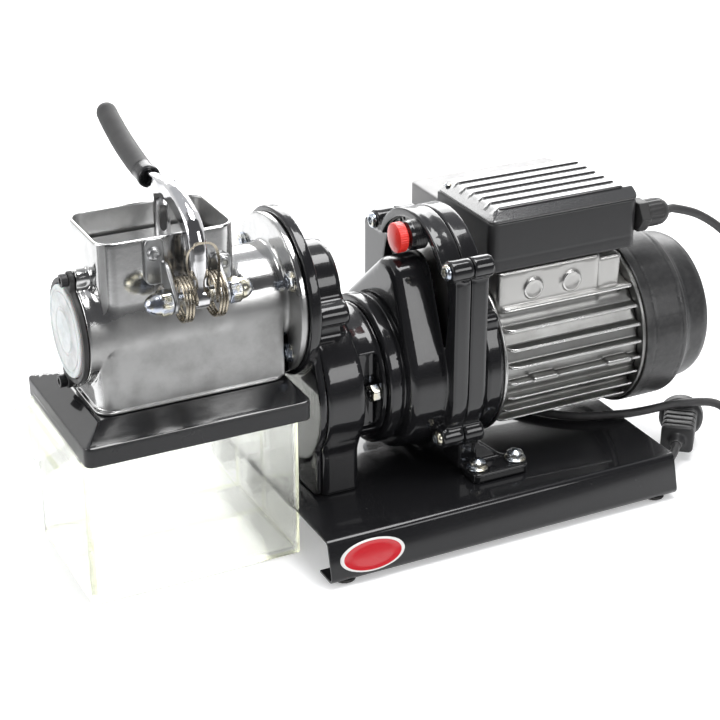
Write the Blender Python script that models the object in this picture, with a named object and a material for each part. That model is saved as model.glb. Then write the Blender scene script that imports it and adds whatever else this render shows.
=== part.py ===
# Electric grater: an induction motor and its gearbox on a folded steel base drive a grating
# roller through an adapter. Metres, +Z up, +X from the grater to the motor, -Y is the front.
import bpy
import bmesh
from math import acos, asin, atan2, ceil, cos, hypot, pi, sin, sqrt
from mathutils import Matrix, Vector

for old in list(bpy.data.objects):
    bpy.data.objects.remove(old, do_unlink=True)

# Driving dimensions, in metres; X runs from the base's left end, Z from the table
BASE_LENGTH = 0.305
BASE_TOP_WIDTH = 0.2176
PAD_HEIGHT = 0.003
GEAR_CENTRES = 0.068
IDLER_OFFSET_Y = -0.012
ROLLER_RISE = 0.078
MOTOR_BODY_RADIUS = 0.0605
MOTOR_FIN_DEPTH = 0.008
MOTOR_LENGTH = 0.126
FAN_COVER_LENGTH = 0.0744
BOX_LENGTH = 0.132
DRAWER_LENGTH = 0.161
DRAWER_WIDTH = 0.1173
DRAWER_HEIGHT = 0.113
AXIS_RISE = 0.077
BASE_HEIGHT = DRAWER_HEIGHT - AXIS_RISE
MOTOR_AXIS_Z = BASE_HEIGHT + AXIS_RISE
MOUTH_LENGTH = 0.1027
MOUTH_WIDTH = 0.0712
MOUTH_RISE = 0.0736
ROLLER_RADIUS = 0.031
CORD_RADIUS = 0.0035
SEAT_GAP = 0.0003
OVERRUN = 0.001
PICTURE_STEPS = 26
SMALL_STEPS = 14
SCREW_STEPS = 8
MOTOR_FIN_RADIUS = MOTOR_BODY_RADIUS + MOTOR_FIN_DEPTH

# Stations along the machine, from the base's left end
DRAWER_GAP = 0.002
CASTING_END = 0.0107
ADAPTER_DISC = 0.008
ADAPTER_PLATE = 0.006
HOUSING_DEPTH = 0.0317
NECK_LENGTH = 0.0205
COLLAR_LENGTH = 0.0142
BULGE_LENGTH = 0.030
COVER_FLANGE = 0.013
CASE_FLANGE = 0.0147
SHIELD_LENGTH = 0.021
FLAP_REACH = 0.0245

disc_x = CASTING_END + SEAT_GAP
plate_x = disc_x + ADAPTER_DISC
housing_x = plate_x + ADAPTER_PLATE + SEAT_GAP
neck_x = housing_x + HOUSING_DEPTH
collar_x = neck_x + NECK_LENGTH + SEAT_GAP
bulge_x = collar_x + COLLAR_LENGTH
flange_x = bulge_x + BULGE_LENGTH
parting_x = flange_x + COVER_FLANGE
case_x = parting_x + SEAT_GAP
shield_x = case_x + CASE_FLANGE
motor_x = shield_x + SHIELD_LENGTH + SEAT_GAP
rear_x = motor_x + MOTOR_LENGTH
drawer_x1 = -DRAWER_GAP
drawer_x0 = drawer_x1 - DRAWER_LENGTH
roller_z = MOTOR_AXIS_Z + ROLLER_RISE
mouth_z = roller_z + MOUTH_RISE
idler_z = MOTOR_AXIS_Z + sqrt(GEAR_CENTRES ** 2 - IDLER_OFFSET_Y ** 2)

# The object's middle stands over the origin
left_end = drawer_x0 - FLAP_REACH
right_end = rear_x + SEAT_GAP + FAN_COVER_LENGTH
machine = bpy.data.objects.new("machine", None)
machine.location = (-(left_end + right_end) / 2, 0, 0)
bpy.context.collection.objects.link(machine)


# Helpers: materials, objects and the basic solids
def material(name, colour, roughness, metallic=0.0, alpha=1.0):
    mat = bpy.data.materials.new(name)
    mat.use_nodes = True
    shader = mat.node_tree.nodes["Principled BSDF"]
    shader.inputs["Base Color"].default_value = (*colour, 1)
    shader.inputs["Roughness"].default_value = roughness
    shader.inputs["Metallic"].default_value = metallic
    shader.inputs["Alpha"].default_value = alpha
    return mat


def place(name, mesh, mat, at=(0, 0, 0), parent=machine):
    """One named object on the machine, with its origin at the given place."""
    mesh.materials.clear()
    mesh.materials.append(mat)
    obj = bpy.data.objects.new(name, mesh)
    obj.location = at
    obj.parent = parent
    bpy.context.collection.objects.link(obj)
    return obj


def finish(bm, name, sharp=0.6):
    """A bmesh as a mesh with outward normals and smooth round faces."""
    bmesh.ops.recalc_face_normals(bm, faces=bm.faces)
    mesh = bpy.data.meshes.new(name)
    bm.to_mesh(mesh)
    bm.free()
    mesh.shade_smooth()
    mesh.set_sharp_from_angle(angle=sharp)
    return mesh


def turned(profile, steps=PICTURE_STEPS, axis="X", centre=(0, 0, 0)):
    """A profile of (along, radius) points spun about an axis through centre."""
    bm = bmesh.new()
    closed = min(radius for _, radius in profile) > 0
    verts = [bm.verts.new((along, 0, radius)) for along, radius in profile]
    count = len(verts)
    for i in range(count if closed else count - 1):
        bm.edges.new((verts[i], verts[(i + 1) % count]))
    bmesh.ops.spin(bm, geom=bm.verts[:] + bm.edges[:], cent=(0, 0, 0), axis=(1, 0, 0),
                   angle=2 * pi, steps=steps, use_duplicate=False)
    bmesh.ops.remove_doubles(bm, verts=bm.verts, dist=OVERRUN / 1000)
    turn = {"X": Matrix.Identity(4), "Y": Matrix.Rotation(pi / 2, 4, "Z"),
            "Z": Matrix.Rotation(-pi / 2, 4, "Y")}[axis]
    bm.transform(Matrix.Translation(centre) @ turn)
    return bm


def rod(x0, x1, radius, y=0, z=0, steps=SMALL_STEPS):
    """A plain round bar along X."""
    return turned([(x0, 0), (x0, radius), (x1, radius), (x1, 0)], steps, centre=(0, y, z))


def tube(x0, x1, bore, radius, y=0, z=0, steps=SMALL_STEPS):
    """A plain ring along X."""
    return turned([(x0, bore), (x0, radius), (x1, radius), (x1, bore)], steps, centre=(0, y, z))


def prism(outline, low, high, axis="X"):
    """A closed outline pushed along an axis. Points are (y, z), (x, z) or (x, y)."""
    order = {"X": lambda a, b, c: (c, a, b), "Y": lambda a, b, c: (a, c, b),
             "Z": lambda a, b, c: (a, b, c)}[axis]
    bm = bmesh.new()
    face = bm.faces.new([bm.verts.new(order(a, b, low)) for a, b in outline])
    pushed = bmesh.ops.extrude_face_region(bm, geom=[face])["geom"]
    moved = [item for item in pushed if isinstance(item, bmesh.types.BMVert)]
    bmesh.ops.translate(bm, verts=moved, vec=order(0, 0, high - low))
    return bm


def block(x0, x1, y0, y1, z0, z1):
    return prism([(x0, y0), (x1, y0), (x1, y1), (x0, y1)], z0, z1, axis="Z")


def arc(cy, cz, radius, start, end, steps):
    """Points on an arc, in radians from +Y towards +Z."""
    turn = end - start
    return [(cy + radius * cos(start + turn * i / steps), cz + radius * sin(start + turn * i / steps))
            for i in range(steps + 1)]


def round_rectangle(half_a, half_b, radius, steps=3, centre=(0, 0)):
    corners = []
    for quarter, (sa, sb) in enumerate(((1, 1), (-1, 1), (-1, -1), (1, -1))):
        corners += arc(centre[0] + sa * (half_a - radius), centre[1] + sb * (half_b - radius),
                       radius, quarter * pi / 2, (quarter + 1) * pi / 2, steps)
    return corners


def belt(low, low_radius, high, high_radius, steps=8):
    """The outline of a belt round two circles, given their (y, z) centres."""
    dy, dz = high[0] - low[0], high[1] - low[1]
    along = atan2(dz, dy)
    lean = acos((low_radius - high_radius) / hypot(dy, dz))
    return (arc(*high, high_radius, along - lean, along + lean, steps)
            + arc(*low, low_radius, along + lean, along - lean + 2 * pi, 2 * steps))


def round_edges(bm, radius, chosen, segments=2):
    """Rounds the edges that the test picks."""
    edges = [edge for edge in bm.edges if chosen(edge)]
    bmesh.ops.bevel(bm, geom=edges, offset=radius, offset_type="OFFSET", segments=segments,
                    profile=0.5, affect="EDGES", clamp_overlap=True)
    return bm


def rim_at(x, tolerance=OVERRUN / 10):
    """Picks the edges that lie in the plane of one station."""
    return lambda edge: all(abs(v.co.x - x) < tolerance for v in edge.verts)


def merge(bm, other):
    """Adds a second bmesh as a separate shell of the same cutter."""
    spare = bpy.data.meshes.new("spare")
    other.to_mesh(spare)
    other.free()
    bm.from_mesh(spare)
    bpy.data.meshes.remove(spare)
    return bm


# Pieces whose many curved joins the exact solver leaves open
CROWDED = ("adapter_housing", "cooling_fan", "gearbox_case", "gearbox_cover", "grater_casting", "motor_frame")


def boolean(obj, operation, bm):
    """Joins a solid to an object, or cuts it away, and keeps the tool as a wire guide."""
    tool = place(obj.name + "_tool", finish(bm, obj.name + "_tool"), obj.data.materials[0],
                 at=obj.location, parent=obj.parent)
    tool.data.transform(Matrix.Translation(-Vector(obj.location)))
    tool.hide_render = True
    tool.display_type = "WIRE"
    step = obj.modifiers.new(operation.lower(), "BOOLEAN")
    step.operation = operation
    step.object = tool
    step.solver = "MANIFOLD" if obj.name in CROWDED else "EXACT"
    return obj


def join(obj, *solids):
    for bm in solids:
        boolean(obj, "UNION", bm)


def cut(obj, *solids):
    for bm in solids:
        boolean(obj, "DIFFERENCE", bm)


def solid(name, bm, mat, at=(0, 0, 0), parent=machine):
    """An object whose bmesh is written in machine coordinates, with its origin at a place."""
    bm.transform(Matrix.Translation(-Vector(at)))
    return place(name, finish(bm, name), mat, at, parent)


black_paint = material("black_paint", (0.012, 0.012, 0.013), 0.22)
black_plastic = material("black_plastic", (0.03, 0.03, 0.032), 0.5)
rubber = material("rubber", (0.02, 0.02, 0.02), 0.8)
polished = material("polished_aluminium", (0.85, 0.85, 0.86), 0.12, 1.0)
cast_aluminium = material("cast_aluminium", (0.72, 0.72, 0.71), 0.38, 1.0)
zinc = material("zinc_plate", (0.72, 0.75, 0.78), 0.25, 1.0)
steel = material("steel", (0.5, 0.5, 0.5), 0.35, 1.0)
spring_steel = material("spring_steel", (0.75, 0.66, 0.5), 0.3, 1.0)
clear_acrylic = material("clear_acrylic", (0.93, 0.95, 0.85), 0.05, 0.0, 0.35)
frosted = material("frosted_plastic", (0.82, 0.83, 0.82), 0.4)
red_plastic = material("red_plastic", (0.8, 0.03, 0.02), 0.3)
copper_steel = material("laminations", (0.35, 0.33, 0.3), 0.5, 0.8)


# Base: a folded steel channel, open at both ends, with its walls leaning out
WALL_LEAN = 0.0088
LIP_WIDTH = 0.022
SHEET = 0.002
FOLD_RADIUS = 0.004
lip_z = PAD_HEIGHT + SEAT_GAP + SHEET / 2
top_z = BASE_HEIGHT - SHEET / 2
top_half = BASE_TOP_WIDTH / 2
foot_half = top_half + WALL_LEAN


def folded_path(corners, radius, steps=3):
    """A run of (y, z) corners with each inner corner rounded."""
    path = [Vector(corners[0])]
    for before, corner, after in zip(corners, corners[1:], corners[2:]):
        before, corner, after = Vector(before), Vector(corner), Vector(after)
        into, out = (before - corner).normalized(), (after - corner).normalized()
        half = acos(max(-1, min(1, into.dot(out)))) / 2
        reach = radius / (sin(half) / cos(half))
        start, end = corner + into * reach, corner + out * reach
        for i in range(steps + 1):
            share = i / steps
            a, b = start.lerp(corner, share), corner.lerp(end, share)
            path.append(a.lerp(b, share))
    path.append(Vector(corners[-1]))
    return path


def sheet_outline(path, thickness):
    """The two faces of a bent sheet, as one closed outline."""
    sides = ([], [])
    for i, point in enumerate(path):
        run = (path[min(i + 1, len(path) - 1)] - path[max(i - 1, 0)]).normalized()
        normal = Vector((-run.y, run.x)) * thickness / 2
        sides[0].append(tuple(point + normal))
        sides[1].append(tuple(point - normal))
    return sides[0] + sides[1][::-1]


base_corners = [(LIP_WIDTH - foot_half, lip_z), (-foot_half, lip_z), (-top_half, top_z),
                (top_half, top_z), (foot_half, lip_z), (foot_half - LIP_WIDTH, lip_z)]
base_outline = sheet_outline(folded_path(base_corners, FOLD_RADIUS), SHEET)
solid("base_channel", prism(base_outline, 0, BASE_LENGTH), black_paint)

# Rubber pads under the lips
PAD_RADIUS = 0.0085
PAD_INSET = 0.015
PAD_DOME_SHARE = 0.3
pad_y = foot_half - LIP_WIDTH / 2
pad_profile = [(0, 0), (0, PAD_RADIUS * (1 - PAD_DOME_SHARE / 2)),
               (PAD_HEIGHT * PAD_DOME_SHARE, PAD_RADIUS), (PAD_HEIGHT, PAD_RADIUS), (PAD_HEIGHT, 0)]
for i in range(4):
    x = PAD_INSET if i % 2 == 0 else BASE_LENGTH - PAD_INSET
    y = -pad_y if i < 2 else pad_y
    pad = turned(pad_profile, SMALL_STEPS, axis="Z", centre=(x, y, 0))
    solid(f"foot_pad_{i + 1}", pad, rubber, at=(x, y, 0))

# Gears: trapezoid teeth on a pitch circle, with backlash
GEAR_MODULE = 0.002
PINION_TEETH = 16
WHEEL_TEETH = 52
ADAPTER_MODULE = 0.003
ADAPTER_WHEEL_TEETH = 35
ADAPTER_PINION_TEETH = 17
TIP_SHARE = 0.62
ROOT_SHARE = 1.25
TIP_LAND_SHARE = 0.12


def gear_outline(teeth, module, first_tooth):
    """Tooth corners round a gear; the first tooth's middle lies at the given angle."""
    pitch = teeth * module / 2
    root, tip = pitch - ROOT_SHARE * module, pitch + TIP_SHARE * module
    step = 2 * pi / teeth
    points = []
    for i in range(teeth):
        middle = first_tooth + i * step
        for radius, share in ((root, -1 / 2), (tip, -TIP_LAND_SHARE / 2), (tip, TIP_LAND_SHARE / 2)):
            angle = middle + step * share
            points.append((radius * cos(angle), radius * sin(angle)))
    return points


def gear(teeth, module, x0, x1, y, z, first_tooth=0.0):
    outline = [(y + a, z + b) for a, b in gear_outline(teeth, module, first_tooth)]
    return prism(outline, x0, x1)


# Each wheel shows a tooth, and its pinion a gap, on the line between their centres
idler_line = atan2(idler_z - MOTOR_AXIS_Z, IDLER_OFFSET_Y)
pinion_step = 2 * pi / PINION_TEETH

# Shafts and gears inside the gearbox
SHAFT_RADIUS = 0.009
IDLER_RADIUS = 0.006
GEAR_WIDTH = 0.009
GEAR_SLACK = 0.002
WHEEL_INSET = 0.007
HOUSING_WALL = 0.005
BEARING_RADIUS = 0.017
SHAFT_END_GAP = 0.002
BORE_GAP = 0.0005
output_x = bulge_x + HOUSING_WALL + GEAR_SLACK
output_x1 = output_x + GEAR_WIDTH
wheel_x = parting_x - WHEEL_INSET
wheel_x1 = wheel_x + GEAR_WIDTH
tip_radius = (WHEEL_TEETH / 2 + TIP_SHARE) * GEAR_MODULE
pinion_tip = (PINION_TEETH / 2 + TIP_SHARE) * GEAR_MODULE

output_gear = solid("output_gear",
                    gear(WHEEL_TEETH, GEAR_MODULE, output_x, output_x1, 0, MOTOR_AXIS_Z, idler_line),
                    steel, at=(0, 0, MOTOR_AXIS_Z))
cut(output_gear, rod(output_x - OVERRUN, output_x1 + OVERRUN, SHAFT_RADIUS + SEAT_GAP, 0, MOTOR_AXIS_Z))

idler = solid("idler_gear",
              gear(WHEEL_TEETH, GEAR_MODULE, wheel_x, wheel_x1, IDLER_OFFSET_Y, idler_z,
                   idler_line + pi),
              steel, at=(0, IDLER_OFFSET_Y, idler_z))
join(idler,
     gear(PINION_TEETH, GEAR_MODULE, output_x, wheel_x + OVERRUN, IDLER_OFFSET_Y, idler_z,
          idler_line + pi + pinion_step / 2),
     rod(bulge_x + HOUSING_WALL / 2, case_x + CASE_FLANGE - HOUSING_WALL, IDLER_RADIUS, IDLER_OFFSET_Y,
          idler_z))

# Gearbox: a front cover and a rear case, screwed together through four lugs
GEARBOX_HALF_WIDTH = 0.0755
GEARBOX_BOTTOM_RADIUS = 0.072
DOME_RADIUS = 0.0595
DOME_OFFSET_Z = 0.0005
SHOULDER_RISE = 0.093
LUG_RADIUS = 0.0085
LUG_REACH = 0.005
SCREW_RADIUS = 0.0032
SCREW_HEAD_RADIUS = 0.0062
SCREW_HEAD = 0.0034
BULGE_RADIUS = 0.066
BULGE_TOP_RADIUS = 0.020
BULGE_TOP_Y = -0.018
BULGE_TOP_RISE = 0.075
BULGE_ROUNDING = 0.006
COLLAR_RADIUS = 0.059
COLLAR_GROOVE = 0.003
RIM_WIDTH = 0.007
RIM_DEPTH = 0.005
dome_z = idler_z + DOME_OFFSET_Z
shoulder_z = MOTOR_AXIS_Z + SHOULDER_RISE
bulge_top_z = MOTOR_AXIS_Z + BULGE_TOP_RISE


def gearbox_outline():
    """The flange seen along the machine: a dome over a round-bottomed body."""
    bottom = [(GEARBOX_HALF_WIDTH * cos(pi + pi * i / 16),
               MOTOR_AXIS_Z + GEARBOX_BOTTOM_RADIUS * sin(pi + pi * i / 16)) for i in range(17)]
    right = [(GEARBOX_HALF_WIDTH, shoulder_z - LUG_RADIUS / 2),
             (GEARBOX_HALF_WIDTH - LUG_RADIUS / 4, shoulder_z)]
    start = asin((shoulder_z - dome_z) / DOME_RADIUS)
    dome = arc(IDLER_OFFSET_Y, dome_z, DOME_RADIUS, start, pi - start, 10)
    left = [(-GEARBOX_HALF_WIDTH + LUG_RADIUS / 4, shoulder_z),
            (-GEARBOX_HALF_WIDTH, shoulder_z - LUG_RADIUS / 2)]
    return bottom + right + dome + left


LUG_HIGH_RISE = 0.0065
LUG_LOW_Y = 0.0635
LUG_LOW_DROP = 0.0405
lug_places = [(IDLER_OFFSET_Y - DOME_RADIUS, shoulder_z + LUG_HIGH_RISE),
              (IDLER_OFFSET_Y + DOME_RADIUS, shoulder_z + LUG_HIGH_RISE),
              (-LUG_LOW_Y, MOTOR_AXIS_Z - LUG_LOW_DROP), (LUG_LOW_Y, MOTOR_AXIS_Z - LUG_LOW_DROP)]
lug_x0 = flange_x - LUG_REACH
lug_x1 = case_x + CASE_FLANGE + LUG_REACH / 2
flange_outline = gearbox_outline()
cover = solid("gearbox_cover", prism(flange_outline, flange_x, parting_x), black_paint)
bulge = prism(belt((0, MOTOR_AXIS_Z), BULGE_RADIUS, (BULGE_TOP_Y, bulge_top_z), BULGE_TOP_RADIUS),
              bulge_x, flange_x + OVERRUN)
join(cover, round_edges(bulge, BULGE_ROUNDING, rim_at(bulge_x), 1))
collar_profile = [(collar_x, SHAFT_RADIUS + BORE_GAP), (collar_x, COLLAR_RADIUS - SHEET),
                  (collar_x + SHEET, COLLAR_RADIUS),
                  (bulge_x - COLLAR_GROOVE, COLLAR_RADIUS),
                  (bulge_x - COLLAR_GROOVE, COLLAR_RADIUS - COLLAR_GROOVE),
                  (bulge_x + OVERRUN, COLLAR_RADIUS - COLLAR_GROOVE),
                  (bulge_x + OVERRUN, SHAFT_RADIUS + BORE_GAP)]
join(cover, turned(collar_profile, centre=(0, 0, MOTOR_AXIS_Z)))
rim_start = asin((shoulder_z - dome_z) / DOME_RADIUS)
rim_outline = (arc(IDLER_OFFSET_Y, dome_z, DOME_RADIUS, rim_start, pi - rim_start, 10)
               + arc(IDLER_OFFSET_Y, dome_z, DOME_RADIUS - RIM_WIDTH, pi - rim_start, rim_start, 10))
join(cover, prism(rim_outline, flange_x - RIM_DEPTH, flange_x + OVERRUN))
for y, z in lug_places:
    join(cover, rod(lug_x0, parting_x, LUG_RADIUS, y, z, SCREW_STEPS))
gear_room = tip_radius + GEAR_SLACK
pinion_room = pinion_tip + GEAR_SLACK
axis_place = (0, MOTOR_AXIS_Z)
idler_place = (IDLER_OFFSET_Y, idler_z)
cut(cover,
    prism(belt(axis_place, gear_room, idler_place, pinion_room), output_x - GEAR_SLACK, wheel_x),
    prism(belt(axis_place, gear_room, idler_place, gear_room), wheel_x - GEAR_SLACK,
          parting_x + OVERRUN),
    rod(bulge_x + HOUSING_WALL / 2 - SHAFT_END_GAP, output_x, IDLER_RADIUS + BORE_GAP, *idler_place),
    rod(bulge_x - OVERRUN, output_x, SHAFT_RADIUS + BORE_GAP, *axis_place))

# The rear case: gear recess, end shield for the motor, feet, and holes for the screws
SHIELD_RADIUS = MOTOR_FIN_RADIUS - BORE_GAP
SHIELD_RIM = 0.004
FOOT_INNER_Y = 0.061
FOOT_OUTER_Y = 0.084
FOOT_THICKNESS = 0.008
FOOT_INSET = 0.0027
FOOT_LENGTH = 0.0485
FOOT_WEB_RISE = 0.040
WEB_ROOT_Y = 0.035
FRAME_WALL_DEPTH = 0.0045
FRAME_BORE = MOTOR_BODY_RADIUS - FRAME_WALL_DEPTH
SHIELD_BORE = FRAME_BORE - SHEET
WHEEL_RECESS = 0.0042
foot_x0 = case_x + FOOT_INSET
foot_x1 = foot_x0 + FOOT_LENGTH
case_x1 = case_x + CASE_FLANGE
foot_z = BASE_HEIGHT + SEAT_GAP
case = solid("gearbox_case", prism(flange_outline, case_x, case_x1), black_paint)
shield_profile = [(case_x1 - OVERRUN, 0), (case_x1 - OVERRUN, SHIELD_RADIUS - SHIELD_RIM),
                  (case_x1 + SHIELD_RIM, SHIELD_RADIUS - SHIELD_RIM),
                  (case_x1 + 2 * SHIELD_RIM, SHIELD_RADIUS),
                  (motor_x - SEAT_GAP, SHIELD_RADIUS), (motor_x - SEAT_GAP, SHIELD_BORE),
                  (case_x1 + HOUSING_WALL, SHIELD_BORE), (case_x1 + HOUSING_WALL, 0)]
join(case, turned(shield_profile, centre=(0, 0, MOTOR_AXIS_Z)))
for y, z in lug_places:
    join(case, rod(case_x + SEAT_GAP, lug_x1, LUG_RADIUS, y, z, SCREW_STEPS))
for side in (-1, 1):
    web_foot = foot_z + FOOT_THICKNESS / 2
    web_outer = FOOT_INNER_Y + SHEET
    web = [(side * WEB_ROOT_Y, MOTOR_AXIS_Z - FOOT_WEB_RISE),
           (side * WEB_ROOT_Y, web_foot + FOOT_THICKNESS / 2),
           (side * (WEB_ROOT_Y + FOOT_THICKNESS), web_foot), (side * web_outer, web_foot),
           (side * web_outer, MOTOR_AXIS_Z - FOOT_WEB_RISE + FOOT_THICKNESS / 2)]
    join(case, prism(web, case_x, case_x1 - OVERRUN))
    foot_middle = ((foot_x0 + foot_x1) / 2, side * (FOOT_INNER_Y + FOOT_OUTER_Y) / 2)
    foot = round_rectangle((foot_x1 - foot_x0) / 2, (FOOT_OUTER_Y - FOOT_INNER_Y) / 2,
                           FOOT_THICKNESS / 2, centre=foot_middle)
    join(case, prism(foot, foot_z, foot_z + FOOT_THICKNESS, axis="Z"))
cut(case,
    prism(belt(axis_place, gear_room, idler_place, gear_room), case_x - OVERRUN, case_x + WHEEL_RECESS),
    rod(case_x - OVERRUN, case_x1 + HOUSING_WALL + OVERRUN, SHAFT_RADIUS + BORE_GAP, *axis_place),
    rod(case_x - OVERRUN, case_x1 - HOUSING_WALL / 2, IDLER_RADIUS + BORE_GAP, *idler_place))

# Screws through the lugs
screw_holes = [rod(lug_x0 - OVERRUN, lug_x1 - LUG_REACH / 2, SCREW_RADIUS + SEAT_GAP, y, z, SCREW_STEPS)
               for y, z in lug_places]
holes = screw_holes[0]
for extra in screw_holes[1:]:
    merge(holes, extra)
cut(cover, holes.copy())
cut(case, holes)
for i, (y, z) in enumerate(lug_places):
    head_x = lug_x0 - SEAT_GAP
    profile = [(head_x - SCREW_HEAD, 0), (head_x - SCREW_HEAD, SCREW_HEAD_RADIUS / 2),
               (head_x - SCREW_HEAD * 2 / 3, SCREW_HEAD_RADIUS), (head_x, SCREW_HEAD_RADIUS),
               (head_x, SCREW_RADIUS), (lug_x1 - LUG_REACH / 2 - SEAT_GAP, SCREW_RADIUS),
               (lug_x1 - LUG_REACH / 2 - SEAT_GAP, 0)]
    solid(f"gearbox_screw_{i + 1}", turned(profile, SCREW_STEPS, centre=(0, y, z)), zinc, at=(head_x, y, z))

# Flanged bolts hold the feet to the base, with a nut below the sheet
BOLT_RADIUS = 0.004
BOLT_FLANGE_RADIUS = 0.0085
BOLT_FLANGE = 0.0015
BOLT_HEX_RADIUS = 0.0068
BOLT_HEAD = 0.006
BOLT_INSET_X = 0.0065
foot_y = (FOOT_INNER_Y + FOOT_OUTER_Y) / 2
bolt_places = [(x, side * foot_y) for side in (-1, 1)
               for x in (foot_x0 + BOLT_INSET_X + BOLT_FLANGE, foot_x1 - BOLT_INSET_X)]


def hexagon(radius, a=0, b=0, lean=0.0):
    return [(a + radius * cos(lean + i * pi / 3), b + radius * sin(lean + i * pi / 3)) for i in range(6)]


bolt_holes = bmesh.new()
for x, y in bolt_places:
    merge(bolt_holes, turned([(BASE_HEIGHT / 2, 0), (BASE_HEIGHT / 2, BOLT_RADIUS + SEAT_GAP),
                              (foot_z + 2 * FOOT_THICKNESS, BOLT_RADIUS + SEAT_GAP),
                              (foot_z + 2 * FOOT_THICKNESS, 0)], SCREW_STEPS, axis="Z", centre=(x, y, 0)))
cut(case, bolt_holes.copy())
cut(bpy.data.objects["base_channel"], bolt_holes)
flange_z = foot_z + FOOT_THICKNESS + SEAT_GAP
nut_top = BASE_HEIGHT - SHEET - SEAT_GAP
for i, (x, y) in enumerate(bolt_places):
    profile = [(nut_top - BOLT_HEAD - BOLT_FLANGE, 0), (nut_top - BOLT_HEAD - BOLT_FLANGE, BOLT_RADIUS),
               (flange_z, BOLT_RADIUS), (flange_z, BOLT_FLANGE_RADIUS),
               (flange_z + BOLT_FLANGE, BOLT_FLANGE_RADIUS), (flange_z + 2 * BOLT_FLANGE, BOLT_RADIUS),
               (flange_z + 2 * BOLT_FLANGE, 0)]
    bolt = solid(f"foot_bolt_{i + 1}", turned(profile, SCREW_STEPS, axis="Z", centre=(x, y, 0)), zinc,
                 at=(x, y, flange_z))
    join(bolt,
         prism(hexagon(BOLT_HEX_RADIUS, x, y), flange_z + BOLT_FLANGE, flange_z + BOLT_HEAD, axis="Z"),
         prism(hexagon(BOLT_HEX_RADIUS, x, y), nut_top - BOLT_HEAD, nut_top, axis="Z"))

# Output shaft: from the gearbox wheel through the neck to the adapter wheel
ADAPTER_GEAR_INSET = 0.0027
ADAPTER_GEAR_WIDTH = 0.010
adapter_gear_x = housing_x + ADAPTER_GEAR_INSET
output_shaft_x0 = plate_x + ADAPTER_PLATE + 2 * SHAFT_END_GAP - SEAT_GAP
shaft_profile = [(output_shaft_x0, 0), (output_shaft_x0, SHAFT_RADIUS),
                 (collar_x + HOUSING_WALL, SHAFT_RADIUS),
                 (output_x1 + SHAFT_END_GAP, SHAFT_RADIUS), (output_x1 + SHAFT_END_GAP, 0)]
solid("output_shaft", turned(shaft_profile, SMALL_STEPS, centre=(0, 0, MOTOR_AXIS_Z)), steel,
      at=(0, 0, MOTOR_AXIS_Z))
roller_place = (0, roller_z)
adapter_line = pi / 2
adapter_wheel = solid("adapter_gear",
                      gear(ADAPTER_WHEEL_TEETH, ADAPTER_MODULE, adapter_gear_x,
                           adapter_gear_x + ADAPTER_GEAR_WIDTH, 0, MOTOR_AXIS_Z, adapter_line),
                      steel, at=(0, 0, MOTOR_AXIS_Z))
cut(adapter_wheel, rod(adapter_gear_x - OVERRUN, adapter_gear_x + ADAPTER_GEAR_WIDTH + OVERRUN,
                       SHAFT_RADIUS + SEAT_GAP, *axis_place))

# Adapter housing: a deep casting that stands on the base and carries the grater
HOUSING_RADIUS = 0.060
HOUSING_TOP_RADIUS = 0.034
LOBE_RADIUS = 0.0095
LOBE_Y = 0.038
LOBE_RISE = 0.068
FOOT_HALF_WIDTH = 0.048
FOOT_TOP_DROP = 0.033
FOOT_CHAMFER = 0.010
REAR_STEP = 0.007
NECK_RADIUS = 0.052
NECK_WINDOW_GAP = 0.0015
WINDOW_LENGTH = 0.0155
WINDOW_HALF_HEIGHT = 0.031
WINDOW_INNER_Y = 0.036
lobe_z = MOTOR_AXIS_Z + LOBE_RISE
foot_top_z = MOTOR_AXIS_Z - FOOT_TOP_DROP
housing_foot_z = BASE_HEIGHT + SEAT_GAP
housing_rear = neck_x
gear_cover_room = (ADAPTER_WHEEL_TEETH / 2 + TIP_SHARE) * ADAPTER_MODULE + GEAR_SLACK
small_room = (ADAPTER_PINION_TEETH / 2 + TIP_SHARE) * ADAPTER_MODULE + GEAR_SLACK
housing = solid("adapter_housing", rod(housing_x, housing_rear, HOUSING_RADIUS, *axis_place,
                                       steps=PICTURE_STEPS), black_paint)
upper = prism(belt(axis_place, HOUSING_RADIUS * 3 / 5, roller_place, HOUSING_TOP_RADIUS),
              housing_x, housing_rear - REAR_STEP)
join(housing, round_edges(upper, REAR_STEP / 2, rim_at(housing_rear - REAR_STEP), 1))
for side in (-1, 1):
    join(housing, prism(belt(roller_place, LOBE_RADIUS, (side * LOBE_Y, lobe_z), LOBE_RADIUS, 6),
                        housing_x, housing_rear - REAR_STEP))
plinth = prism([(housing_x, housing_foot_z), (housing_rear, housing_foot_z),
                (housing_rear, foot_top_z), (housing_x, foot_top_z)],
               -FOOT_HALF_WIDTH, FOOT_HALF_WIDTH, axis="Y")
join(housing, round_edges(plinth, FOOT_CHAMFER / 2, lambda e: all(
    abs(abs(v.co.y) - FOOT_HALF_WIDTH) < OVERRUN for v in e.verts)
    and abs(e.verts[0].co.z - e.verts[1].co.z) > OVERRUN, 1))
neck_profile = [(housing_rear - OVERRUN, SHAFT_RADIUS + BORE_GAP), (housing_rear - OVERRUN, NECK_RADIUS),
                (collar_x - SEAT_GAP - SHEET, NECK_RADIUS), (collar_x - SEAT_GAP, NECK_RADIUS + SHEET),
                (collar_x - SEAT_GAP, SHAFT_RADIUS + BORE_GAP)]
join(housing, turned(neck_profile, centre=(0, 0, MOTOR_AXIS_Z)))
cut(housing,
    rod(housing_x - OVERRUN, adapter_gear_x + ADAPTER_GEAR_WIDTH + GEAR_SLACK, gear_cover_room,
        *axis_place, steps=PICTURE_STEPS),
    rod(housing_x - OVERRUN, adapter_gear_x + ADAPTER_GEAR_WIDTH + GEAR_SLACK, small_room,
        *roller_place, steps=PICTURE_STEPS),
    rod(housing_x, housing_rear + OVERRUN, SHAFT_RADIUS + BORE_GAP, *axis_place))
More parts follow.
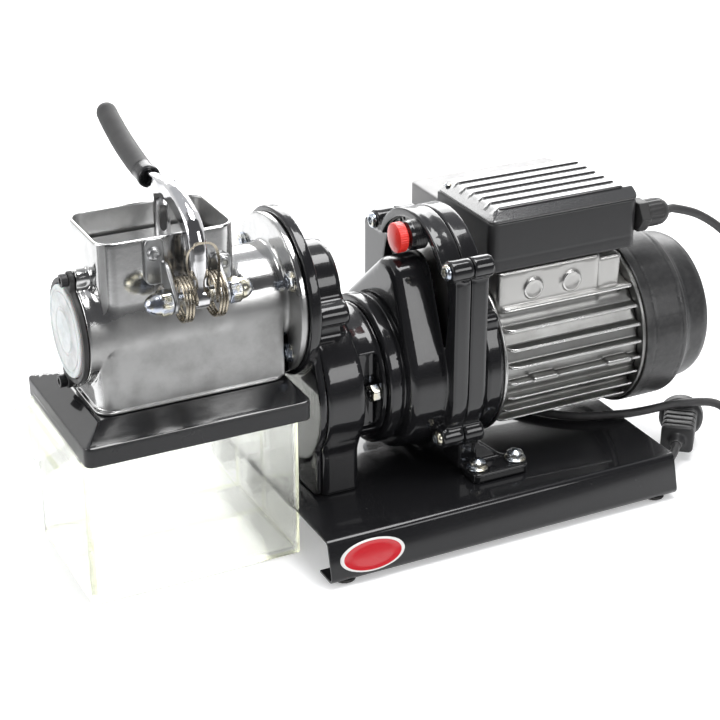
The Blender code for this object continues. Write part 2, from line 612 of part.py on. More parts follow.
window_x = neck_x + NECK_WINDOW_GAP
for side in (-1, 1):
    cut(housing, block(window_x, window_x + WINDOW_LENGTH,
                       *sorted((side * WINDOW_INNER_Y, side * HOUSING_RADIUS)),
                       MOTOR_AXIS_Z - WINDOW_HALF_HEIGHT, MOTOR_AXIS_Z + WINDOW_HALF_HEIGHT))

# Nuts in the neck's windows, on the studs that hold the neck to the gearbox
NUT_RADIUS = 0.0075
NUT_LENGTH = 0.0065
STUD_RADIUS = 0.0035
stud_y = (WINDOW_INNER_Y + NECK_RADIUS) / 2
nut_x1 = window_x + WINDOW_LENGTH - SEAT_GAP
stud_x0 = nut_x1 - NUT_LENGTH - SCREW_HEAD / 2
for i, side in enumerate((-1, 1)):
    stud = rod(stud_x0, collar_x + OVERRUN, STUD_RADIUS, side * stud_y, MOTOR_AXIS_Z, SCREW_STEPS)
    join(cover, stud)
    hole = rod(stud_x0, collar_x, STUD_RADIUS + SEAT_GAP, side * stud_y, MOTOR_AXIS_Z, SCREW_STEPS)
    cut(housing, hole)
    nut = solid(f"adapter_nut_{i + 1}",
                prism(hexagon(NUT_RADIUS, side * stud_y, MOTOR_AXIS_Z, pi / 6), nut_x1 - NUT_LENGTH, nut_x1),
                zinc, at=(nut_x1, side * stud_y, MOTOR_AXIS_Z))
    cut(nut, rod(nut_x1 - NUT_LENGTH - OVERRUN, nut_x1 + OVERRUN, STUD_RADIUS + SEAT_GAP,
                 side * stud_y, MOTOR_AXIS_Z, SCREW_STEPS))

# Adapter plate: the disc that the grater bolts to, on a plate that closes the housing
ADAPTER_DISC_RADIUS = 0.064
PLATE_RADIUS = 0.060
adapter_plate = solid("adapter_plate", rod(disc_x, plate_x + OVERRUN, ADAPTER_DISC_RADIUS,
                                           *roller_place, steps=PICTURE_STEPS), black_paint)
join(adapter_plate,
     prism(belt(axis_place, PLATE_RADIUS, roller_place, HOUSING_TOP_RADIUS), plate_x,
           plate_x + ADAPTER_PLATE))
cut(adapter_plate, rod(disc_x - OVERRUN, plate_x + ADAPTER_PLATE + OVERRUN, SHAFT_RADIUS + BORE_GAP,
                       *roller_place))

# Grater casting: a hopper over a barrel, with a chute down to a foot and a round flange
HOPPER_X0 = -0.1352
HOPPER_WALL = 0.0042
HOPPER_CORNER = 0.009
BARREL_RADIUS = 0.039
BARREL_BORE = 0.0325
BARREL_X0 = -0.146
BARREL_X1 = 0.005
FLANGE_RADIUS = 0.0603
FLANGE_THICKNESS = 0.006
CHUTE_HALF_WIDTH = 0.0405
SKIRT_DEPTH = 0.015
FRAME_SLOPE = 0.009
CASTING_FOOT_HALF = 0.0435
CASTING_FOOT = 0.004
CHUTE_STEP = 0.011
FOOT_X_START = -0.1445
FOOT_X_END = 0.002
OUTLET_X0 = -0.124
OUTLET_X1 = -0.034
OUTLET_HALF = 0.030
POST_RADIUS = 0.006
POST_CIRCLE = 0.0445
POST_LENGTH = 0.012
POST_ANGLE = 1.815
skirt_z = DRAWER_HEIGHT + DRAWER_GAP
rim_z = skirt_z + SKIRT_DEPTH
casting_foot_z = rim_z + FRAME_SLOPE
hopper_x1 = HOPPER_X0 + MOUTH_LENGTH
hopper_middle = (HOPPER_X0 + hopper_x1) / 2
hopper_half = MOUTH_LENGTH / 2
casting = solid("grater_casting", rod(BARREL_X0, BARREL_X1, BARREL_RADIUS, *roller_place,
                                      steps=PICTURE_STEPS), polished)
chute_outline = [(FOOT_X_END - SHEET, casting_foot_z + SHEET), (FOOT_X_START + SHEET, casting_foot_z + SHEET),
                 (FOOT_X_START + SHEET, casting_foot_z + CHUTE_STEP),
                 (HOPPER_X0 - SHEET, roller_z - CHUTE_STEP), (HOPPER_X0 + CHUTE_STEP, roller_z + SHEET),
                 (FOOT_X_END - SHEET, roller_z + SHEET)]
join(casting,
     prism(round_rectangle(hopper_half, MOUTH_WIDTH / 2, HOPPER_CORNER, 4, (hopper_middle, 0)),
           roller_z, mouth_z, axis="Z"),
     prism(chute_outline, -CHUTE_HALF_WIDTH, CHUTE_HALF_WIDTH, axis="Y"),
     prism(round_rectangle((FOOT_X_END - FOOT_X_START) / 2, CASTING_FOOT_HALF, CASTING_FOOT / 2, 2,
                           ((FOOT_X_START + FOOT_X_END) / 2, 0)),
           casting_foot_z, casting_foot_z + CASTING_FOOT, axis="Z"),
     rod(CASTING_END - FLANGE_THICKNESS, CASTING_END, FLANGE_RADIUS, *roller_place, steps=PICTURE_STEPS))
post_places = [(side * POST_CIRCLE * cos(POST_ANGLE), roller_z + side * POST_CIRCLE * sin(POST_ANGLE))
               for side in (1, -1)]
for y, z in post_places:
    post = prism(belt((y, z), POST_RADIUS, (y / 2, (z + roller_z) / 2), POST_RADIUS, 6),
                 BARREL_X0 + SEAT_GAP, BARREL_X0 + POST_LENGTH)
    join(casting, post)
cut(casting,
    rod(BARREL_X0 - OVERRUN, BARREL_X1 - HOUSING_WALL, BARREL_BORE, *roller_place, steps=PICTURE_STEPS),
    rod(BARREL_X0, CASTING_END + OVERRUN, SHAFT_RADIUS + BORE_GAP, *roller_place),
    prism(round_rectangle(hopper_half - HOPPER_WALL, MOUTH_WIDTH / 2 - HOPPER_WALL,
                          HOPPER_CORNER - HOPPER_WALL, 3, (hopper_middle, 0)),
          roller_z, mouth_z + OVERRUN, axis="Z"),
    block(OUTLET_X0, OUTLET_X1, -OUTLET_HALF, OUTLET_HALF, casting_foot_z - OVERRUN, roller_z))

# End cap: a frosted disc with a spigot in the barrel, held by a ring with two ears
CAP_RADIUS = 0.034
CAP_THICKNESS = 0.006
CAP_DOME = 0.0035
SPIGOT_LENGTH = 0.008
BUSH_RADIUS = 0.008
RING_WIDTH = 0.0045
RING_THICKNESS = 0.004
CAP_STEP = 0.001
cap_x = BARREL_X0 - SEAT_GAP
cap_face = cap_x - CAP_THICKNESS
step_shares = (0.90, 0.86, 0.50, 0.46)
cap_profile = [(cap_x - CAP_THICKNESS / 2, 0), (cap_x - CAP_THICKNESS / 2, BUSH_RADIUS + BORE_GAP),
               (cap_x + SPIGOT_LENGTH, BUSH_RADIUS + BORE_GAP),
               (cap_x + SPIGOT_LENGTH, BARREL_BORE - SEAT_GAP), (cap_x, BARREL_BORE - SEAT_GAP),
               (cap_x, CAP_RADIUS), (cap_face, CAP_RADIUS)]
for i, share in enumerate(step_shares):
    level = cap_face - CAP_DOME + CAP_STEP * (i % 2) - CAP_STEP * (i // 2)
    cap_profile.append((level, CAP_RADIUS * share))
cap_profile.append((cap_face - CAP_DOME - 2 * CAP_STEP, 0))
solid("end_cap", turned(cap_profile, centre=(0, 0, roller_z)), frosted, at=(cap_x, 0, roller_z))
ring = solid("end_cap_ring", tube(cap_x - RING_THICKNESS, cap_x, CAP_RADIUS + SEAT_GAP,
                                  CAP_RADIUS + RING_WIDTH, *roller_place, steps=PICTURE_STEPS),
             black_plastic, at=(cap_x, 0, roller_z))
for y, z in post_places:
    lean = atan2(z - roller_z, y)
    inner = (CAP_RADIUS + POST_RADIUS + SHEET) / POST_CIRCLE
    ear = prism(belt((y, z), POST_RADIUS, (y * inner, roller_z + (z - roller_z) * inner), POST_RADIUS, 6),
                cap_x - RING_THICKNESS, cap_x)
    join(ring, ear)
CAP_SCREW_RADIUS = 0.0025
CAP_SCREW_HEAD_RADIUS = 0.0048
CAP_SCREW_HEAD = 0.005
HEX_SOCKET_RADIUS = 0.0023
screw_x = cap_x - RING_THICKNESS - SEAT_GAP
for i, (y, z) in enumerate(post_places):
    hole = rod(cap_x - 2 * RING_THICKNESS, BARREL_X0 + POST_LENGTH * 3 / 4, CAP_SCREW_RADIUS + SEAT_GAP, y, z,
               SCREW_STEPS)
    cut(ring, hole.copy())
    cut(casting, hole)
    profile = [(screw_x - CAP_SCREW_HEAD, 0), (screw_x - CAP_SCREW_HEAD, CAP_SCREW_HEAD_RADIUS),
               (screw_x, CAP_SCREW_HEAD_RADIUS), (screw_x, CAP_SCREW_RADIUS),
               (BARREL_X0 + POST_LENGTH / 2, CAP_SCREW_RADIUS), (BARREL_X0 + POST_LENGTH / 2, 0)]
    cap_screw = solid(f"cap_screw_{i + 1}", turned(profile, SCREW_STEPS, centre=(0, y, z)), black_paint,
                      at=(screw_x, y, z))
    cut(cap_screw, prism(hexagon(HEX_SOCKET_RADIUS, y, z), screw_x - CAP_SCREW_HEAD - OVERRUN,
                         screw_x - CAP_SCREW_HEAD / 2))

# Roller: a drum with a raised point in the middle of each cell, on a shaft with its pinion
ROLLER_CELLS_ROUND = 26
ROLLER_ROWS = 9
TOOTH_HEIGHT = 0.0016
ROLLER_CLEARANCE = 0.002
roller_x0 = cap_x + SPIGOT_LENGTH + ROLLER_CLEARANCE + HOPPER_WALL
roller_x1 = hopper_x1 + ROLLER_CLEARANCE
drum = turned([(roller_x0, BUSH_RADIUS + SEAT_GAP), (roller_x0, ROLLER_RADIUS - TOOTH_HEIGHT)]
              + [(roller_x0 + (roller_x1 - roller_x0) * (i + 1) / (ROLLER_ROWS + 1),
                  ROLLER_RADIUS - TOOTH_HEIGHT) for i in range(ROLLER_ROWS)]
              + [(roller_x1, ROLLER_RADIUS - TOOTH_HEIGHT), (roller_x1, BUSH_RADIUS + SEAT_GAP)],
              ROLLER_CELLS_ROUND)
bmesh.ops.recalc_face_normals(drum, faces=drum.faces)
skin = [face for face in drum.faces
        if all(hypot(v.co.y, v.co.z) > ROLLER_RADIUS - 2 * TOOTH_HEIGHT for v in face.verts)
        and abs(face.normal.x) < 1 / 2]
bmesh.ops.poke(drum, faces=skin, offset=TOOTH_HEIGHT)
bmesh.ops.translate(drum, verts=drum.verts, vec=(0, 0, roller_z))
solid("grating_roller", drum, steel, at=(0, 0, roller_z))
pinion_x1 = adapter_gear_x + ADAPTER_GEAR_WIDTH
roller_shaft = solid("roller_shaft",
                     rod(cap_x - CAP_THICKNESS / 2 + ROLLER_CLEARANCE / 2, adapter_gear_x + OVERRUN,
                                         BUSH_RADIUS, *roller_place), steel, at=(0, 0, roller_z))
join(roller_shaft, gear(ADAPTER_PINION_TEETH, ADAPTER_MODULE, adapter_gear_x, pinion_x1, 0, roller_z,
                        -adapter_line + pi / ADAPTER_PINION_TEETH))

# Drawer frame: a hollow sloping tray under the casting's foot, with the outlet through it
FRAME_X0 = -0.1585
FRAME_X1 = 0.009
FRAME_HALF = 0.0677
FRAME_WALL = 0.003
FRAME_OPENING_HALF = 0.034
FRAME_CORNER = 0.006
frame_top = casting_foot_z - SEAT_GAP


def loft(rings):
    """A closed skin through rings of points, each with as many points, capped at both ends."""
    bm = bmesh.new()
    loops = [[bm.verts.new(point) for point in ring] for ring in rings]
    for low, high in zip(loops, loops[1:]):
        for i in range(len(low)):
            j = (i + 1) % len(low)
            bm.faces.new((low[i], low[j], high[j], high[i]))
    bm.faces.new(loops[0][::-1])
    bm.faces.new(loops[-1])
    return bm


def frame_ring(x0, x1, half, z, corner):
    outline = round_rectangle((x1 - x0) / 2, half, corner, 2, ((x0 + x1) / 2, 0))
    return [(x, y, z) for x, y in outline]


frame = solid("drawer_frame", loft([
    frame_ring(FRAME_X0, FRAME_X1, FRAME_HALF, skirt_z, FRAME_CORNER),
    frame_ring(FRAME_X0, FRAME_X1, FRAME_HALF, rim_z, FRAME_CORNER),
    frame_ring(FOOT_X_START, FOOT_X_END, CASTING_FOOT_HALF, frame_top, FRAME_CORNER / 2)]), black_plastic)
inner_x0, inner_x1 = FRAME_X0 + FRAME_WALL, FRAME_X1 - FRAME_WALL
cut(frame,
    loft([frame_ring(inner_x0, inner_x1, FRAME_HALF - FRAME_WALL, skirt_z - OVERRUN, FRAME_CORNER / 2),
          frame_ring(inner_x0, inner_x1, FRAME_HALF - FRAME_WALL, rim_z - FRAME_WALL, FRAME_CORNER / 2),
          frame_ring(FOOT_X_START + FRAME_WALL, FOOT_X_END - FRAME_WALL, CASTING_FOOT_HALF - FRAME_WALL,
                     frame_top - FRAME_WALL, FRAME_CORNER / 4)]),
    block(OUTLET_X0, OUTLET_X1, -FRAME_OPENING_HALF, FRAME_OPENING_HALF, rim_z, casting_foot_z + OVERRUN),
    rod(CASTING_END - FLANGE_THICKNESS - SEAT_GAP, CASTING_END + OVERRUN, FLANGE_RADIUS + SEAT_GAP,
        *roller_place, steps=PICTURE_STEPS))

# Drawer: a clear box with a higher front wall and a sloping flap as its handle
DRAWER_WALL = 0.004
FLAP_RISE = 0.009
FLAP_TIP_DROP = 0.005
FLAP_HALF = 0.051
FLAP_THICKNESS = 0.004
drawer_half = DRAWER_WIDTH / 2
flap_top_z = DRAWER_HEIGHT + FLAP_RISE
flap_tip_z = DRAWER_HEIGHT - FLAP_TIP_DROP
drawer = solid("drawer_box", block(drawer_x0, drawer_x1, -drawer_half, drawer_half, 0, DRAWER_HEIGHT),
               clear_acrylic, at=(drawer_x0, 0, 0))
cut(drawer, block(drawer_x0 + DRAWER_WALL, drawer_x1 - DRAWER_WALL, -drawer_half + DRAWER_WALL,
                  drawer_half - DRAWER_WALL, DRAWER_WALL, DRAWER_HEIGHT + OVERRUN))
flap = [(drawer_x0, DRAWER_HEIGHT - DRAWER_WALL), (drawer_x0 + DRAWER_WALL, DRAWER_HEIGHT - DRAWER_WALL),
        (drawer_x0 + DRAWER_WALL, flap_top_z - FLAP_THICKNESS / 2),
        (drawer_x0 + DRAWER_WALL / 2, flap_top_z), (drawer_x0, flap_top_z),
        (left_end, flap_tip_z), (left_end + FLAP_THICKNESS / 2, flap_tip_z - FLAP_THICKNESS),
        (drawer_x0, flap_top_z - FLAP_THICKNESS * 3 / 2)]
join(drawer, prism(flap, -FLAP_HALF, FLAP_HALF, axis="Y"))

# Lever pivot: two brackets on the hopper's front, a rod and its acorn nuts
PIVOT_Y = -0.056
PIVOT_RISE = 0.033
PIVOT_Z = roller_z + PIVOT_RISE
PIVOT_MIDDLE_X = -0.071
PIVOT_ROD_RADIUS = 0.005
EAR_HALF_SPAN = 0.0205
EAR_THICKNESS = 0.003
EAR_RADIUS = 0.009
TAB_THICKNESS = 0.0035
TAB_REACH = 0.019
TAB_HALF_HEIGHT = 0.017
TAB_DROP = 0.0196
tab_z = mouth_z - TAB_DROP
TAB_BOLT_RADIUS = 0.0055
TAB_BOLT_HEAD = 0.0045
ACORN_RADIUS = 0.0095
ACORN_HEX = 0.009
ACORN_LENGTH = 0.0195
pivot_place = (PIVOT_Y, PIVOT_Z)
tab_y = -MOUTH_WIDTH / 2 - SEAT_GAP
for name, side in (("pivot_bracket_left", -1), ("pivot_bracket_right", 1)):
    near = PIVOT_MIDDLE_X + side * (EAR_HALF_SPAN - EAR_THICKNESS)
    far = PIVOT_MIDDLE_X + side * EAR_HALF_SPAN
    ear_x0, ear_x1 = min(near, far), max(near, far)
    tab_middle = far + side * (TAB_REACH / 2 - EAR_THICKNESS)
    bracket = solid(name, prism(belt(pivot_place, EAR_RADIUS, (tab_y - EAR_RADIUS, tab_z), EAR_RADIUS, 8),
                                ear_x0, ear_x1), zinc)
    tab = prism(round_rectangle(TAB_REACH / 2, TAB_HALF_HEIGHT, TAB_REACH / 3, 3, (tab_middle, tab_z)),
                tab_y - TAB_THICKNESS, tab_y, axis="Y")
    bolt = turned([(tab_y - TAB_THICKNESS - TAB_BOLT_HEAD, 0),
                   (tab_y - TAB_THICKNESS - TAB_BOLT_HEAD, TAB_BOLT_RADIUS * 2 / 3),
                   (tab_y - TAB_THICKNESS - TAB_BOLT_HEAD / 2, TAB_BOLT_RADIUS),
                   (tab_y - TAB_THICKNESS / 2, TAB_BOLT_RADIUS), (tab_y - TAB_THICKNESS / 2, 0)],
                  SCREW_STEPS, axis="Y",
                  centre=(tab_middle + side * TAB_REACH / 6, 0, tab_z + TAB_HALF_HEIGHT / 3))
    join(bracket, tab, bolt)
    cut(bracket, rod(ear_x0 - OVERRUN, ear_x1 + OVERRUN, PIVOT_ROD_RADIUS + SEAT_GAP, *pivot_place))
    nut_base = far + side * SEAT_GAP
    tip = nut_base + side * ACORN_LENGTH
    number = 1 if side < 0 else 2
    nut = solid(f"acorn_nut_{number}",
                prism(hexagon(ACORN_RADIUS, *pivot_place), *sorted((nut_base, nut_base + side * ACORN_HEX))),
                zinc, at=(nut_base, *pivot_place))
    dome = [(nut_base + side * ACORN_HEX / 2, 0), (nut_base + side * ACORN_HEX / 2, ACORN_RADIUS * 3 / 4),
            (nut_base + side * ACORN_LENGTH * 3 / 5, ACORN_RADIUS * 4 / 5),
            (nut_base + side * ACORN_LENGTH * 4 / 5, ACORN_RADIUS * 2 / 3),
            (tip - side * SCREW_HEAD / 3, ACORN_RADIUS / 3), (tip, 0)]
    join(nut, turned(dome, SMALL_STEPS, centre=(0, *pivot_place)))
    cut(nut, rod(*sorted((nut_base - side * OVERRUN, nut_base + side * ACORN_HEX)),
                 PIVOT_ROD_RADIUS + SEAT_GAP, *pivot_place))
rod_end = EAR_HALF_SPAN + ACORN_HEX - SEAT_GAP
solid("pivot_rod", rod(PIVOT_MIDDLE_X - rod_end, PIVOT_MIDDLE_X + rod_end, PIVOT_ROD_RADIUS, *pivot_place),
      zinc, at=(PIVOT_MIDDLE_X, *pivot_place))


# Lever: a bent arm with a branch down to the presser, and a rubber grip
def smooth_path(points, spacing, straight=False):
    """Points at a spacing along a curve through the route's own points.

    With straight ends, the first and last runs stay straight, each one step long.
    """
    route = [Vector(p) for p in points]
    if straight:
        ends, path = route, [route[0]]
    else:
        ends, path = [2 * route[0] - route[1]] + route + [2 * route[-1] - route[-2]], []
    dense = []
    for a, b, c, d in zip(ends, ends[1:], ends[2:], ends[3:]):
        for i in range(PICTURE_STEPS):
            t = i / PICTURE_STEPS
            dense.append(((2 * b) + (c - a) * t + (2 * a - 5 * b + 4 * c - d) * t ** 2
                          + (3 * b - a - 3 * c + d) * t ** 3) / 2)
    dense.append(ends[-2])
    total = sum((b - a).length for a, b in zip(dense, dense[1:]))
    count = max(2, round(total / spacing))
    path.append(dense[0])
    walked, target = 0.0, 1
    for a, b in zip(dense, dense[1:]):
        run = (b - a).length
        while run and target < count and walked + run >= total * target / count:
            path.append(a.lerp(b, (total * target / count - walked) / run))
            target += 1
        walked += run
    path.append(dense[-1])
    if straight:
        path.append(route[-1])
    return path, sum((b - a).length for a, b in zip(path, path[1:]))


def wire(name, points, radii, resolution):
    """A round tube along points, as a curve with filled caps."""
    data = bpy.data.curves.new(name, "CURVE")
    data.dimensions = "3D"
    data.bevel_depth = 1
    data.bevel_resolution = resolution
    data.use_fill_caps = True
    spline = data.splines.new("POLY")
    spline.points.add(len(points) - 1)
    for knot, point, radius in zip(spline.points, points, radii):
        knot.co = (*point, 1)
        knot.radius = radius
    return data


def pipe(points, radii, resolution):
    """The same tube as a bmesh, for a solid that joins others."""
    data = wire("pipe", points, radii, resolution)
    holder = bpy.data.objects.new("pipe", data)
    mesh = bpy.data.meshes.new_from_object(holder)
    bpy.data.objects.remove(holder)
    bpy.data.curves.remove(data)
    bm = bmesh.new()
    bm.from_mesh(mesh)
    bpy.data.meshes.remove(mesh)
    bmesh.ops.remove_doubles(bm, verts=bm.verts, dist=OVERRUN / 1000)
    return bm


LEVER_REACH = 0.1665
LEVER_RISE = 0.0913
LEVER_SIDE = 0.0057
ARM_RADIUS = 0.0052
ARM_NECK_RADIUS = 0.0058
BOSS_RADIUS = 0.0085
BOSS_HALF = 0.0058
PRESSER_FRONT_RADIUS = 0.0498
PRESSER_REAR_Y = 0.0285
PRESSER_X0 = -0.129
PRESSER_X1 = -0.0385
PRESSER_TOP_RISE = 0.022
PRESSER_TOP_Z = PIVOT_Z + PRESSER_TOP_RISE
PRESSER_GAP = 0.002
PRESSER_TOE_SHARE = 0.95
STEM_RADIUS = 0.006
GRIP_START_RADIUS = 0.0085
GRIP_END_RADIUS = 0.0077
GRIP_COLLAR = 0.0035
ARM_SHARES = ((0, 0, 0.0465), (0, 0, 0.1862), (0.0877, 0, 0.4162), (0.1754, 0.0601, 0.5805),
              (0.3509, 0.2042, 0.6900), (0.5263, 0.3483, 0.6955), (0.7018, 0.4595, 0.6846))
GRIP_SHARES = ((0.7895, 0.5886, 0.7174), (0.8772, 0.7688, 0.8050), (0.9649, 0.9129, 0.9146), (1, 1, 1))
STEM_SHARES = ((0, 0.3123, 0.6846), (0, 0.3784, 0.5969), (0, 0.4024, 0.4655))
GRIP_END_SHARES = (0.9, 0.85, 0.5)


def lever_route(shares):
    """Points of the lever's route, from its pivot to its tip."""
    return [(PIVOT_MIDDLE_X - LEVER_SIDE * side, PIVOT_Y + LEVER_REACH * out, PIVOT_Z + LEVER_RISE * up)
            for side, out, up in shares]


arm_path, _ = smooth_path(lever_route(ARM_SHARES), ARM_RADIUS)
arm_radii = [ARM_NECK_RADIUS + (ARM_RADIUS - ARM_NECK_RADIUS) * i / (len(arm_path) - 1)
             for i in range(len(arm_path))]
lever_at = (PIVOT_MIDDLE_X, PIVOT_Y, PIVOT_Z)
lever = solid("lever_arm", rod(PIVOT_MIDDLE_X - BOSS_HALF, PIVOT_MIDDLE_X + BOSS_HALF, BOSS_RADIUS,
                               *pivot_place), polished, at=lever_at)
stem_route = lever_route(STEM_SHARES)
stem_route.append((*stem_route[-1][:2], PRESSER_TOP_Z + SEAT_GAP))
stem_path, _ = smooth_path(stem_route, STEM_RADIUS)
join(lever, pipe(arm_path, arm_radii, 2), pipe(stem_path, [STEM_RADIUS] * len(stem_path), 2))
cut(lever, rod(PIVOT_MIDDLE_X - 2 * BOSS_HALF, PIVOT_MIDDLE_X + 2 * BOSS_HALF, PIVOT_ROD_RADIUS + SEAT_GAP,
               *pivot_place))

# The grip starts in a collar, narrows a little and ends round
arm_run = (arm_path[-1] - arm_path[-2]).normalized()
grip_start = arm_path[-1] + arm_run * SEAT_GAP
grip_curve, _ = smooth_path([grip_start + arm_run * GRIP_COLLAR] + lever_route(GRIP_SHARES), ARM_RADIUS)
end_run = (grip_curve[-1] - grip_curve[-2]).normalized()
grip_path = [grip_start] + grip_curve + [grip_curve[-1] + end_run * GRIP_COLLAR,
                                         grip_curve[-1] + end_run * GRIP_COLLAR * 5 / 3]
count = len(grip_path)
grip_radii = [GRIP_START_RADIUS + (GRIP_END_RADIUS - GRIP_START_RADIUS) * i / (count - 1)
              for i in range(count)]
grip_radii[1] = GRIP_START_RADIUS * GRIP_END_SHARES[0]
grip_radii[-2] = GRIP_END_RADIUS * GRIP_END_SHARES[1]
grip_radii[-1] = GRIP_END_RADIUS * GRIP_END_SHARES[2]
solid("lever_grip", pipe(grip_path, grip_radii, 3), rubber, at=lever_at)

# Presser: a block curved over the roller, whose front swings clear of the hopper's wall
presser_bottom = ROLLER_RADIUS + PRESSER_GAP
front_high = asin((PRESSER_TOP_Z - PIVOT_Z) / PRESSER_FRONT_RADIUS)
front_low = asin((roller_z + presser_bottom * PRESSER_TOE_SHARE - PIVOT_Z) / PRESSER_FRONT_RADIUS)
rear_angle = acos(PRESSER_REAR_Y / presser_bottom)
front_foot = arc(PIVOT_Y, PIVOT_Z, PRESSER_FRONT_RADIUS, front_low, front_low, 1)[0]
front_angle = atan2(front_foot[1] - roller_z, front_foot[0])
presser_outline = (arc(0, roller_z, presser_bottom, rear_angle, front_angle, 8)
                   + arc(PIVOT_Y, PIVOT_Z, PRESSER_FRONT_RADIUS, front_low, front_high, 5)[1:]
                   + [(PRESSER_REAR_Y - PRESSER_GAP, PRESSER_TOP_Z),
                      (PRESSER_REAR_Y, PRESSER_TOP_Z - PRESSER_GAP)])
solid("presser", prism(presser_outline, PRESSER_X0, PRESSER_X1), polished, at=lever_at)

# Lever spring: two coils round the rod, joined by a bail over the arm's front
SPRING_WIRE = 0.0009
SPRING_RADIUS = 0.0155
SPRING_PITCH = 0.0024
SPRING_CURLS = 3.5
SPRING_POINTS = 8
SPRING_REACH = 0.016
BAIL_RISE = 0.041
BAIL_Z = PIVOT_Z + BAIL_RISE
BAIL_Y = PIVOT_Y - ARM_NECK_RADIUS - 2 * SPRING_WIRE
coil_length = SPRING_CURLS * SPRING_PITCH


def half_spring():
    """One coil from its outer end to the middle of the bail, for X measured from the middle."""
    turns = round(SPRING_CURLS * SPRING_POINTS)
    points = []
    for i in range(turns + 1):
        turn = pi - 2 * pi * (turns - i) / SPRING_POINTS
        points.append(Vector((SPRING_REACH - coil_length * i / turns,
                              PIVOT_Y + SPRING_RADIUS * cos(turn), PIVOT_Z + SPRING_RADIUS * sin(turn))))
    inner = SPRING_REACH - coil_length
    leg = [(inner, PIVOT_Y - SPRING_RADIUS, PIVOT_Z + SPRING_RADIUS / 2),
           (inner, BAIL_Y - SPRING_WIRE, BAIL_Z - SPRING_RADIUS),
           (inner * 4 / 5, BAIL_Y, BAIL_Z - SPRING_RADIUS / 4), (inner / 3, BAIL_Y, BAIL_Z),
           (0, BAIL_Y, BAIL_Z)]
    return points + [Vector(point) for point in leg]


half = half_spring()
middle = Vector((PIVOT_MIDDLE_X, 0, 0))
spring_path = ([Vector((-p.x, p.y, p.z)) + middle for p in half]
               + [p + middle for p in half[-2::-1]])


def least_gap(points, radius, skip):
    """The least clear distance between runs of one tube that aren't neighbours along it."""
    least = min((a - b).length for i, a in enumerate(points) for b in points[i + skip:])
    return least - 2 * radius


spring_gap = least_gap(spring_path, SPRING_WIRE, SPRING_POINTS // 2)
print("lever_spring least gap", round(spring_gap * 1000, 2), "mm")


def tube_object(name, points, radius, resolution, mat, at=(0, 0, 0)):
    """A named curve tube, written in machine coordinates."""
    data = wire(name, [Vector(p) - Vector(at) for p in points], [radius] * len(points), resolution)
    data.materials.append(mat)
    obj = bpy.data.objects.new(name, data)
    obj.location = at
    obj.parent = machine
    bpy.context.collection.objects.link(obj)
    return obj


tube_object("lever_spring", spring_path, SPRING_WIRE, 1, spring_steel, at=lever_at)

# Start button: a red cap in a black collar on the gearbox's dome
BUTTON_Y = -0.0225
BUTTON_RISE = 0.1125
BUTTON_Z = MOTOR_AXIS_Z + BUTTON_RISE
BUTTON_RADIUS = 0.0115
BUTTON_LENGTH = 0.0085
BUTTON_TRAVEL = 0.0028
BUTTON_COLLAR_RADIUS = 0.012
BUTTON_COLLAR = 0.014
BUTTON_STEM_RADIUS = 0.005
BUTTON_RIM_SHARE = 0.93
collar_x1 = flange_x - SEAT_GAP
collar_x0 = collar_x1 - BUTTON_COLLAR
button_x1 = collar_x0 - BUTTON_TRAVEL
button_place = (BUTTON_Y, BUTTON_Z)
cut(cover, rod(flange_x - 2 * RIM_DEPTH, flange_x, BUTTON_COLLAR_RADIUS + SEAT_GAP, *button_place))
solid("button_collar", tube(collar_x0, collar_x1, BUTTON_STEM_RADIUS + SEAT_GAP, BUTTON_COLLAR_RADIUS,
                            *button_place), black_plastic, at=(collar_x0, *button_place))
button_profile = [(button_x1 - BUTTON_LENGTH, 0), (button_x1 - BUTTON_LENGTH, BUTTON_RADIUS * 2 / 3),
                  (button_x1 - BUTTON_LENGTH + BUTTON_TRAVEL / 2, BUTTON_RADIUS * BUTTON_RIM_SHARE),
                  (button_x1 - BUTTON_LENGTH + BUTTON_TRAVEL, BUTTON_RADIUS), (button_x1, BUTTON_RADIUS),
                  (button_x1, BUTTON_STEM_RADIUS),
                  (collar_x1 - BUTTON_TRAVEL - 2 * SEAT_GAP, BUTTON_STEM_RADIUS),
                  (collar_x1 - BUTTON_TRAVEL - 2 * SEAT_GAP, 0)]
solid("start_button", turned(button_profile, SMALL_STEPS, centre=(0, *button_place)), red_plastic,
      at=(button_x1, *button_place))

# Motor frame: a finned tube with a squared pedestal for the terminal box
FIN_THICKNESS = 0.0026
RIM_LENGTH = 0.003
FIN_START = 0.0135
FIN_RISE = 0.0085
FIN_LIMIT_SHARE = 0.777
FIN_ROWS = 7
FIN_SPREAD_SHARE = 0.29
fin_heights = [MOTOR_BODY_RADIUS * FIN_LIMIT_SHARE * (1 - FIN_SPREAD_SHARE * i) for i in range(FIN_ROWS)]
PEDESTAL_INSET = 0.0047
PEDESTAL_LENGTH = 0.092
PEDESTAL_HALF = 0.046
PEDESTAL_RISE = 0.077
PEDESTAL_TOP = MOTOR_AXIS_Z + PEDESTAL_RISE
LUG_BLOCK_LENGTH = 0.020
LUG_BLOCK_DROP = 0.003
KNOCKOUT_RADIUS = 0.0085
KNOCKOUT_RISE = 0.0012
KNOCKOUT_DROP = 0.0175
KNOCKOUT_SHARES = (1 / 3, 0.7076)
pedestal_x0 = motor_x + PEDESTAL_INSET
pedestal_x1 = pedestal_x0 + PEDESTAL_LENGTH
knockout_x = [pedestal_x0 + PEDESTAL_LENGTH * share for share in KNOCKOUT_SHARES]


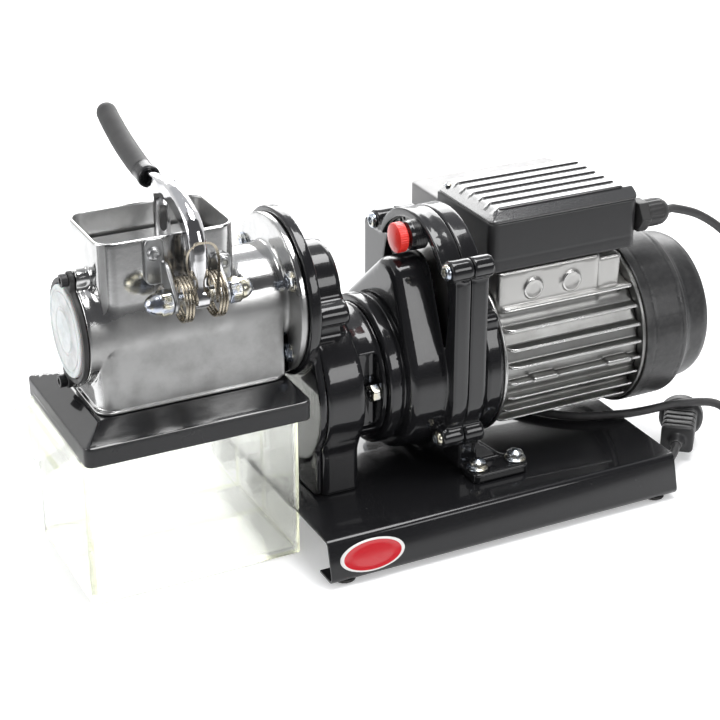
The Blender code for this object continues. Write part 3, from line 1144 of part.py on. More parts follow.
def finned_outline():
    """The frame's section: round, with level fins on both sides."""
    def on_circle(radius, height):
        return sqrt(radius ** 2 - height ** 2)

    right = []
    for i, height in enumerate(reversed(fin_heights)):
        low, high = height - FIN_THICKNESS / 2, height + FIN_THICKNESS / 2
        if i:
            between = (height + fin_heights[-i]) / 2
            right.append((on_circle(MOTOR_BODY_RADIUS, between), between))
        right += [(on_circle(MOTOR_BODY_RADIUS, low), low), (on_circle(MOTOR_FIN_RADIUS, height), low),
                  (on_circle(MOTOR_FIN_RADIUS, height), high), (on_circle(MOTOR_BODY_RADIUS, high), high)]
    top = asin(right[-1][1] / MOTOR_BODY_RADIUS)
    bottom = asin(right[0][1] / MOTOR_BODY_RADIUS)
    over = arc(0, 0, MOTOR_BODY_RADIUS, top, pi - top, 8)[1:-1]
    under = arc(0, 0, MOTOR_BODY_RADIUS, pi - bottom, 2 * pi + bottom, 8)[1:-1]
    left = [(-y, z) for y, z in reversed(right)]
    return [(y, z + MOTOR_AXIS_Z) for y, z in right + over + left + under]


motor_frame = solid("motor_frame", prism(finned_outline(), motor_x, rear_x), cast_aluminium)
fin_cutter = [(motor_x - OVERRUN, MOTOR_BODY_RADIUS + SEAT_GAP), (motor_x - OVERRUN, 2 * MOTOR_FIN_RADIUS),
              (motor_x + FIN_START, 2 * MOTOR_FIN_RADIUS), (motor_x + FIN_START, MOTOR_FIN_RADIUS + OVERRUN),
              (motor_x + FIN_START - FIN_RISE / 3, MOTOR_FIN_RADIUS - FIN_RISE / 6),
              (motor_x + FIN_START - FIN_RISE, MOTOR_BODY_RADIUS + SEAT_GAP)]
cut(motor_frame, turned(fin_cutter, centre=(0, 0, MOTOR_AXIS_Z)))
pedestal_root = MOTOR_AXIS_Z + MOTOR_BODY_RADIUS * 3 / 5
join(motor_frame,
     tube(motor_x, motor_x + RIM_LENGTH, FRAME_BORE - OVERRUN, MOTOR_FIN_RADIUS, *axis_place,
          steps=PICTURE_STEPS),
     block(pedestal_x0, pedestal_x1, -PEDESTAL_HALF, PEDESTAL_HALF, pedestal_root, PEDESTAL_TOP),
     block(pedestal_x1 - OVERRUN, pedestal_x1 + LUG_BLOCK_LENGTH, -PEDESTAL_HALF + KNOCKOUT_RISE,
           PEDESTAL_HALF - KNOCKOUT_RISE, pedestal_root + OVERRUN, PEDESTAL_TOP - LUG_BLOCK_DROP))
for x in knockout_x:
    join(motor_frame, turned([(-PEDESTAL_HALF - KNOCKOUT_RISE, 0),
                              (-PEDESTAL_HALF - KNOCKOUT_RISE, KNOCKOUT_RADIUS),
                              (-PEDESTAL_HALF + OVERRUN, KNOCKOUT_RADIUS), (-PEDESTAL_HALF + OVERRUN, 0)],
                             SMALL_STEPS, axis="Y", centre=(x, 0, PEDESTAL_TOP - KNOCKOUT_DROP)))
cut(motor_frame, rod(motor_x - OVERRUN, rear_x + OVERRUN, FRAME_BORE, *axis_place, steps=PICTURE_STEPS))

# Stator, rotor, shaft and end shields
STATOR_INSET = 0.0187
STATOR_LENGTH = 0.085
STATOR_BORE_SHARE = 0.545
SHAFT_TAIL = 0.0237
ROTOR_GAP = 0.0006
stator_x0 = motor_x + STATOR_INSET
stator_x1 = stator_x0 + STATOR_LENGTH
stator_bore = MOTOR_BODY_RADIUS * STATOR_BORE_SHARE
REAR_SHIELD_LIP = 0.0027
REAR_SHIELD = 0.0087
solid("stator",
      tube(stator_x0, stator_x1, stator_bore, FRAME_BORE - SEAT_GAP, *axis_place, steps=PICTURE_STEPS),
      copper_steel, at=(stator_x0, *axis_place))
solid("rotor",
      tube(stator_x0, stator_x1, SHAFT_RADIUS + SEAT_GAP, stator_bore - ROTOR_GAP, *axis_place,
           steps=SMALL_STEPS),
      copper_steel, at=(stator_x0, *axis_place))
rotor_shaft = solid("motor_shaft", rod(wheel_x1 - OVERRUN, rear_x + SHAFT_TAIL, SHAFT_RADIUS, *axis_place),
                    steel, at=(0, *axis_place))
join(rotor_shaft, gear(PINION_TEETH, GEAR_MODULE, wheel_x - SEAT_GAP, wheel_x1, 0, MOTOR_AXIS_Z,
                       idler_line + pinion_step / 2))
shield_x1 = rear_x + SEAT_GAP + REAR_SHIELD
solid("rear_end_shield",
      turned([(rear_x - HOUSING_WALL, SHAFT_RADIUS + BORE_GAP),
              (rear_x - HOUSING_WALL, FRAME_BORE - SEAT_GAP),
              (rear_x + SEAT_GAP, FRAME_BORE - SEAT_GAP), (rear_x + SEAT_GAP, MOTOR_FIN_RADIUS),
              (shield_x1 - SHEET, MOTOR_FIN_RADIUS), (shield_x1, MOTOR_FIN_RADIUS - SHEET),
              (shield_x1, BEARING_RADIUS), (shield_x1 + SHEET, BEARING_RADIUS),
              (shield_x1 + SHEET, SHAFT_RADIUS + BORE_GAP)], centre=(0, 0, MOTOR_AXIS_Z)),
      cast_aluminium, at=(rear_x, *axis_place))

# Cooling fan and its cover, slotted at the end
FAN_HUB_RADIUS = 0.014
FAN_CLEARANCE = 0.0125
FAN_BLADES = 7
FAN_BLADE = 0.0025
FAN_INSET = 0.0152
FAN_LENGTH = 0.020
COVER_WALL = 0.002
COVER_STRAIGHT = 0.0375
COVER_STEP = 0.009
COVER_STEP_DROP = 0.0065
COVER_END_DROP = 0.0205
SLOTS = 8
SLOT_WIDTH = 0.004
SLOT_INNER = 0.014
SLOT_OUTER = 0.044
cover_step_radius = MOTOR_FIN_RADIUS - COVER_STEP_DROP
cover_end_radius = MOTOR_FIN_RADIUS - COVER_END_DROP
fan_x0 = rear_x + FAN_INSET
fan_radius = MOTOR_FIN_RADIUS - FAN_CLEARANCE
fan = solid("cooling_fan", tube(fan_x0, fan_x0 + FAN_LENGTH, SHAFT_RADIUS + SEAT_GAP, FAN_HUB_RADIUS,
                                *axis_place), black_plastic, at=(fan_x0, *axis_place))
join(fan, tube(fan_x0, fan_x0 + FAN_BLADE, SHAFT_RADIUS + SHEET, fan_radius, *axis_place, steps=32))
blades = bmesh.new()
for i in range(FAN_BLADES):
    blade = block(fan_x0 + FAN_BLADE / 2, fan_x0 + FAN_LENGTH - FAN_BLADE, -FAN_BLADE / 2, FAN_BLADE / 2,
                  FAN_HUB_RADIUS - FAN_BLADE / 2, fan_radius)
    turn = Matrix.Rotation(2 * pi * i / FAN_BLADES, 4, "X")
    blade.transform(Matrix.Translation((0, 0, MOTOR_AXIS_Z)) @ turn)
    merge(blades, blade)
join(fan, blades)
cover_bore = MOTOR_FIN_RADIUS + SEAT_GAP
cover_x0 = rear_x + SEAT_GAP + REAR_SHIELD_LIP
cover_step_x = cover_x0 + COVER_STRAIGHT
outer = [(cover_x0, cover_bore + COVER_WALL), (cover_step_x, cover_bore + COVER_WALL),
         (cover_step_x + COVER_STEP * 2 / 3, cover_step_radius + COVER_WALL),
         (cover_step_x + COVER_STEP, cover_step_radius),
         (right_end - COVER_STEP * 4 / 5, cover_step_radius - COVER_WALL),
         (right_end - COVER_STEP / 4, (cover_step_radius + cover_end_radius) / 2 + COVER_WALL),
         (right_end, cover_end_radius), (right_end, 0)]
inner = [(right_end - COVER_WALL, 0), (right_end - COVER_WALL, cover_end_radius - COVER_WALL),
         (right_end - COVER_STEP / 4 - COVER_WALL, (cover_step_radius + cover_end_radius) / 2),
         (right_end - COVER_STEP * 4 / 5 - COVER_WALL / 2, cover_step_radius - 3 * COVER_WALL),
         (cover_step_x - COVER_WALL, cover_bore), (cover_x0, cover_bore)]
fan_cover = solid("fan_cover", turned(inner + outer, centre=(0, 0, MOTOR_AXIS_Z)), black_plastic,
                  at=(cover_x0, *axis_place))
slots = bmesh.new()
for i in range(SLOTS):
    slot = block(right_end - 2 * COVER_WALL, right_end + OVERRUN, -SLOT_WIDTH / 2, SLOT_WIDTH / 2,
                 SLOT_INNER, SLOT_OUTER)
    slot.transform(Matrix.Translation((0, 0, MOTOR_AXIS_Z)) @ Matrix.Rotation(2 * pi * i / SLOTS, 4, "X"))
    merge(slots, slot)
cut(fan_cover, slots)

# Terminal box: a deep front part and a lower compartment behind for the capacitor
BOX_OVERHANG = 0.0013
box_x0 = motor_x - BOX_OVERHANG
BOX_FRONT_Y = -0.0438
BOX_DIVIDE_Y = 0.043
BOX_REAR_Y = 0.090
BOX_RISE = 0.040
BOX_REAR_RISE = 0.0335
box_top = PEDESTAL_TOP + BOX_RISE
box_rear_top = PEDESTAL_TOP + BOX_REAR_RISE
BOX_WALL = 0.003
BOX_ROUNDING = 0.006
LID_THICKNESS = 0.0047
LID_EDGE = 0.0008
LID_SLOPE = 0.0095
LID_RIDGES = 6
RIDGE_RISE = 0.004
RIDGE_WIDTH = 0.003
RIDGE_X_INSET = 0.003
RIDGE_LENGTH = 0.112
RIDGE_FRONT_Y = -0.032
RIDGE_REAR_Y = 0.031
LID_SCREW_RADIUS = 0.0032
LID_SCREW_RISE = 0.002
LID_SCREW_INSET = 0.0065
LID_SCREW_INSET_Y = 0.0058
CAPACITOR_RADIUS = 0.0125
CAPACITOR_LENGTH = 0.085
box_z = PEDESTAL_TOP + SEAT_GAP
box_x1 = box_x0 + BOX_LENGTH
box_outline = [(BOX_FRONT_Y, box_z), (BOX_REAR_Y, box_z), (BOX_REAR_Y, box_rear_top),
               (BOX_DIVIDE_Y, box_rear_top), (BOX_DIVIDE_Y, box_top), (BOX_FRONT_Y, box_top)]
room_outline = [(BOX_FRONT_Y + BOX_WALL, box_z + BOX_WALL), (BOX_REAR_Y - BOX_WALL, box_z + BOX_WALL),
                (BOX_REAR_Y - BOX_WALL, box_rear_top - BOX_WALL),
                (BOX_DIVIDE_Y - BOX_WALL, box_rear_top - BOX_WALL),
                (BOX_DIVIDE_Y - BOX_WALL, box_top + OVERRUN), (BOX_FRONT_Y + BOX_WALL, box_top + OVERRUN)]


def upright(edge):
    return abs(edge.verts[0].co.z - edge.verts[1].co.z) > OVERRUN


box = solid("terminal_box", round_edges(prism(box_outline, box_x0, box_x1), BOX_ROUNDING,
                                        lambda e: upright(e) and any(
                                            abs(e.verts[0].co.y - y) < OVERRUN
                                            for y in (BOX_FRONT_Y, BOX_REAR_Y))), black_plastic,
            at=(box_x0, 0, box_z))
cut(box, prism(room_outline, box_x0 + BOX_WALL, box_x1 - BOX_WALL))
lid_z = box_top + SEAT_GAP
lid_top = lid_z + LID_THICKNESS
lid_half = (BOX_LENGTH / 2, (BOX_DIVIDE_Y - BOX_FRONT_Y) / 2)
lid_rings = []
for z, inset in ((lid_z, 0), (lid_z + LID_EDGE, 0), (lid_top, LID_SLOPE)):
    middle = ((box_x0 + box_x1 + inset) / 2, (BOX_DIVIDE_Y + BOX_FRONT_Y + inset) / 2)
    outline = round_rectangle(lid_half[0] - inset / 2, lid_half[1] - inset / 2, BOX_ROUNDING, 2, middle)
    lid_rings.append([(x, y, z) for x, y in outline])
lid = solid("terminal_lid", loft(lid_rings), black_plastic, at=(box_x0, 0, lid_z))
ridges = bmesh.new()
ridge_x0 = box_x0 + RIDGE_X_INSET
for i in range(LID_RIDGES):
    y = RIDGE_FRONT_Y + (RIDGE_REAR_Y - RIDGE_FRONT_Y) * i / (LID_RIDGES - 1)
    ridge = [(ridge_x0, lid_z + LID_EDGE), (ridge_x0 + RIDGE_LENGTH, lid_z + LID_EDGE),
             (ridge_x0 + RIDGE_LENGTH - RIDGE_WIDTH, lid_top + RIDGE_RISE),
             (ridge_x0 + LID_SLOPE, lid_top + RIDGE_RISE)]
    merge(ridges, prism(ridge, y - RIDGE_WIDTH / 2, y + RIDGE_WIDTH / 2, axis="Y"))
join(lid, ridges)
lid_screws = [(box_x0 + LID_SCREW_INSET, BOX_DIVIDE_Y - LID_SCREW_INSET_Y),
              (box_x1 - 2 * LID_SCREW_INSET, BOX_DIVIDE_Y - LID_SCREW_INSET_Y)]
for i, (x, y) in enumerate(lid_screws):
    low = lid_top + SEAT_GAP
    profile = [(low, 0), (low, LID_SCREW_RADIUS), (low + LID_SCREW_RISE / 2, LID_SCREW_RADIUS),
               (low + LID_SCREW_RISE, LID_SCREW_RADIUS / 2), (low + LID_SCREW_RISE, 0)]
    solid(f"lid_screw_{i + 1}", turned(profile, SCREW_STEPS, axis="Z", centre=(x, y, 0)), zinc,
          at=(x, y, low))
capacitor_y = (BOX_DIVIDE_Y + BOX_REAR_Y) / 2
capacitor_z = box_z + BOX_WALL + SEAT_GAP + CAPACITOR_RADIUS
capacitor_x = box_x0 + 3 * BOX_WALL
solid("capacitor",
      rod(capacitor_x, capacitor_x + CAPACITOR_LENGTH, CAPACITOR_RADIUS, capacitor_y, capacitor_z),
      frosted, at=(capacitor_x, capacitor_y, capacitor_z))

# Cable gland on the box's end, tapered along the cord
GLAND_Y = -0.0365
GLAND_RISE = 0.0235
GLAND_Z = PEDESTAL_TOP + GLAND_RISE
GLAND_HEX = 0.0135
GLAND_HEX_LENGTH = 0.009
GLAND_BARREL = 0.011
GLAND_LENGTH = 0.030
GLAND_TIP = 0.0062
THREAD_RADIUS = 0.008
CORD_CLEARANCE = 0.0004
gland_x = box_x1 + SEAT_GAP
gland_x1 = box_x1 + GLAND_LENGTH
gland_place = (GLAND_Y, GLAND_Z)
gland_profile = [(box_x1 - 2 * BOX_WALL, 0), (box_x1 - 2 * BOX_WALL, THREAD_RADIUS), (gland_x, THREAD_RADIUS),
                 (gland_x, GLAND_BARREL), (gland_x + GLAND_HEX_LENGTH + SHEET, GLAND_BARREL),
                 (gland_x1 - GLAND_HEX_LENGTH, GLAND_BARREL), (gland_x1 - SHEET, GLAND_TIP + SHEET),
                 (gland_x1, GLAND_TIP), (gland_x1, 0)]
gland = solid("cable_gland", turned(gland_profile, SMALL_STEPS, centre=(0, *gland_place)), black_plastic,
              at=(gland_x, *gland_place))
join(gland, prism(hexagon(GLAND_HEX, *gland_place), gland_x, gland_x + GLAND_HEX_LENGTH))
cut(box, rod(box_x1 - 2 * BOX_WALL, box_x1 + OVERRUN, THREAD_RADIUS + SEAT_GAP, *gland_place))

# Plug on the table: a cup, a ribbed body and a short strain relief
PLUG_END = (0.335, -0.072, 0.0185)
PLUG_FACE = (0.372, -0.028, 0.0195)
PLUG_CUP_RADIUS = 0.0185
PLUG_CUP_LENGTH = 0.011
PLUG_BODY_HALF = 0.0135
PLUG_BODY_HALF_HEIGHT = 0.0115
PLUG_RIBS = 4
PLUG_GROOVE = 0.0014
plug_end, plug_face = Vector(PLUG_END), Vector(PLUG_FACE)
plug_length = (plug_face - plug_end).length
plug_turn = (plug_face - plug_end).to_track_quat("X", "Z").to_matrix().to_4x4()
plug_pose = Matrix.Translation(plug_end) @ plug_turn
relief_length = plug_length / 5
body_x1 = plug_length - PLUG_CUP_LENGTH
body_rings = []
steps = 4 * PLUG_RIBS + 1
for i in range(steps):
    x = relief_length + (body_x1 - relief_length + OVERRUN) * i / (steps - 1)
    groove = PLUG_GROOVE if i % 4 in (2, 3) and i < steps - 2 else 0
    body_rings.append([(x, a, b) for a, b in round_rectangle(PLUG_BODY_HALF - groove,
                                                             PLUG_BODY_HALF_HEIGHT - groove, CORD_RADIUS, 1)])
plug_body = loft(body_rings)
plug = place("plug", finish(plug_body, "plug"), black_plastic)
cup = turned([(body_x1, 0), (body_x1, PLUG_CUP_RADIUS - SHEET), (body_x1 + SHEET, PLUG_CUP_RADIUS),
              (plug_length, PLUG_CUP_RADIUS), (plug_length, PLUG_CUP_RADIUS - SHEET),
              (body_x1 + 2 * SHEET, PLUG_CUP_RADIUS - SHEET), (body_x1 + 2 * SHEET, 0)], 24)
relief = turned([(0, 0), (0, CORD_RADIUS + SHEET / 2), (relief_length + OVERRUN, CORD_RADIUS + 2 * SHEET),
                 (relief_length + OVERRUN, 0)], 12)
join(plug, cup, relief)
plug.matrix_local = plug_pose
for tool in [obj for obj in bpy.data.objects if obj.name.startswith("plug_tool")]:
    tool.matrix_local = plug_pose

# Cord: out of the gland, round to the base plate, over its rear edge and into a coil;
# the lead's heights count the floor as 0, the base's top as 1 and the gland as 2
LEAD_ROUTE = [(0.3323, -0.0365, 2), (0.3393, -0.0365, 2), (0.366, -0.037, 1.9437),
              (0.392, -0.04, 1.8338), (0.413, -0.046, 1.6761), (0.429, -0.056, 1.4845),
              (0.439, -0.068, 1.2817), (0.443, -0.084, 1.0789), (0.44, -0.102, 0.544),
              (0.43, -0.1165, 0.0723), (0.416, -0.1195, 0.0063), (0.4045, -0.108, 0.1667),
              (0.398, -0.0905, 0.4969), (0.392, -0.073, 0.8742), (0.382, -0.057, 1.0254),
              (0.352, -0.048, 1.0366), (0.322, -0.043, 1.0254), (0.3, -0.038, 1.0214),
              (0.262, -0.022, 1.0214), (0.232, 0.012, 1.0214), (0.215, 0.06, 1.0214),
              (0.206, 0.096, 1.0225), (0.204, 0.114, 1.0208), (0.204, 0.13, 0.8742),
              (0.2042, 0.146, 0.3082), (0.2048, 0.16, 0.0314)]
COIL_CENTRE = (0.254, 0.187)
COIL_OUTER = 0.049
COIL_TURNS = 3.375
COIL_PITCH = 0.0078
COIL_LAYER = 0.0076
COIL_POINTS = 24
COIL_START = pi
CORD_SPACING = 0.020
floor_z = CORD_RADIUS + CORD_CLEARANCE + SEAT_GAP


def height_of(level):
    """Height of a point of the lead from its level."""
    if level <= 1:
        return floor_z + (BASE_HEIGHT - floor_z) * level
    return BASE_HEIGHT + (GLAND_Z - BASE_HEIGHT) * (level - 1)



def coil_path():
    """Loops that spiral in on the table and out again on top of themselves."""
    count = round(COIL_TURNS * COIL_POINTS)
    points = []
    for i in range(count + 1):
        turned_by = i / COIL_POINTS
        inward = COIL_TURNS / 2 - abs(turned_by - COIL_TURNS / 2)
        climb = min(1, max(0, (turned_by - COIL_TURNS / 2) / (1 / 2) + 1 / 2))
        rise = (1 - cos(pi * climb)) / 2
        angle = COIL_START - 2 * pi * turned_by
        radius = COIL_OUTER - COIL_PITCH * inward
        points.append(Vector((COIL_CENTRE[0] + radius * cos(angle), COIL_CENTRE[1] + radius * sin(angle),
                              floor_z + COIL_LAYER * rise)))
    first = (points[0] - points[1]).normalized()
    last = (points[-1] - points[-2]).normalized()
    return [points[0] + first * 2 * CORD_RADIUS] + points + [points[-1] + last * 2 * CORD_RADIUS]


coil = coil_path()
print("cord_coil least gap", round(least_gap(coil, CORD_RADIUS, COIL_POINTS // 2) * 1000, 2), "mm")
coil_in = (coil[1] - coil[0]).normalized()
coil_out = (coil[-1] - coil[-2]).normalized()
lead_route = [Vector((x, y, height_of(level))) for x, y, level in LEAD_ROUTE]
lead_route += [coil[0] - coil_in * (2 * CORD_RADIUS), coil[0] - coil_in * SEAT_GAP]
lead, lead_length = smooth_path(lead_route, CORD_SPACING, straight=True)
plug_axis = (plug_face - plug_end).normalized()
TAIL_ROUTE = [(0.307, 0.199, 0.0112), (0.3215, 0.172, 0.0065), (0.326, 0.130, 0.0042), (0.325, 0.070, 0.0042),
              (0.3195, 0.020, 0.0042), (0.306, -0.012, 0.0042), (0.2905, -0.038, 0.0042),
              (0.287, -0.062, 0.0045), (0.297, -0.081, 0.007), (0.3135, -0.0875, 0.0125)]
tail_route = ([coil[-1] + coil_out * SEAT_GAP, coil[-1] + coil_out * (2 * CORD_RADIUS)]
              + [Vector(p) for p in TAIL_ROUTE]
              + [plug_end - plug_axis * 2 * CORD_RADIUS, plug_end - plug_axis * SEAT_GAP])
tail, tail_length = smooth_path(tail_route, CORD_SPACING, straight=True)
coil_length_run = sum((b - a).length for a, b in zip(coil, coil[1:]))
print("cord length", round(lead_length + coil_length_run + tail_length, 3), "m")
tube_object("cord_lead", lead, CORD_RADIUS, 2, rubber)
tube_object("cord_coil", coil, CORD_RADIUS, 1, rubber)
tube_object("cord_tail", tail, CORD_RADIUS, 2, rubber)
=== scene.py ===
# Electric grater: a motor and gearbox on a folded steel base turn a grating roller under a hopper.
# After the studio, each section is one group of real pieces: the cord and plug, then the machine from its
# base up to the lever's spring. Stations along the machine are metres from the base's left end.
from math import acos, asin, atan2, cos, hypot, pi, radians, sin, sqrt, tan

import bmesh
import bpy
import numpy as np
import openvdb
from mathutils import Matrix, Vector


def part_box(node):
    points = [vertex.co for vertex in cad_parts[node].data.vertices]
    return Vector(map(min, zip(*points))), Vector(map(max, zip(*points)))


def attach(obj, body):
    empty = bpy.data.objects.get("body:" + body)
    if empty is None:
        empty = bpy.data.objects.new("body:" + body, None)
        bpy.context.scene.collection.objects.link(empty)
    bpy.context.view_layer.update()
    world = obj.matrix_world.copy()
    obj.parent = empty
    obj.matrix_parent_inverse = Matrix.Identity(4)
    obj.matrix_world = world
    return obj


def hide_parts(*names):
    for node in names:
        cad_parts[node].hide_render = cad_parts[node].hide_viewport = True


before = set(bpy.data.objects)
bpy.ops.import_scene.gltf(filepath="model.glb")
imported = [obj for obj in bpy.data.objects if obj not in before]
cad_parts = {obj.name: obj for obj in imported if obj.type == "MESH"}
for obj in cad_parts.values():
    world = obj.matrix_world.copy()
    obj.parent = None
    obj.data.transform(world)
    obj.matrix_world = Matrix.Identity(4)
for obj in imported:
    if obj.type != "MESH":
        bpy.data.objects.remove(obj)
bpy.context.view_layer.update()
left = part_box("base_channel")[0].x

# Studio: a pale table before a white backdrop, seen from where the photograph was taken.
# Shiny pieces see the bright wall behind the machine and a darker room on the camera's side.
CAMERA_PLACE = (-0.578726, -1.137074, 0.72161)
CAMERA_HEADING = radians(26.524)
CAMERA_DIP = radians(25.354)
CAMERA_LENS = 90.93
SENSOR = 36
TABLE_DROP = 0.0004
TABLE_HALF = 12


class Tone:
    """A value on its way to a shader. Arithmetic on it adds Math nodes to its tree."""

    def __init__(self, nodes, socket):
        self.nodes = nodes
        self.socket = socket

    def maths(self, operation, *values):
        return self.nodes.node("Math", {"operation": operation}, dict(enumerate(values)))

    def __add__(self, other):
        return self.maths("ADD", self, other)

    def __sub__(self, other):
        return self.maths("SUBTRACT", self, other)

    def __rsub__(self, other):
        return self.maths("SUBTRACT", other, self)

    def __mul__(self, other):
        return self.maths("MULTIPLY", self, other)

    def __truediv__(self, other):
        return self.maths("DIVIDE", self, other)

    def __pow__(self, other):
        return self.maths("POWER", self, other)

    def __abs__(self):
        return self.maths("ABSOLUTE", self)

    __radd__ = __add__
    __rmul__ = __mul__

    def high(self, other):
        return self.maths("MAXIMUM", self, other)

    def between(self, start, end):
        """0 before start and 1 after end, with a smooth rise."""
        return self.nodes.node("MapRange", {"interpolation_type": "SMOOTHSTEP"},
                               {"Value": self, "From Min": start, "From Max": end})


class Nodes:
    """The node tree of a finish, the room or the table."""

    def __init__(self, tree):
        self.tree = tree

    def node(self, kind, settings=None, values=None, output=0):
        """One node: settings first, then its sockets' values or links."""
        made = self.tree.nodes.new("ShaderNode" + kind)
        for name, value in (settings or {}).items():
            setattr(made, name, value)
        for name, value in (values or {}).items():
            if isinstance(value, Tone):
                self.tree.links.new(value.socket, made.inputs[name])
            else:
                made.inputs[name].default_value = value
        return Tone(self, made.outputs[output])

    def mix(self, share, a, b):
        """A colour between two colours."""
        return self.node("Mix", {"data_type": "RGBA"}, {0: share, 6: a, 7: b}, 2)

    def split(self, vector):
        made = self.node("SeparateXYZ", values={0: vector})
        return [Tone(self, socket) for socket in made.socket.node.outputs]

    def seen_by(self, *rays):
        """1 for the rays named, such as Is Camera Ray."""
        path = self.node("LightPath").socket.node
        found = Tone(self, path.outputs[rays[0]])
        for ray in rays[1:]:
            found = found.high(Tone(self, path.outputs[ray]))
        return found


ROOM_WHITE = (1, 1, 1, 1)
ROOM_DARK = (0.10, 0.10, 0.105, 1)
ROOM_FILL = (0.62, 0.63, 0.65, 1)
WALL_EDGE = (-0.22, 0.12)
CEILING_EDGE = (0.55, 0.8)
world = bpy.data.worlds.new("room")
bpy.context.scene.world = world
world.use_nodes = True
room = Nodes(world.node_tree)
behind, above = room.split(room.node("TexCoord", output="Generated"))[1:]
wall = behind.between(*WALL_EDGE)
seen = room.mix(wall, ROOM_DARK, ROOM_WHITE)
seen = room.mix(above.between(*CEILING_EDGE) * wall, seen, ROOM_FILL)
shiny = room.seen_by("Is Glossy Ray", "Is Transmission Ray")
lit = room.mix(shiny, ROOM_FILL, seen)
lit = room.mix(room.seen_by("Is Camera Ray"), lit, ROOM_WHITE)
backdrop = world.node_tree.nodes["Background"]
world.node_tree.links.new(lit.socket, backdrop.inputs["Color"])

TABLE_COLOUR = (0.84, 0.84, 0.84, 1)
TABLE_SHADE = (0.16, 0.16, 0.16, 1)
TABLE_ROUGHNESS = 0.6
TABLE_SPECULAR = 0.1
TABLE_GLOW = 0.30
TABLE_FRONT_EDGE = (-0.75, -0.25)
TABLE_LEFT_EDGE = (-0.62, -0.5)
TABLE_BACK_EDGE = (0.05, 0.2)
NO_GLOW = (0, 0, 0, 1)
table_mesh = bpy.data.meshes.new("table")
table_sides = ((-1, -1), (1, -1), (1, 1), (-1, 1))
table_corners = [(x * TABLE_HALF, y * TABLE_HALF, -TABLE_DROP) for x, y in table_sides]
table_mesh.from_pydata(table_corners, [], [(0, 1, 2, 3)])
table = bpy.data.objects.new("table", table_mesh)
bpy.context.scene.collection.objects.link(table)
table_material = bpy.data.materials.new("table")
table_material.use_nodes = True
table_mesh.materials.append(table_material)
top = Nodes(table_material.node_tree)
table_shader = table_material.node_tree.nodes["Principled BSDF"]
table_shader.inputs["Roughness"].default_value = TABLE_ROUGHNESS
table_shader.inputs["Specular IOR Level"].default_value = TABLE_SPECULAR
ground = top.split(top.node("TexCoord", output="Object"))
lit_part = ground[0].between(*TABLE_LEFT_EDGE).high(ground[1].between(*TABLE_BACK_EDGE))
lit_part = lit_part * ground[1].between(*TABLE_FRONT_EDGE)
near = lit_part.high(1 - top.seen_by("Is Glossy Ray"))
table_colour = top.mix(near, TABLE_SHADE, TABLE_COLOUR)
top.tree.links.new(table_colour.socket, table_shader.inputs["Base Color"])
glow = top.seen_by("Is Camera Ray", "Is Transmission Ray") * TABLE_GLOW
glow = glow + top.seen_by("Is Glossy Ray") * near * (TABLE_GLOW / 2)
top.tree.links.new(top.mix(glow, NO_GLOW, ROOM_WHITE).socket, table_shader.inputs["Emission Color"])
table_shader.inputs["Emission Strength"].default_value = 1


def lamp(name, place, target, width, height, power):
    data = bpy.data.lights.new(name, "AREA")
    data.shape = "RECTANGLE"
    data.size = width
    data.size_y = height
    data.energy = power
    made = bpy.data.objects.new(name, data)
    made.location = place
    made.rotation_mode = "QUATERNION"
    made.rotation_quaternion = (Vector(target) - Vector(place)).to_track_quat("-Z", "Y")
    made.visible_camera = False
    bpy.context.scene.collection.objects.link(made)


lamp("wall_lamp", (0.65, 1.45, 0.95), (0, 0, 0.15), 2.2, 1.0, 34)
lamp("ceiling_lamp", (0.25, -0.15, 1.5), (0.02, 0, 0.15), 0.8, 0.7, 16)
lamp("side_lamp", (-1.5, 0.1, 0.75), (-0.1, 0, 0.15), 0.9, 0.9, 9)
lamp("fill_lamp", (0.75, -1.5, 0.85), (0.05, 0, 0.12), 0.8, 0.6, 7)

camera = bpy.data.objects.new("camera", bpy.data.cameras.new("camera"))
camera.location = CAMERA_PLACE
camera.rotation_mode = "QUATERNION"
camera_aim = Vector((sin(CAMERA_HEADING) * cos(CAMERA_DIP), cos(CAMERA_HEADING) * cos(CAMERA_DIP),
                     -sin(CAMERA_DIP)))
camera.rotation_quaternion = camera_aim.to_track_quat("-Z", "Y")
camera.data.lens = CAMERA_LENS
camera.data.sensor_width = SENSOR
bpy.context.scene.collection.objects.link(camera)
bpy.context.scene.camera = camera
bpy.context.scene.view_settings.view_transform = "Standard"

# Cord: two metres of round rubber-sheathed flex, from the gland over the base to a coil behind it.
# It is drawn through the route's points and keeps a straight run where it meets a fitting.
CORD_RADIUS = 0.0035
CORD_SPACING = 0.004
CURVE_STEPS = 26
LEAD_ROUTE = [(0.3323, -0.0365, 0.2135), (0.3393, -0.0365, 0.2135), (0.366, -0.037, 0.2035),
              (0.392, -0.04, 0.184), (0.413, -0.046, 0.156), (0.429, -0.056, 0.122),
              (0.439, -0.068, 0.086), (0.443, -0.084, 0.05), (0.44, -0.102, 0.0215),
              (0.43, -0.1165, 0.0065), (0.416, -0.1195, 0.0044), (0.4045, -0.108, 0.0095),
              (0.398, -0.0905, 0.02), (0.392, -0.073, 0.032), (0.382, -0.057, 0.0405),
              (0.352, -0.048, 0.0425), (0.322, -0.043, 0.0405), (0.3, -0.038, 0.0398),
              (0.262, -0.022, 0.0398), (0.232, 0.012, 0.0398), (0.215, 0.06, 0.0398),
              (0.206, 0.096, 0.04), (0.204, 0.114, 0.0397), (0.204, 0.13, 0.032),
              (0.2042, 0.146, 0.014), (0.2048, 0.16, 0.0052)]
COIL_CENTRE = (0.254, 0.187)
COIL_OUTER = 0.049
COIL_TURNS = 3.375
COIL_PITCH = 0.0078
COIL_LAYER = 0.0076
COIL_FLOOR = 0.0042
COIL_POINTS = 24
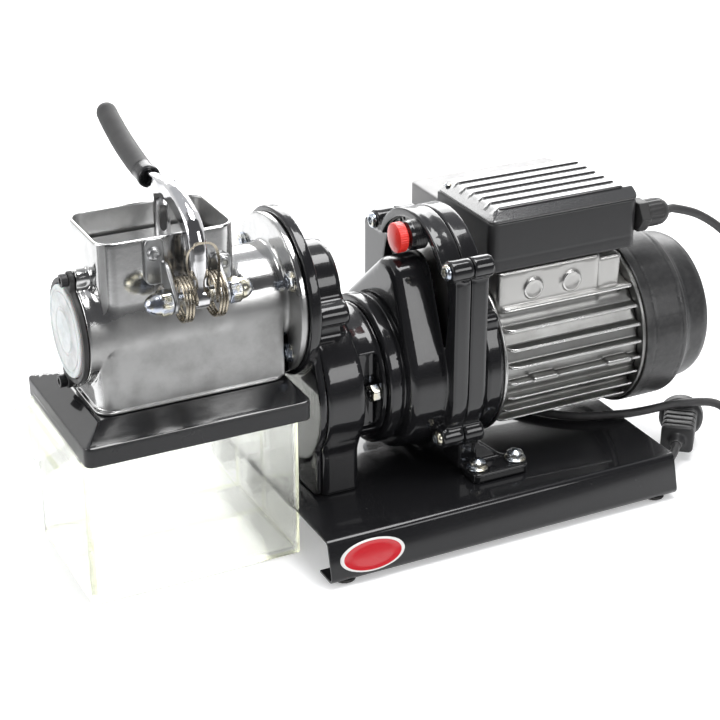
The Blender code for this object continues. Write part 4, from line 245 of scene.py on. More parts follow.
TAIL_ROUTE = [(0.307, 0.199, 0.0112), (0.3215, 0.172, 0.0065), (0.326, 0.130, 0.0042),
              (0.325, 0.070, 0.0042), (0.3195, 0.020, 0.0042), (0.306, -0.012, 0.0042),
              (0.2905, -0.038, 0.0042), (0.287, -0.062, 0.0045), (0.297, -0.081, 0.007),
              (0.3135, -0.0875, 0.0125)]
PLUG_END = Vector((0.335, -0.072, 0.0185))
PLUG_FACE = Vector((0.372, -0.028, 0.0195))
CORD_COLOUR = (0.035, 0.034, 0.035, 1)
CORD_SCUFFED = (0.055, 0.054, 0.054, 1)


class Finish(Nodes):
    """A surface finish: a Principled shader, its fixed sockets, and what varies over the surface."""

    def __init__(self, name, colour, roughness, metallic=0.0, **fixed):
        self.material = bpy.data.materials.new(name)
        self.material.use_nodes = True
        super().__init__(self.material.node_tree)
        self.shader = self.tree.nodes["Principled BSDF"]
        fixed = {key.replace("_", " ").title().replace("Ior", "IOR"): value for key, value in fixed.items()}
        fixed |= {"Base Color": (*colour[:3], 1), "Roughness": roughness, "Metallic": metallic}
        for key, value in fixed.items():
            self.shader.inputs[key].default_value = value
        self.place = self.node("TexCoord", output="Object")

    def cloud(self, scale, detail=3.0, roughness=0.5, stretch=(1, 1, 1)):
        """Soft noise of a size: scale is in spots to the metre."""
        spot = self.node("Mapping", values={"Vector": self.place, "Scale": stretch})
        return self.node("TexNoise", values={"Vector": spot, "Scale": scale, "Detail": detail,
                                             "Roughness": roughness})

    def cells(self, scale):
        """The distance from the middle of the nearest cell: scale is in cells to the metre."""
        return self.node("TexVoronoi", values={"Vector": self.place, "Scale": scale})

    def mottle(self, scale, detail, first, second):
        """Two colours that run into each other in soft spots."""
        return self.mix(self.cloud(scale, detail), (*first, 1), (*second, 1))

    def feed(self, **values):
        for key, value in values.items():
            self.tree.links.new(value.socket, self.shader.inputs[key.replace("_", " ").title()])
        return self

    def relief(self, height, distance, strength=1.0):
        """Bumps from a height between 0 and 1; distance is its real depth in metres."""
        bump = self.node("Bump", values={"Height": height, "Distance": distance, "Strength": strength})
        return self.feed(normal=bump)

    def edges(self):
        """Where a moulded piece's surface turns outward, from 0 on flats to 1 on edges."""
        return self.node("Attribute", {"attribute_name": "edge"}, output="Fac")


cord_finish = Finish("cord_sheath", CORD_COLOUR, 0.5)
scuff = cord_finish.cloud(90, 4)
cord_finish.feed(roughness=scuff * 0.25 + 0.38,
                 base_color=cord_finish.mix(scuff.between(0.45, 0.75), CORD_COLOUR, CORD_SCUFFED))
cord_finish.relief(cord_finish.cloud(1400, 2), 0.00008)


def smooth_path(points, spacing, straight=True):
    """Points at a spacing along a curve through a route. Straight ends keep their first runs."""
    route = [Vector(p) for p in points]
    if straight:
        ends, path = route, [route[0]]
    else:
        ends, path = [2 * route[0] - route[1]] + route + [2 * route[-1] - route[-2]], []
    dense = []
    for a, b, c, d in zip(ends, ends[1:], ends[2:], ends[3:]):
        for i in range(CURVE_STEPS):
            t = i / CURVE_STEPS
            dense.append(((2 * b) + (c - a) * t + (2 * a - 5 * b + 4 * c - d) * t ** 2
                          + (3 * b - a - 3 * c + d) * t ** 3) / 2)
    dense.append(ends[-2])
    total = sum((b - a).length for a, b in zip(dense, dense[1:]))
    count = max(2, round(total / spacing))
    path.append(dense[0])
    walked, target = 0.0, 1
    for a, b in zip(dense, dense[1:]):
        run = (b - a).length
        while run and target < count and walked + run >= total * target / count:
            path.append(a.lerp(b, (total * target / count - walked) / run))
            target += 1
        walked += run
    path.append(dense[-1])
    if straight:
        path.append(route[-1])
    return path


def tube(name, points, radius, finish, body, nodes, sides=4):
    """A round tube along points, as a curve piece on its body."""
    data = bpy.data.curves.new(name, "CURVE")
    data.dimensions = "3D"
    data.bevel_depth = radius
    data.bevel_resolution = sides
    data.use_fill_caps = True
    spline = data.splines.new("POLY")
    spline.points.add(len(points) - 1)
    spline.points.foreach_set("co", [v for p in points for v in (p[0] + left, p[1], p[2], 1)])
    data.materials.append(finish.material)
    piece = bpy.data.objects.new(name, data)
    bpy.context.scene.collection.objects.link(piece)
    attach(piece, body)
    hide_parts(*nodes)
    return piece


def coil_point(turns):
    """A place on the coil: it winds inward on the table, then outward on its own turns."""
    inward = COIL_TURNS / 2 - abs(turns - COIL_TURNS / 2)
    climb = min(1, max(0, 2 * (turns - COIL_TURNS / 2) + 0.5))
    radius = COIL_OUTER - COIL_PITCH * inward
    angle = pi - 2 * pi * turns
    return Vector((COIL_CENTRE[0] + radius * cos(angle), COIL_CENTRE[1] + radius * sin(angle),
                   COIL_FLOOR + COIL_LAYER * (1 - cos(pi * climb)) / 2))


coil = [coil_point(i / COIL_POINTS) for i in range(round(COIL_TURNS * COIL_POINTS) + 1)]
coil_in = (coil[1] - coil[0]).normalized()
coil_out = (coil[-1] - coil[-2]).normalized()
plug_axis = (PLUG_FACE - PLUG_END).normalized()
cord_route = ([Vector(p) for p in LEAD_ROUTE] + [coil[0] - coil_in * 4 * CORD_RADIUS] + coil
              + [coil[-1] + coil_out * 4 * CORD_RADIUS] + [Vector(p) for p in TAIL_ROUTE]
              + [PLUG_END - plug_axis * 2 * CORD_RADIUS, PLUG_END])
cord_path = smooth_path(cord_route, CORD_SPACING)
cord = tube("flex_cord", cord_path, CORD_RADIUS, cord_finish, "machine",
            ("cord_lead", "cord_coil", "cord_tail"), sides=5)
cord_length = sum((b - a).length for a, b in zip(cord_path, cord_path[1:]))

# Plug: a moulded black body with finger grooves, a wide cup at the pins and a short sleeve on the cord.
# The grooves' edges carry a painted highlight, a paler grey. It lies on the table with the cord crossing over
# it.
PLUG_SLEEVE = 0.0115
PLUG_CUP = 0.011
PLUG_CUP_RADIUS = 0.0185
PLUG_HALF = 0.0135
PLUG_HALF_HEIGHT = 0.0115
PLUG_CORNER = 0.004
PLUG_OVERLAP = 0.002
PLUG_GROOVES = 4
PLUG_GROOVE_DEPTH = 0.0018
PLUG_GROOVE_HALF = 0.0011
PLUG_CELL = 0.0004
PLUG_BLACK = (0.022, 0.022, 0.023, 1)
PLUG_EDGE_HIGHLIGHT = (0.20, 0.195, 0.19, 1)


def low_of(a, b, fillet):
    """The nearer of two shapes, with a fillet where they meet."""
    if not fillet:
        return np.minimum(a, b)
    near = np.maximum(fillet - np.abs(a - b), 0)
    return np.minimum(a, b) - near * near / (4 * fillet)


def disc(a, b, centre, radius):
    return np.hypot(a - centre[0], b - centre[1]) - radius


def plate(a, b, centre, half_a, half_b, corner):
    """A rectangle with round corners."""
    over_a = np.abs(a - centre[0]) - half_a + corner
    over_b = np.abs(b - centre[1]) - half_b + corner
    return (np.minimum(np.maximum(over_a, over_b), 0)
            + np.hypot(np.maximum(over_a, 0), np.maximum(over_b, 0)) - corner)


def strap(a, b, low, low_radius, high, high_radius):
    """Two circles and the straight sides that touch both."""
    along_a, along_b = high[0] - low[0], high[1] - low[1]
    run = along_a ** 2 + along_b ** 2
    side = np.abs((a - low[0]) * along_b - (b - low[1]) * along_a) / run
    rise = ((a - low[0]) * along_a + (b - low[1]) * along_b) / run
    slope = low_radius - high_radius
    lean = sqrt(run - slope ** 2)
    turn = lean * rise - slope * side
    flat = lean * side + slope * rise
    spread = side ** 2 + rise ** 2
    return np.where(turn < 0, np.sqrt(run * spread) - low_radius,
                    np.where(turn > lean, np.sqrt(run * np.maximum(spread + 1 - 2 * rise, 0)) - high_radius,
                             flat - low_radius))


def template(a, b, corners):
    """A closed outline through corners."""
    nearest, inside = None, None
    for (a0, b0), (a1, b1) in zip(corners, corners[1:] + corners[:1]):
        run_a, run_b = a1 - a0, b1 - b0
        share = np.clip(((a - a0) * run_a + (b - b0) * run_b) / (run_a ** 2 + run_b ** 2), 0, 1)
        gap = (a - a0 - run_a * share) ** 2 + (b - b0 - run_b * share) ** 2
        nearest = gap if nearest is None else np.minimum(nearest, gap)
        if run_b:
            crossed = ((b0 > b) != (b1 > b)) & (a < run_a * (b - b0) / run_b + a0)
            inside = crossed if inside is None else inside ^ crossed
    return np.where(inside, -1, 1) * np.sqrt(nearest)


def pressed(flat, along, start, end, rounding=0.0):
    """A flat shape given thickness along an axis, with rounded rims."""
    over = np.abs(along - (start + end) / 2) - (end - start) / 2 + rounding
    flat = flat + rounding
    outside = np.hypot(np.maximum(flat, 0), np.maximum(over, 0))
    return np.minimum(np.maximum(flat, over), 0) + outside - rounding


def span(*nodes):
    """The lowest and highest corners of CAD nodes, measured from the base's left end."""
    boxes = [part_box(node) for node in nodes]
    shift = np.array((left, 0, 0))
    return (np.min([np.array(low) for low, high in boxes], 0) - shift,
            np.max([np.array(high) for low, high in boxes], 0) - shift)


class Mould:
    """A space where a shape is laid up from distances, which are below zero inside it, and skinned."""

    def __init__(self, low, high, cell):
        self.cell = cell * 1
        self.low = np.array(low) - 4 * self.cell
        counts = np.ceil((np.array(high) + 4 * self.cell - self.low) / self.cell).astype(int) + 1
        lines = [(self.low[i] + self.cell * np.arange(counts[i])).astype(np.float32) for i in range(3)]
        self.x, self.y, self.z = np.meshgrid(*lines, indexing="ij", sparse=True)
        self.depth = np.full(counts, 1, np.float32)

    def add(self, shape, fillet=0.0):
        self.depth = low_of(self.depth, shape, fillet).astype(np.float32)

    def carve(self, shape, fillet=0.0):
        self.depth = -low_of(-self.depth, shape, fillet).astype(np.float32)

    def trim(self, shape):
        """Cuts away all that lies outside a shape."""
        self.depth = np.maximum(self.depth, shape).astype(np.float32)

    def rod(self, centre, radius, start, end, rounding=0.0):
        """A round bar along X."""
        return pressed(disc(self.y, self.z, centre, radius), self.x, start, end, rounding)

    def belt(self, low, low_radius, high, high_radius, start, end, rounding=0.0):
        """A bar along X whose section is a strap round two circles."""
        flat = strap(self.y, self.z, low, low_radius, high, high_radius)
        return pressed(flat, self.x, start, end, rounding)

    def spun(self, profile, centre):
        """A profile of (along, radius) corners turned about an axis along X."""
        reach = np.hypot(self.y - centre[0], self.z - centre[1])[0]
        pitch = self.cell / 2
        rings = (np.arange(reach.max() / pitch + 3) * pitch).astype(np.float32)
        flat = template(self.x[:, :, 0], rings[None, :], profile).astype(np.float32)
        index = (reach / pitch).astype(int)
        share = (reach / pitch - index).astype(np.float32)
        return flat[:, index] * (1 - share) + flat[:, index + 1] * share

    def ease(self, passes):
        """Tumbles the shape: every edge and corner is rounded a little more with each pass."""
        for _ in range(passes):
            for axis in range(3):
                d = np.moveaxis(self.depth, axis, 0)
                d[1:-1] = (d[:-2] + 2 * d[1:-1] + d[2:]) / 4

    def at(self, places):
        """The distance at places, between the space's own points."""
        grid = (places - self.low) / self.cell
        corner = np.clip(np.floor(grid).astype(int), 0, np.array(self.depth.shape) - 2)
        part = grid - corner
        found = 0
        for step in np.ndindex(2, 2, 2):
            weight = np.prod(np.where(step, part, 1 - part), axis=1)
            found = found + weight * self.depth[tuple((corner + step).T)]
        return found

    def skin(self, name, flatness=0.05):
        """The shape's surface as a mesh with true normals, and how sharply it turns outward."""
        grid = openvdb.FloatGrid(1.0)
        grid.copyFromArray(self.depth)
        points, triangles, quads = grid.convertToPolygons(isovalue=0.0, adaptivity=flatness)
        points = points * self.cell + self.low
        reach = self.cell * 0.8
        turn = -6 * self.at(points)
        normals = np.zeros_like(points)
        for axis in range(3):
            step = np.zeros(3)
            step[axis] = reach
            ahead, back = self.at(points + step), self.at(points - step)
            normals[:, axis] = ahead - back
            turn += ahead + back
        normals /= np.linalg.norm(normals, axis=1)[:, None] + 1e-12
        faces = [tuple(face[::-1]) for face in triangles.tolist() + quads.tolist()]
        mesh = bpy.data.meshes.new(name)
        mesh.from_pydata(points.tolist(), [], faces)
        mesh.validate()
        first = mesh.polygons[0]
        if first.normal.dot(Vector(normals[first.vertices[0]])) < 0:
            mesh.flip_normals()
        mesh.shade_smooth()
        mesh.normals_split_custom_set_from_vertices(normals.tolist())
        edge = mesh.attributes.new("edge", "FLOAT", "POINT")
        edge.data.foreach_set("value", np.clip(turn / reach, 0, 1).astype(np.float32))
        return mesh


def fit(name, mesh, finish, body, nodes=()):
    """Puts a finished mesh on its body in place of CAD nodes."""
    mesh.transform(Matrix.Translation((left, 0, 0)))
    mesh.materials.append(finish.material)
    piece = bpy.data.objects.new(name, mesh)
    bpy.context.scene.collection.objects.link(piece)
    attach(piece, body)
    if nodes:
        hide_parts(*nodes)
    return piece


plug_length = (PLUG_FACE - PLUG_END).length
plug_mould = Mould((0, -PLUG_CUP_RADIUS, -PLUG_CUP_RADIUS), (plug_length, PLUG_CUP_RADIUS, PLUG_CUP_RADIUS),
                   PLUG_CELL)
body_end = plug_length - PLUG_CUP
plug_mould.add(pressed(plate(plug_mould.y, plug_mould.z, (0, 0), PLUG_HALF, PLUG_HALF_HEIGHT, PLUG_CORNER),
                       plug_mould.x, PLUG_SLEEVE - PLUG_OVERLAP, body_end + PLUG_OVERLAP, 0.002))
core = plate(plug_mould.y, plug_mould.z, (0, 0), PLUG_HALF - PLUG_GROOVE_DEPTH,
             PLUG_HALF_HEIGHT - PLUG_GROOVE_DEPTH, 0.003)
for i in range(PLUG_GROOVES):
    groove = PLUG_SLEEVE + (body_end - PLUG_SLEEVE) * (i + 0.75) / (PLUG_GROOVES + 0.5)
    plug_mould.carve(pressed(-core, plug_mould.x, groove - PLUG_GROOVE_HALF, groove + PLUG_GROOVE_HALF))
plug_mould.add(plug_mould.spun([(body_end - 0.001, 0), (body_end, PLUG_CUP_RADIUS - 0.0025),
                                (body_end + 0.003, PLUG_CUP_RADIUS), (plug_length, PLUG_CUP_RADIUS),
                                (plug_length, PLUG_CUP_RADIUS - 0.002),
                                (body_end + 0.004, PLUG_CUP_RADIUS - 0.002), (body_end + 0.004, 0)],
                               (0, 0)), 0.001)
plug_mould.add(plug_mould.spun([(0, 0), (0, CORD_RADIUS + 0.001), (PLUG_SLEEVE, CORD_RADIUS + 0.004),
                                (PLUG_SLEEVE + 0.002, 0)], (0, 0)), 0.002)
plug_mould.ease(2)
plug_mesh = plug_mould.skin("plug_moulding")
plug_turn = (PLUG_FACE - PLUG_END).to_track_quat("X", "Z").to_matrix().to_4x4()
plug_mesh.transform(Matrix.Translation(PLUG_END) @ plug_turn)
plug_finish = Finish("moulded_plug", (0.025, 0.025, 0.026), 0.42)
# Painted highlight: the plug's edges are painted a paler grey.
plug_finish.feed(base_color=plug_finish.mix(plug_finish.edges().between(0.15, 0.7), PLUG_BLACK, PLUG_EDGE_HIGHLIGHT),
                 roughness=plug_finish.cloud(300, 3) * 0.2 + 0.34)
plug_finish.relief(plug_finish.cloud(2200, 2), 0.00006)
plug = fit("plug_moulding", plug_mesh, plug_finish, "machine", ("plug",))
cord_path[0] + Vector((left, 0, 0))

# Base: one sheet of steel folded into a channel with leaning walls and inward lips, painted gloss black.
# It stands on four rubber pads. A plain oval label is stuck on its front wall.
BASE_LENGTH = 0.305
BASE_TOP_HALF = 0.1088
BASE_LEAN = 0.0088
BASE_LIP = 0.022
BASE_LIP_Z = 0.0043
BASE_TOP_Z = 0.035
SHEET = 0.002
FOLD_RADIUS = 0.004
FOLD_STEPS = 8
LABEL_X = 0.0345
LABEL_HALF_LENGTH = 0.0265
LABEL_HALF_WIDTH = 0.0122
LABEL_SIDES = 64
LABEL_RINGS = ((0, 1.0), (0.0004, 1.0), (0.0007, 0.97), (0.0007, 0.90), (0.0006, 0.88), (0.0009, 0.6))
LABEL_RIM = (0.885, 0.90)
LABEL_RED = (0.52, 0.010, 0.018, 1)
LABEL_WHITE = (0.75, 0.74, 0.72, 1)
PAINT_BLACK = (0.010, 0.010, 0.011, 1)
PAINT_SPECK = (0.045, 0.044, 0.043, 1)
PAD_BLACK = (0.015, 0.015, 0.015, 1)
PAD_WORN = (0.05, 0.048, 0.045, 1)


def folded(corners, radius, steps):
    """A run of corners, each inner one rounded to a radius."""
    path = [Vector(corners[0])]
    for before, corner, after in zip(corners, corners[1:], corners[2:]):
        corner = Vector(corner)
        into, out = (Vector(before) - corner).normalized(), (Vector(after) - corner).normalized()
        half = acos(max(-1, min(1, into.dot(out)))) / 2
        reach = radius / tan(half)
        start, end = corner + into * reach, corner + out * reach
        bisector = (into + out).normalized() * (radius / sin(half))
        centre = corner + bisector
        first, last = start - centre, end - centre
        turn = first.angle_signed(last)
        path += [centre + Matrix.Rotation(-turn * i / steps, 2) @ first for i in range(steps + 1)]
    return path + [Vector(corners[-1])]


def sheet_outline(path, thickness):
    """The two faces of a bent sheet, as one closed outline."""
    sides = ([], [])
    for i, point in enumerate(path):
        run = (path[min(i + 1, len(path) - 1)] - path[max(i - 1, 0)]).normalized()
        normal = Vector((-run.y, run.x)) * thickness / 2
        sides[0].append(point + normal)
        sides[1].append(point - normal)
    return sides[0] + sides[1][::-1]


def prism(outline, low, high, axis="X"):
    """A closed outline pushed along an axis."""
    order = {"X": lambda a, b, c: (c, a, b), "Y": lambda a, b, c: (a, c, b)}[axis]
    bm = bmesh.new()
    face = bm.faces.new([bm.verts.new(order(a, b, low)) for a, b in outline])
    moved = [item for item in bmesh.ops.extrude_face_region(bm, geom=[face])["geom"]
             if isinstance(item, bmesh.types.BMVert)]
    bmesh.ops.translate(bm, verts=moved, vec=order(0, 0, high - low))
    bmesh.ops.recalc_face_normals(bm, faces=bm.faces)
    return bm


def made(bm, name, rounding=0.0, sharp=0.6):
    """A bmesh as a smooth mesh, its sharp edges broken to a radius."""
    if rounding:
        edges = [e for e in bm.edges if len(e.link_faces) == 2 and e.calc_face_angle() > sharp]
        bmesh.ops.bevel(bm, geom=edges, offset=rounding, offset_type="OFFSET", segments=3, profile=0.5,
                        affect="EDGES", clamp_overlap=True)
    mesh = bpy.data.meshes.new(name)
    bm.to_mesh(mesh)
    bm.free()
    mesh.shade_smooth()
    mesh.set_sharp_from_angle(angle=sharp)
    return mesh


gloss = Finish("gloss_black_paint", (0.011, 0.011, 0.012), 0.2, coat_weight=0.6, coat_roughness=0.04,
               specular_ior_level=0.2)
gloss.feed(roughness=gloss.cloud(14, 5, 0.6) * 0.22 + 0.10,
           base_color=gloss.mix(gloss.cloud(420, 2).between(0.70, 0.82), PAINT_BLACK, PAINT_SPECK))
gloss.relief(gloss.cloud(420, 2, 0.4), 0.00005, 0.7)
foot_half = BASE_TOP_HALF + BASE_LEAN
base_corners = [(BASE_LIP - foot_half, BASE_LIP_Z), (-foot_half, BASE_LIP_Z), (-BASE_TOP_HALF, BASE_TOP_Z),
                (BASE_TOP_HALF, BASE_TOP_Z), (foot_half, BASE_LIP_Z), (foot_half - BASE_LIP, BASE_LIP_Z)]
base_bm = prism(sheet_outline(folded(base_corners, FOLD_RADIUS, FOLD_STEPS), SHEET), 0, BASE_LENGTH)
fit("folded_base", made(base_bm, "folded_base", 0.0004, 0.7), gloss, "machine", ("base_channel",))
pad_finish = Finish("pad_rubber", (0.018, 0.018, 0.018), 0.85)
pad_finish.relief(pad_finish.cloud(900, 3), 0.0002)
pad_finish.feed(base_color=pad_finish.mix(pad_finish.cloud(120, 3).between(0.4, 0.8), PAD_BLACK, PAD_WORN))
for i in range(4):
    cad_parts[f"foot_pad_{i + 1}"].data.materials[0] = pad_finish.material

# The label is a thin domed oval with a pale rim, tilted with the wall that it is stuck on
label_lean = atan2(BASE_LEAN, BASE_TOP_Z - BASE_LIP_Z)
label_bm = bmesh.new()
label_turns = [2 * pi * i / LABEL_SIDES for i in range(LABEL_SIDES)]
label_rings = [[label_bm.verts.new((LABEL_HALF_LENGTH * share * cos(turn),
                                    LABEL_HALF_WIDTH * share * sin(turn), height)) for turn in label_turns]
               for height, share in LABEL_RINGS]
for low, high in zip(label_rings, label_rings[1:]):
    for i in range(LABEL_SIDES):
        j = (i + 1) % LABEL_SIDES
        label_bm.faces.new((low[i], low[j], high[j], high[i]))
label_bm.faces.new(label_rings[-1])
label_bm.faces.new(label_rings[0][::-1])
label_mesh = made(label_bm, "oval_label", 0, 1.2)
wall_middle = Vector((LABEL_X, -(BASE_TOP_HALF + BASE_LEAN / 2) - SHEET / 2,
                      (BASE_TOP_Z + BASE_LIP_Z) / 2))
label_mesh.transform(Matrix.Translation(wall_middle) @ Matrix.Rotation(pi / 2 - label_lean, 4, "X"))
label_finish = Finish("label_enamel", (0.55, 0.012, 0.02), 0.22, coat_weight=0.7, coat_roughness=0.05)
label_spot = label_finish.split(label_finish.place)
oval = (((label_spot[0] - (LABEL_X + left)) / LABEL_HALF_LENGTH) ** 2
        + ((label_spot[2] - wall_middle.z) / (LABEL_HALF_WIDTH * cos(label_lean))) ** 2) ** 0.5
label_finish.feed(base_color=label_finish.mix(oval.between(*LABEL_RIM), LABEL_RED, LABEL_WHITE),
                  roughness=label_finish.cloud(500, 3) * 0.15 + 0.15)
fit("oval_label", label_mesh, label_finish, "machine")

# Gearbox: two castings in gloss black enamel, parted by a thin line. The cover bulges over the gears under
# a dome that stands off to the front, and four screws pull it to the case, whose feet are bolted to the base.
CASTING_CELL = 0.0008
AXIS = (0, 0.113)
DOME = (-0.012, 0.1804)
DOME_RADIUS = 0.0595
DOME_RIM = 0.007
SHOULDER_Z = 0.206
BODY_HALF = 0.0755
BODY_DEPTH = 0.072
OUTLINE_STEPS = 40
COVER_X = (0.122, 0.135)
CASE_X = (0.1353, 0.150)
BULGE_X = (0.092, 0.123)
BULGE_RADIUS = 0.066
BULGE_TOP = (-0.018, 0.188)
BULGE_TOP_RADIUS = 0.020
BULGE_DRAFT = 0.06
SHAFT_BORE = 0.0093
WHEEL_ROOM = 0.056
IDLER_ROOM = 0.052
PINION_ROOM = 0.012
LUGS = ((-0.0715, 0.2125), (0.0475, 0.2125), (-0.0635, 0.0725), (0.0635, 0.0725))
LUG_RADIUS = 0.0085
LUG_FRONT = 0.117
LUG_REAR = 0.1525
STUD_Y = 0.044
STUD_RADIUS = 0.0035
FOOT_MIDDLE = (0.16225, 0.0725)
FOOT_HALF = (0.02425, 0.0115)
FOOT_Z = (0.0363, 0.0443)
GUSSET_Y = 0.0615
GUSSET_HALF = 0.0022
BOSS = (-0.050, 0.1565)
BOSS_RADIUS = 0.0065
BOLT_X = (0.146, 0.180)
BOLT_HOLE = 0.0042


def arc(centre, radius, start, end, steps):
    turns = [start + (end - start) * i / steps for i in range(steps + 1)]
    return [(centre[0] + radius * cos(turn), centre[1] + radius * sin(turn)) for turn in turns]


def hexed(a, b, radius, turn=0.0):
    """A hexagon round the origin, its radius taken to the corners."""
    sides = [a * cos(turn + pi * (i + 0.5) / 3) + b * sin(turn + pi * (i + 0.5) / 3) for i in range(6)]
    return np.max(np.broadcast_arrays(*sides), 0) - radius * cos(pi / 6)


def again(mesh, name, place, finish, body, nodes=()):
    """Puts a copy of a small mesh at a place."""
    copy = mesh.copy()
    copy.name = name
    copy.materials.clear()
    copy.transform(Matrix.Translation(place))
    return fit(name, copy, finish, body, nodes)


def cast(name, mould, finish, body, node, passes=1):
    """Tumbles a shape, skins it and puts it on its body in place of its CAD node."""
    mould.ease(passes)
    return fit(name, mould.skin(name), finish, body, (node,))


shoulder = asin((SHOULDER_Z - DOME[1]) / DOME_RADIUS)
belly = [pi + pi * i / OUTLINE_STEPS for i in range(OUTLINE_STEPS + 1)]
gearbox_outline = ([(BODY_HALF * cos(turn), AXIS[1] + BODY_DEPTH * sin(turn)) for turn in belly]
                   + [(BODY_HALF, SHOULDER_Z - 0.004), (BODY_HALF - 0.002, SHOULDER_Z)]
                   + arc(DOME, DOME_RADIUS, shoulder, pi - shoulder, OUTLINE_STEPS)
                   + [(0.002 - BODY_HALF, SHOULDER_Z), (-BODY_HALF, SHOULDER_Z - 0.004)])
ENAMEL_BLACK = (0.010, 0.010, 0.011, 1)
ENAMEL_WEAR_AND_SHEEN = (0.09, 0.088, 0.085, 1)
enamel = Finish("gearbox_enamel", ENAMEL_BLACK, 0.16, coat_weight=0.8, coat_roughness=0.03,
                specular_ior_level=0.2)
dust = enamel.cloud(30, 5, 0.6)
# Edges are painted paler in random patches, partly as wear and partly as a painted sheen; they are rougher
# there too.
wear_and_sheen = (enamel.edges() * (enamel.cloud(160, 4) * 1.5)).between(0.35, 1.0)
enamel.feed(roughness=dust * 0.25 + wear_and_sheen * 0.2 + 0.06,
            base_color=enamel.mix(wear_and_sheen * 0.5, ENAMEL_BLACK, ENAMEL_WEAR_AND_SHEEN))
enamel.relief(enamel.cloud(260, 2, 0.4), 0.00009, 0.8)

low, high = span("gearbox_cover")
cover = Mould(low, high, CASTING_CELL)
cover.add(pressed(template(cover.y, cover.z, gearbox_outline), cover.x, *COVER_X, 0.0012))
bulge = strap(cover.y, cover.z, AXIS, BULGE_RADIUS, BULGE_TOP, BULGE_TOP_RADIUS)
cover.add(pressed(bulge - (cover.x - BULGE_X[0]) * BULGE_DRAFT, cover.x, *BULGE_X, 0.0065), 0.004)
cover.add(cover.spun([(0.0778, 0), (0.0778, 0.057), (0.0793, 0.059), (0.0878, 0.059), (0.0888, 0.0565),
                      (0.094, 0.056), (0.094, 0)], AXIS), 0.0008)
dome_side = disc(cover.y, cover.z, DOME, DOME_RADIUS)
ring = np.maximum(dome_side, -disc(cover.y, cover.z, DOME, DOME_RADIUS - DOME_RIM))
cover.add(pressed(np.maximum(ring, SHOULDER_Z - cover.z), cover.x, LUG_FRONT, BULGE_X[1], 0.001), 0.002)
for lug in LUGS:
    cover.add(cover.rod(lug, LUG_RADIUS, LUG_FRONT, COVER_X[1], 0.0014), 0.003)
for side in (-1, 1):
    cover.add(cover.rod((side * STUD_Y, AXIS[1]), STUD_RADIUS, low[0], 0.08))
cover.carve(cover.rod(AXIS, SHAFT_BORE, 0.07, 0.14))
cover.carve(cover.belt(AXIS, WHEEL_ROOM, DOME, PINION_ROOM, 0.096, 0.136))
cover.carve(cover.belt(AXIS, WHEEL_ROOM, DOME, IDLER_ROOM, 0.1225, 0.136))
cast("cover_casting", cover, enamel, "machine", "gearbox_cover")

case = Mould(*span("gearbox_case"), CASTING_CELL)
case.add(pressed(template(case.y, case.z, gearbox_outline), case.x, *CASE_X, 0.0012))
for side in (-1, 1):
    web = template(case.y * side, case.z, [(0.035, 0.075), (0.035, 0.046), (0.044, 0.0405), (0.062, 0.0405),
                                           (0.062, 0.080)])
    case.add(pressed(web, case.x, CASE_X[0], 0.149, 0.001), 0.004)
    foot = plate(case.x, case.y, (FOOT_MIDDLE[0], side * FOOT_MIDDLE[1]), *FOOT_HALF, 0.005)
    case.add(pressed(foot, case.z, *FOOT_Z, 0.0012), 0.0035)
    gusset = template(case.x, case.z, [(0.148, 0.043), (0.176, 0.043), (0.150, 0.064), (0.148, 0.064)])
    gusset_y = side * GUSSET_Y
    case.add(pressed(gusset, case.y, gusset_y - GUSSET_HALF, gusset_y + GUSSET_HALF, 0.001), 0.003)
case.add(case.spun([(0.149, 0), (0.149, 0.064), (0.1535, 0.064), (0.158, 0.068), (0.171, 0.068),
                    (0.171, 0.054), (0.156, 0.054), (0.156, 0)], AXIS), 0.002)
for lug in LUGS:
    case.add(case.rod(lug, LUG_RADIUS, 0.1356, LUG_REAR, 0.0014), 0.003)
case.add(case.rod(BOSS, BOSS_RADIUS, 0.149, 0.171, 0.001), 0.003)
case.carve(case.rod(AXIS, SHAFT_BORE, 0.13, 0.16))
case.carve(case.belt(AXIS, WHEEL_ROOM, DOME, IDLER_ROOM, 0.134, 0.1395))
for x in BOLT_X:
    for side in (-1, 1):
        case.carve(pressed(disc(case.x, case.y, (x, side * FOOT_MIDDLE[1]), BOLT_HOLE), case.z, 0.03, 0.05))
cast("case_casting", case, enamel, "machine", "gearbox_case")

# Gearbox screws, foot bolts and their nuts: zinc-plated steel with a thin bluish and yellowish film.
# The screws have button heads with a six-sided socket; the bolts have a pressed flange.
SCREW_RADIUS = 0.0062
SCREW_HEIGHT = 0.0037
SCREW_SOCKET = 0.0034
BOLT_RADIUS = 0.004
BOLT_FLANGE = 0.0085
BOLT_HEAD = 0.0062
BOLT_HEX = 0.0068
BOLT_END = -0.0177
BOLT_NUT = (-0.0167, -0.0112)
BOLT_SEAT = 0.0446
ZINC_BLUE = (0.50, 0.55, 0.63, 1)
ZINC_YELLOW = (0.66, 0.62, 0.50, 1)
zinc = Finish("zinc_plating", (0.56, 0.59, 0.63), 0.26, 1.0)
film = zinc.cloud(70, 3)
zinc.feed(base_color=zinc.mix(film.between(0.42, 0.62), ZINC_BLUE, ZINC_YELLOW),
          roughness=zinc.cloud(420, 3) * 0.22 + 0.14 - zinc.edges() * 0.06)
zinc.relief(zinc.cloud(1500, 2), 0.00003)
screw = Mould((-SCREW_HEIGHT, -SCREW_RADIUS, -SCREW_RADIUS), (0, SCREW_RADIUS, SCREW_RADIUS), 0.00025)
screw.add(screw.spun([(-0.0034, 0), (-0.0034, 0.0036), (-0.0029, 0.0050), (-0.0018, 0.0060),
                      (0, SCREW_RADIUS), (0, 0)], (0, 0)))
screw.carve(pressed(hexed(screw.y, screw.z, SCREW_SOCKET), screw.x, -0.005, -0.0012))
screw.ease(1)
screw_mesh = screw.skin("screw_head")
for i, (y, z) in enumerate(LUGS):
    again(screw_mesh, f"cover_screw_{i + 1}", (0.1167, y, z), zinc, "machine", (f"gearbox_screw_{i + 1}",))
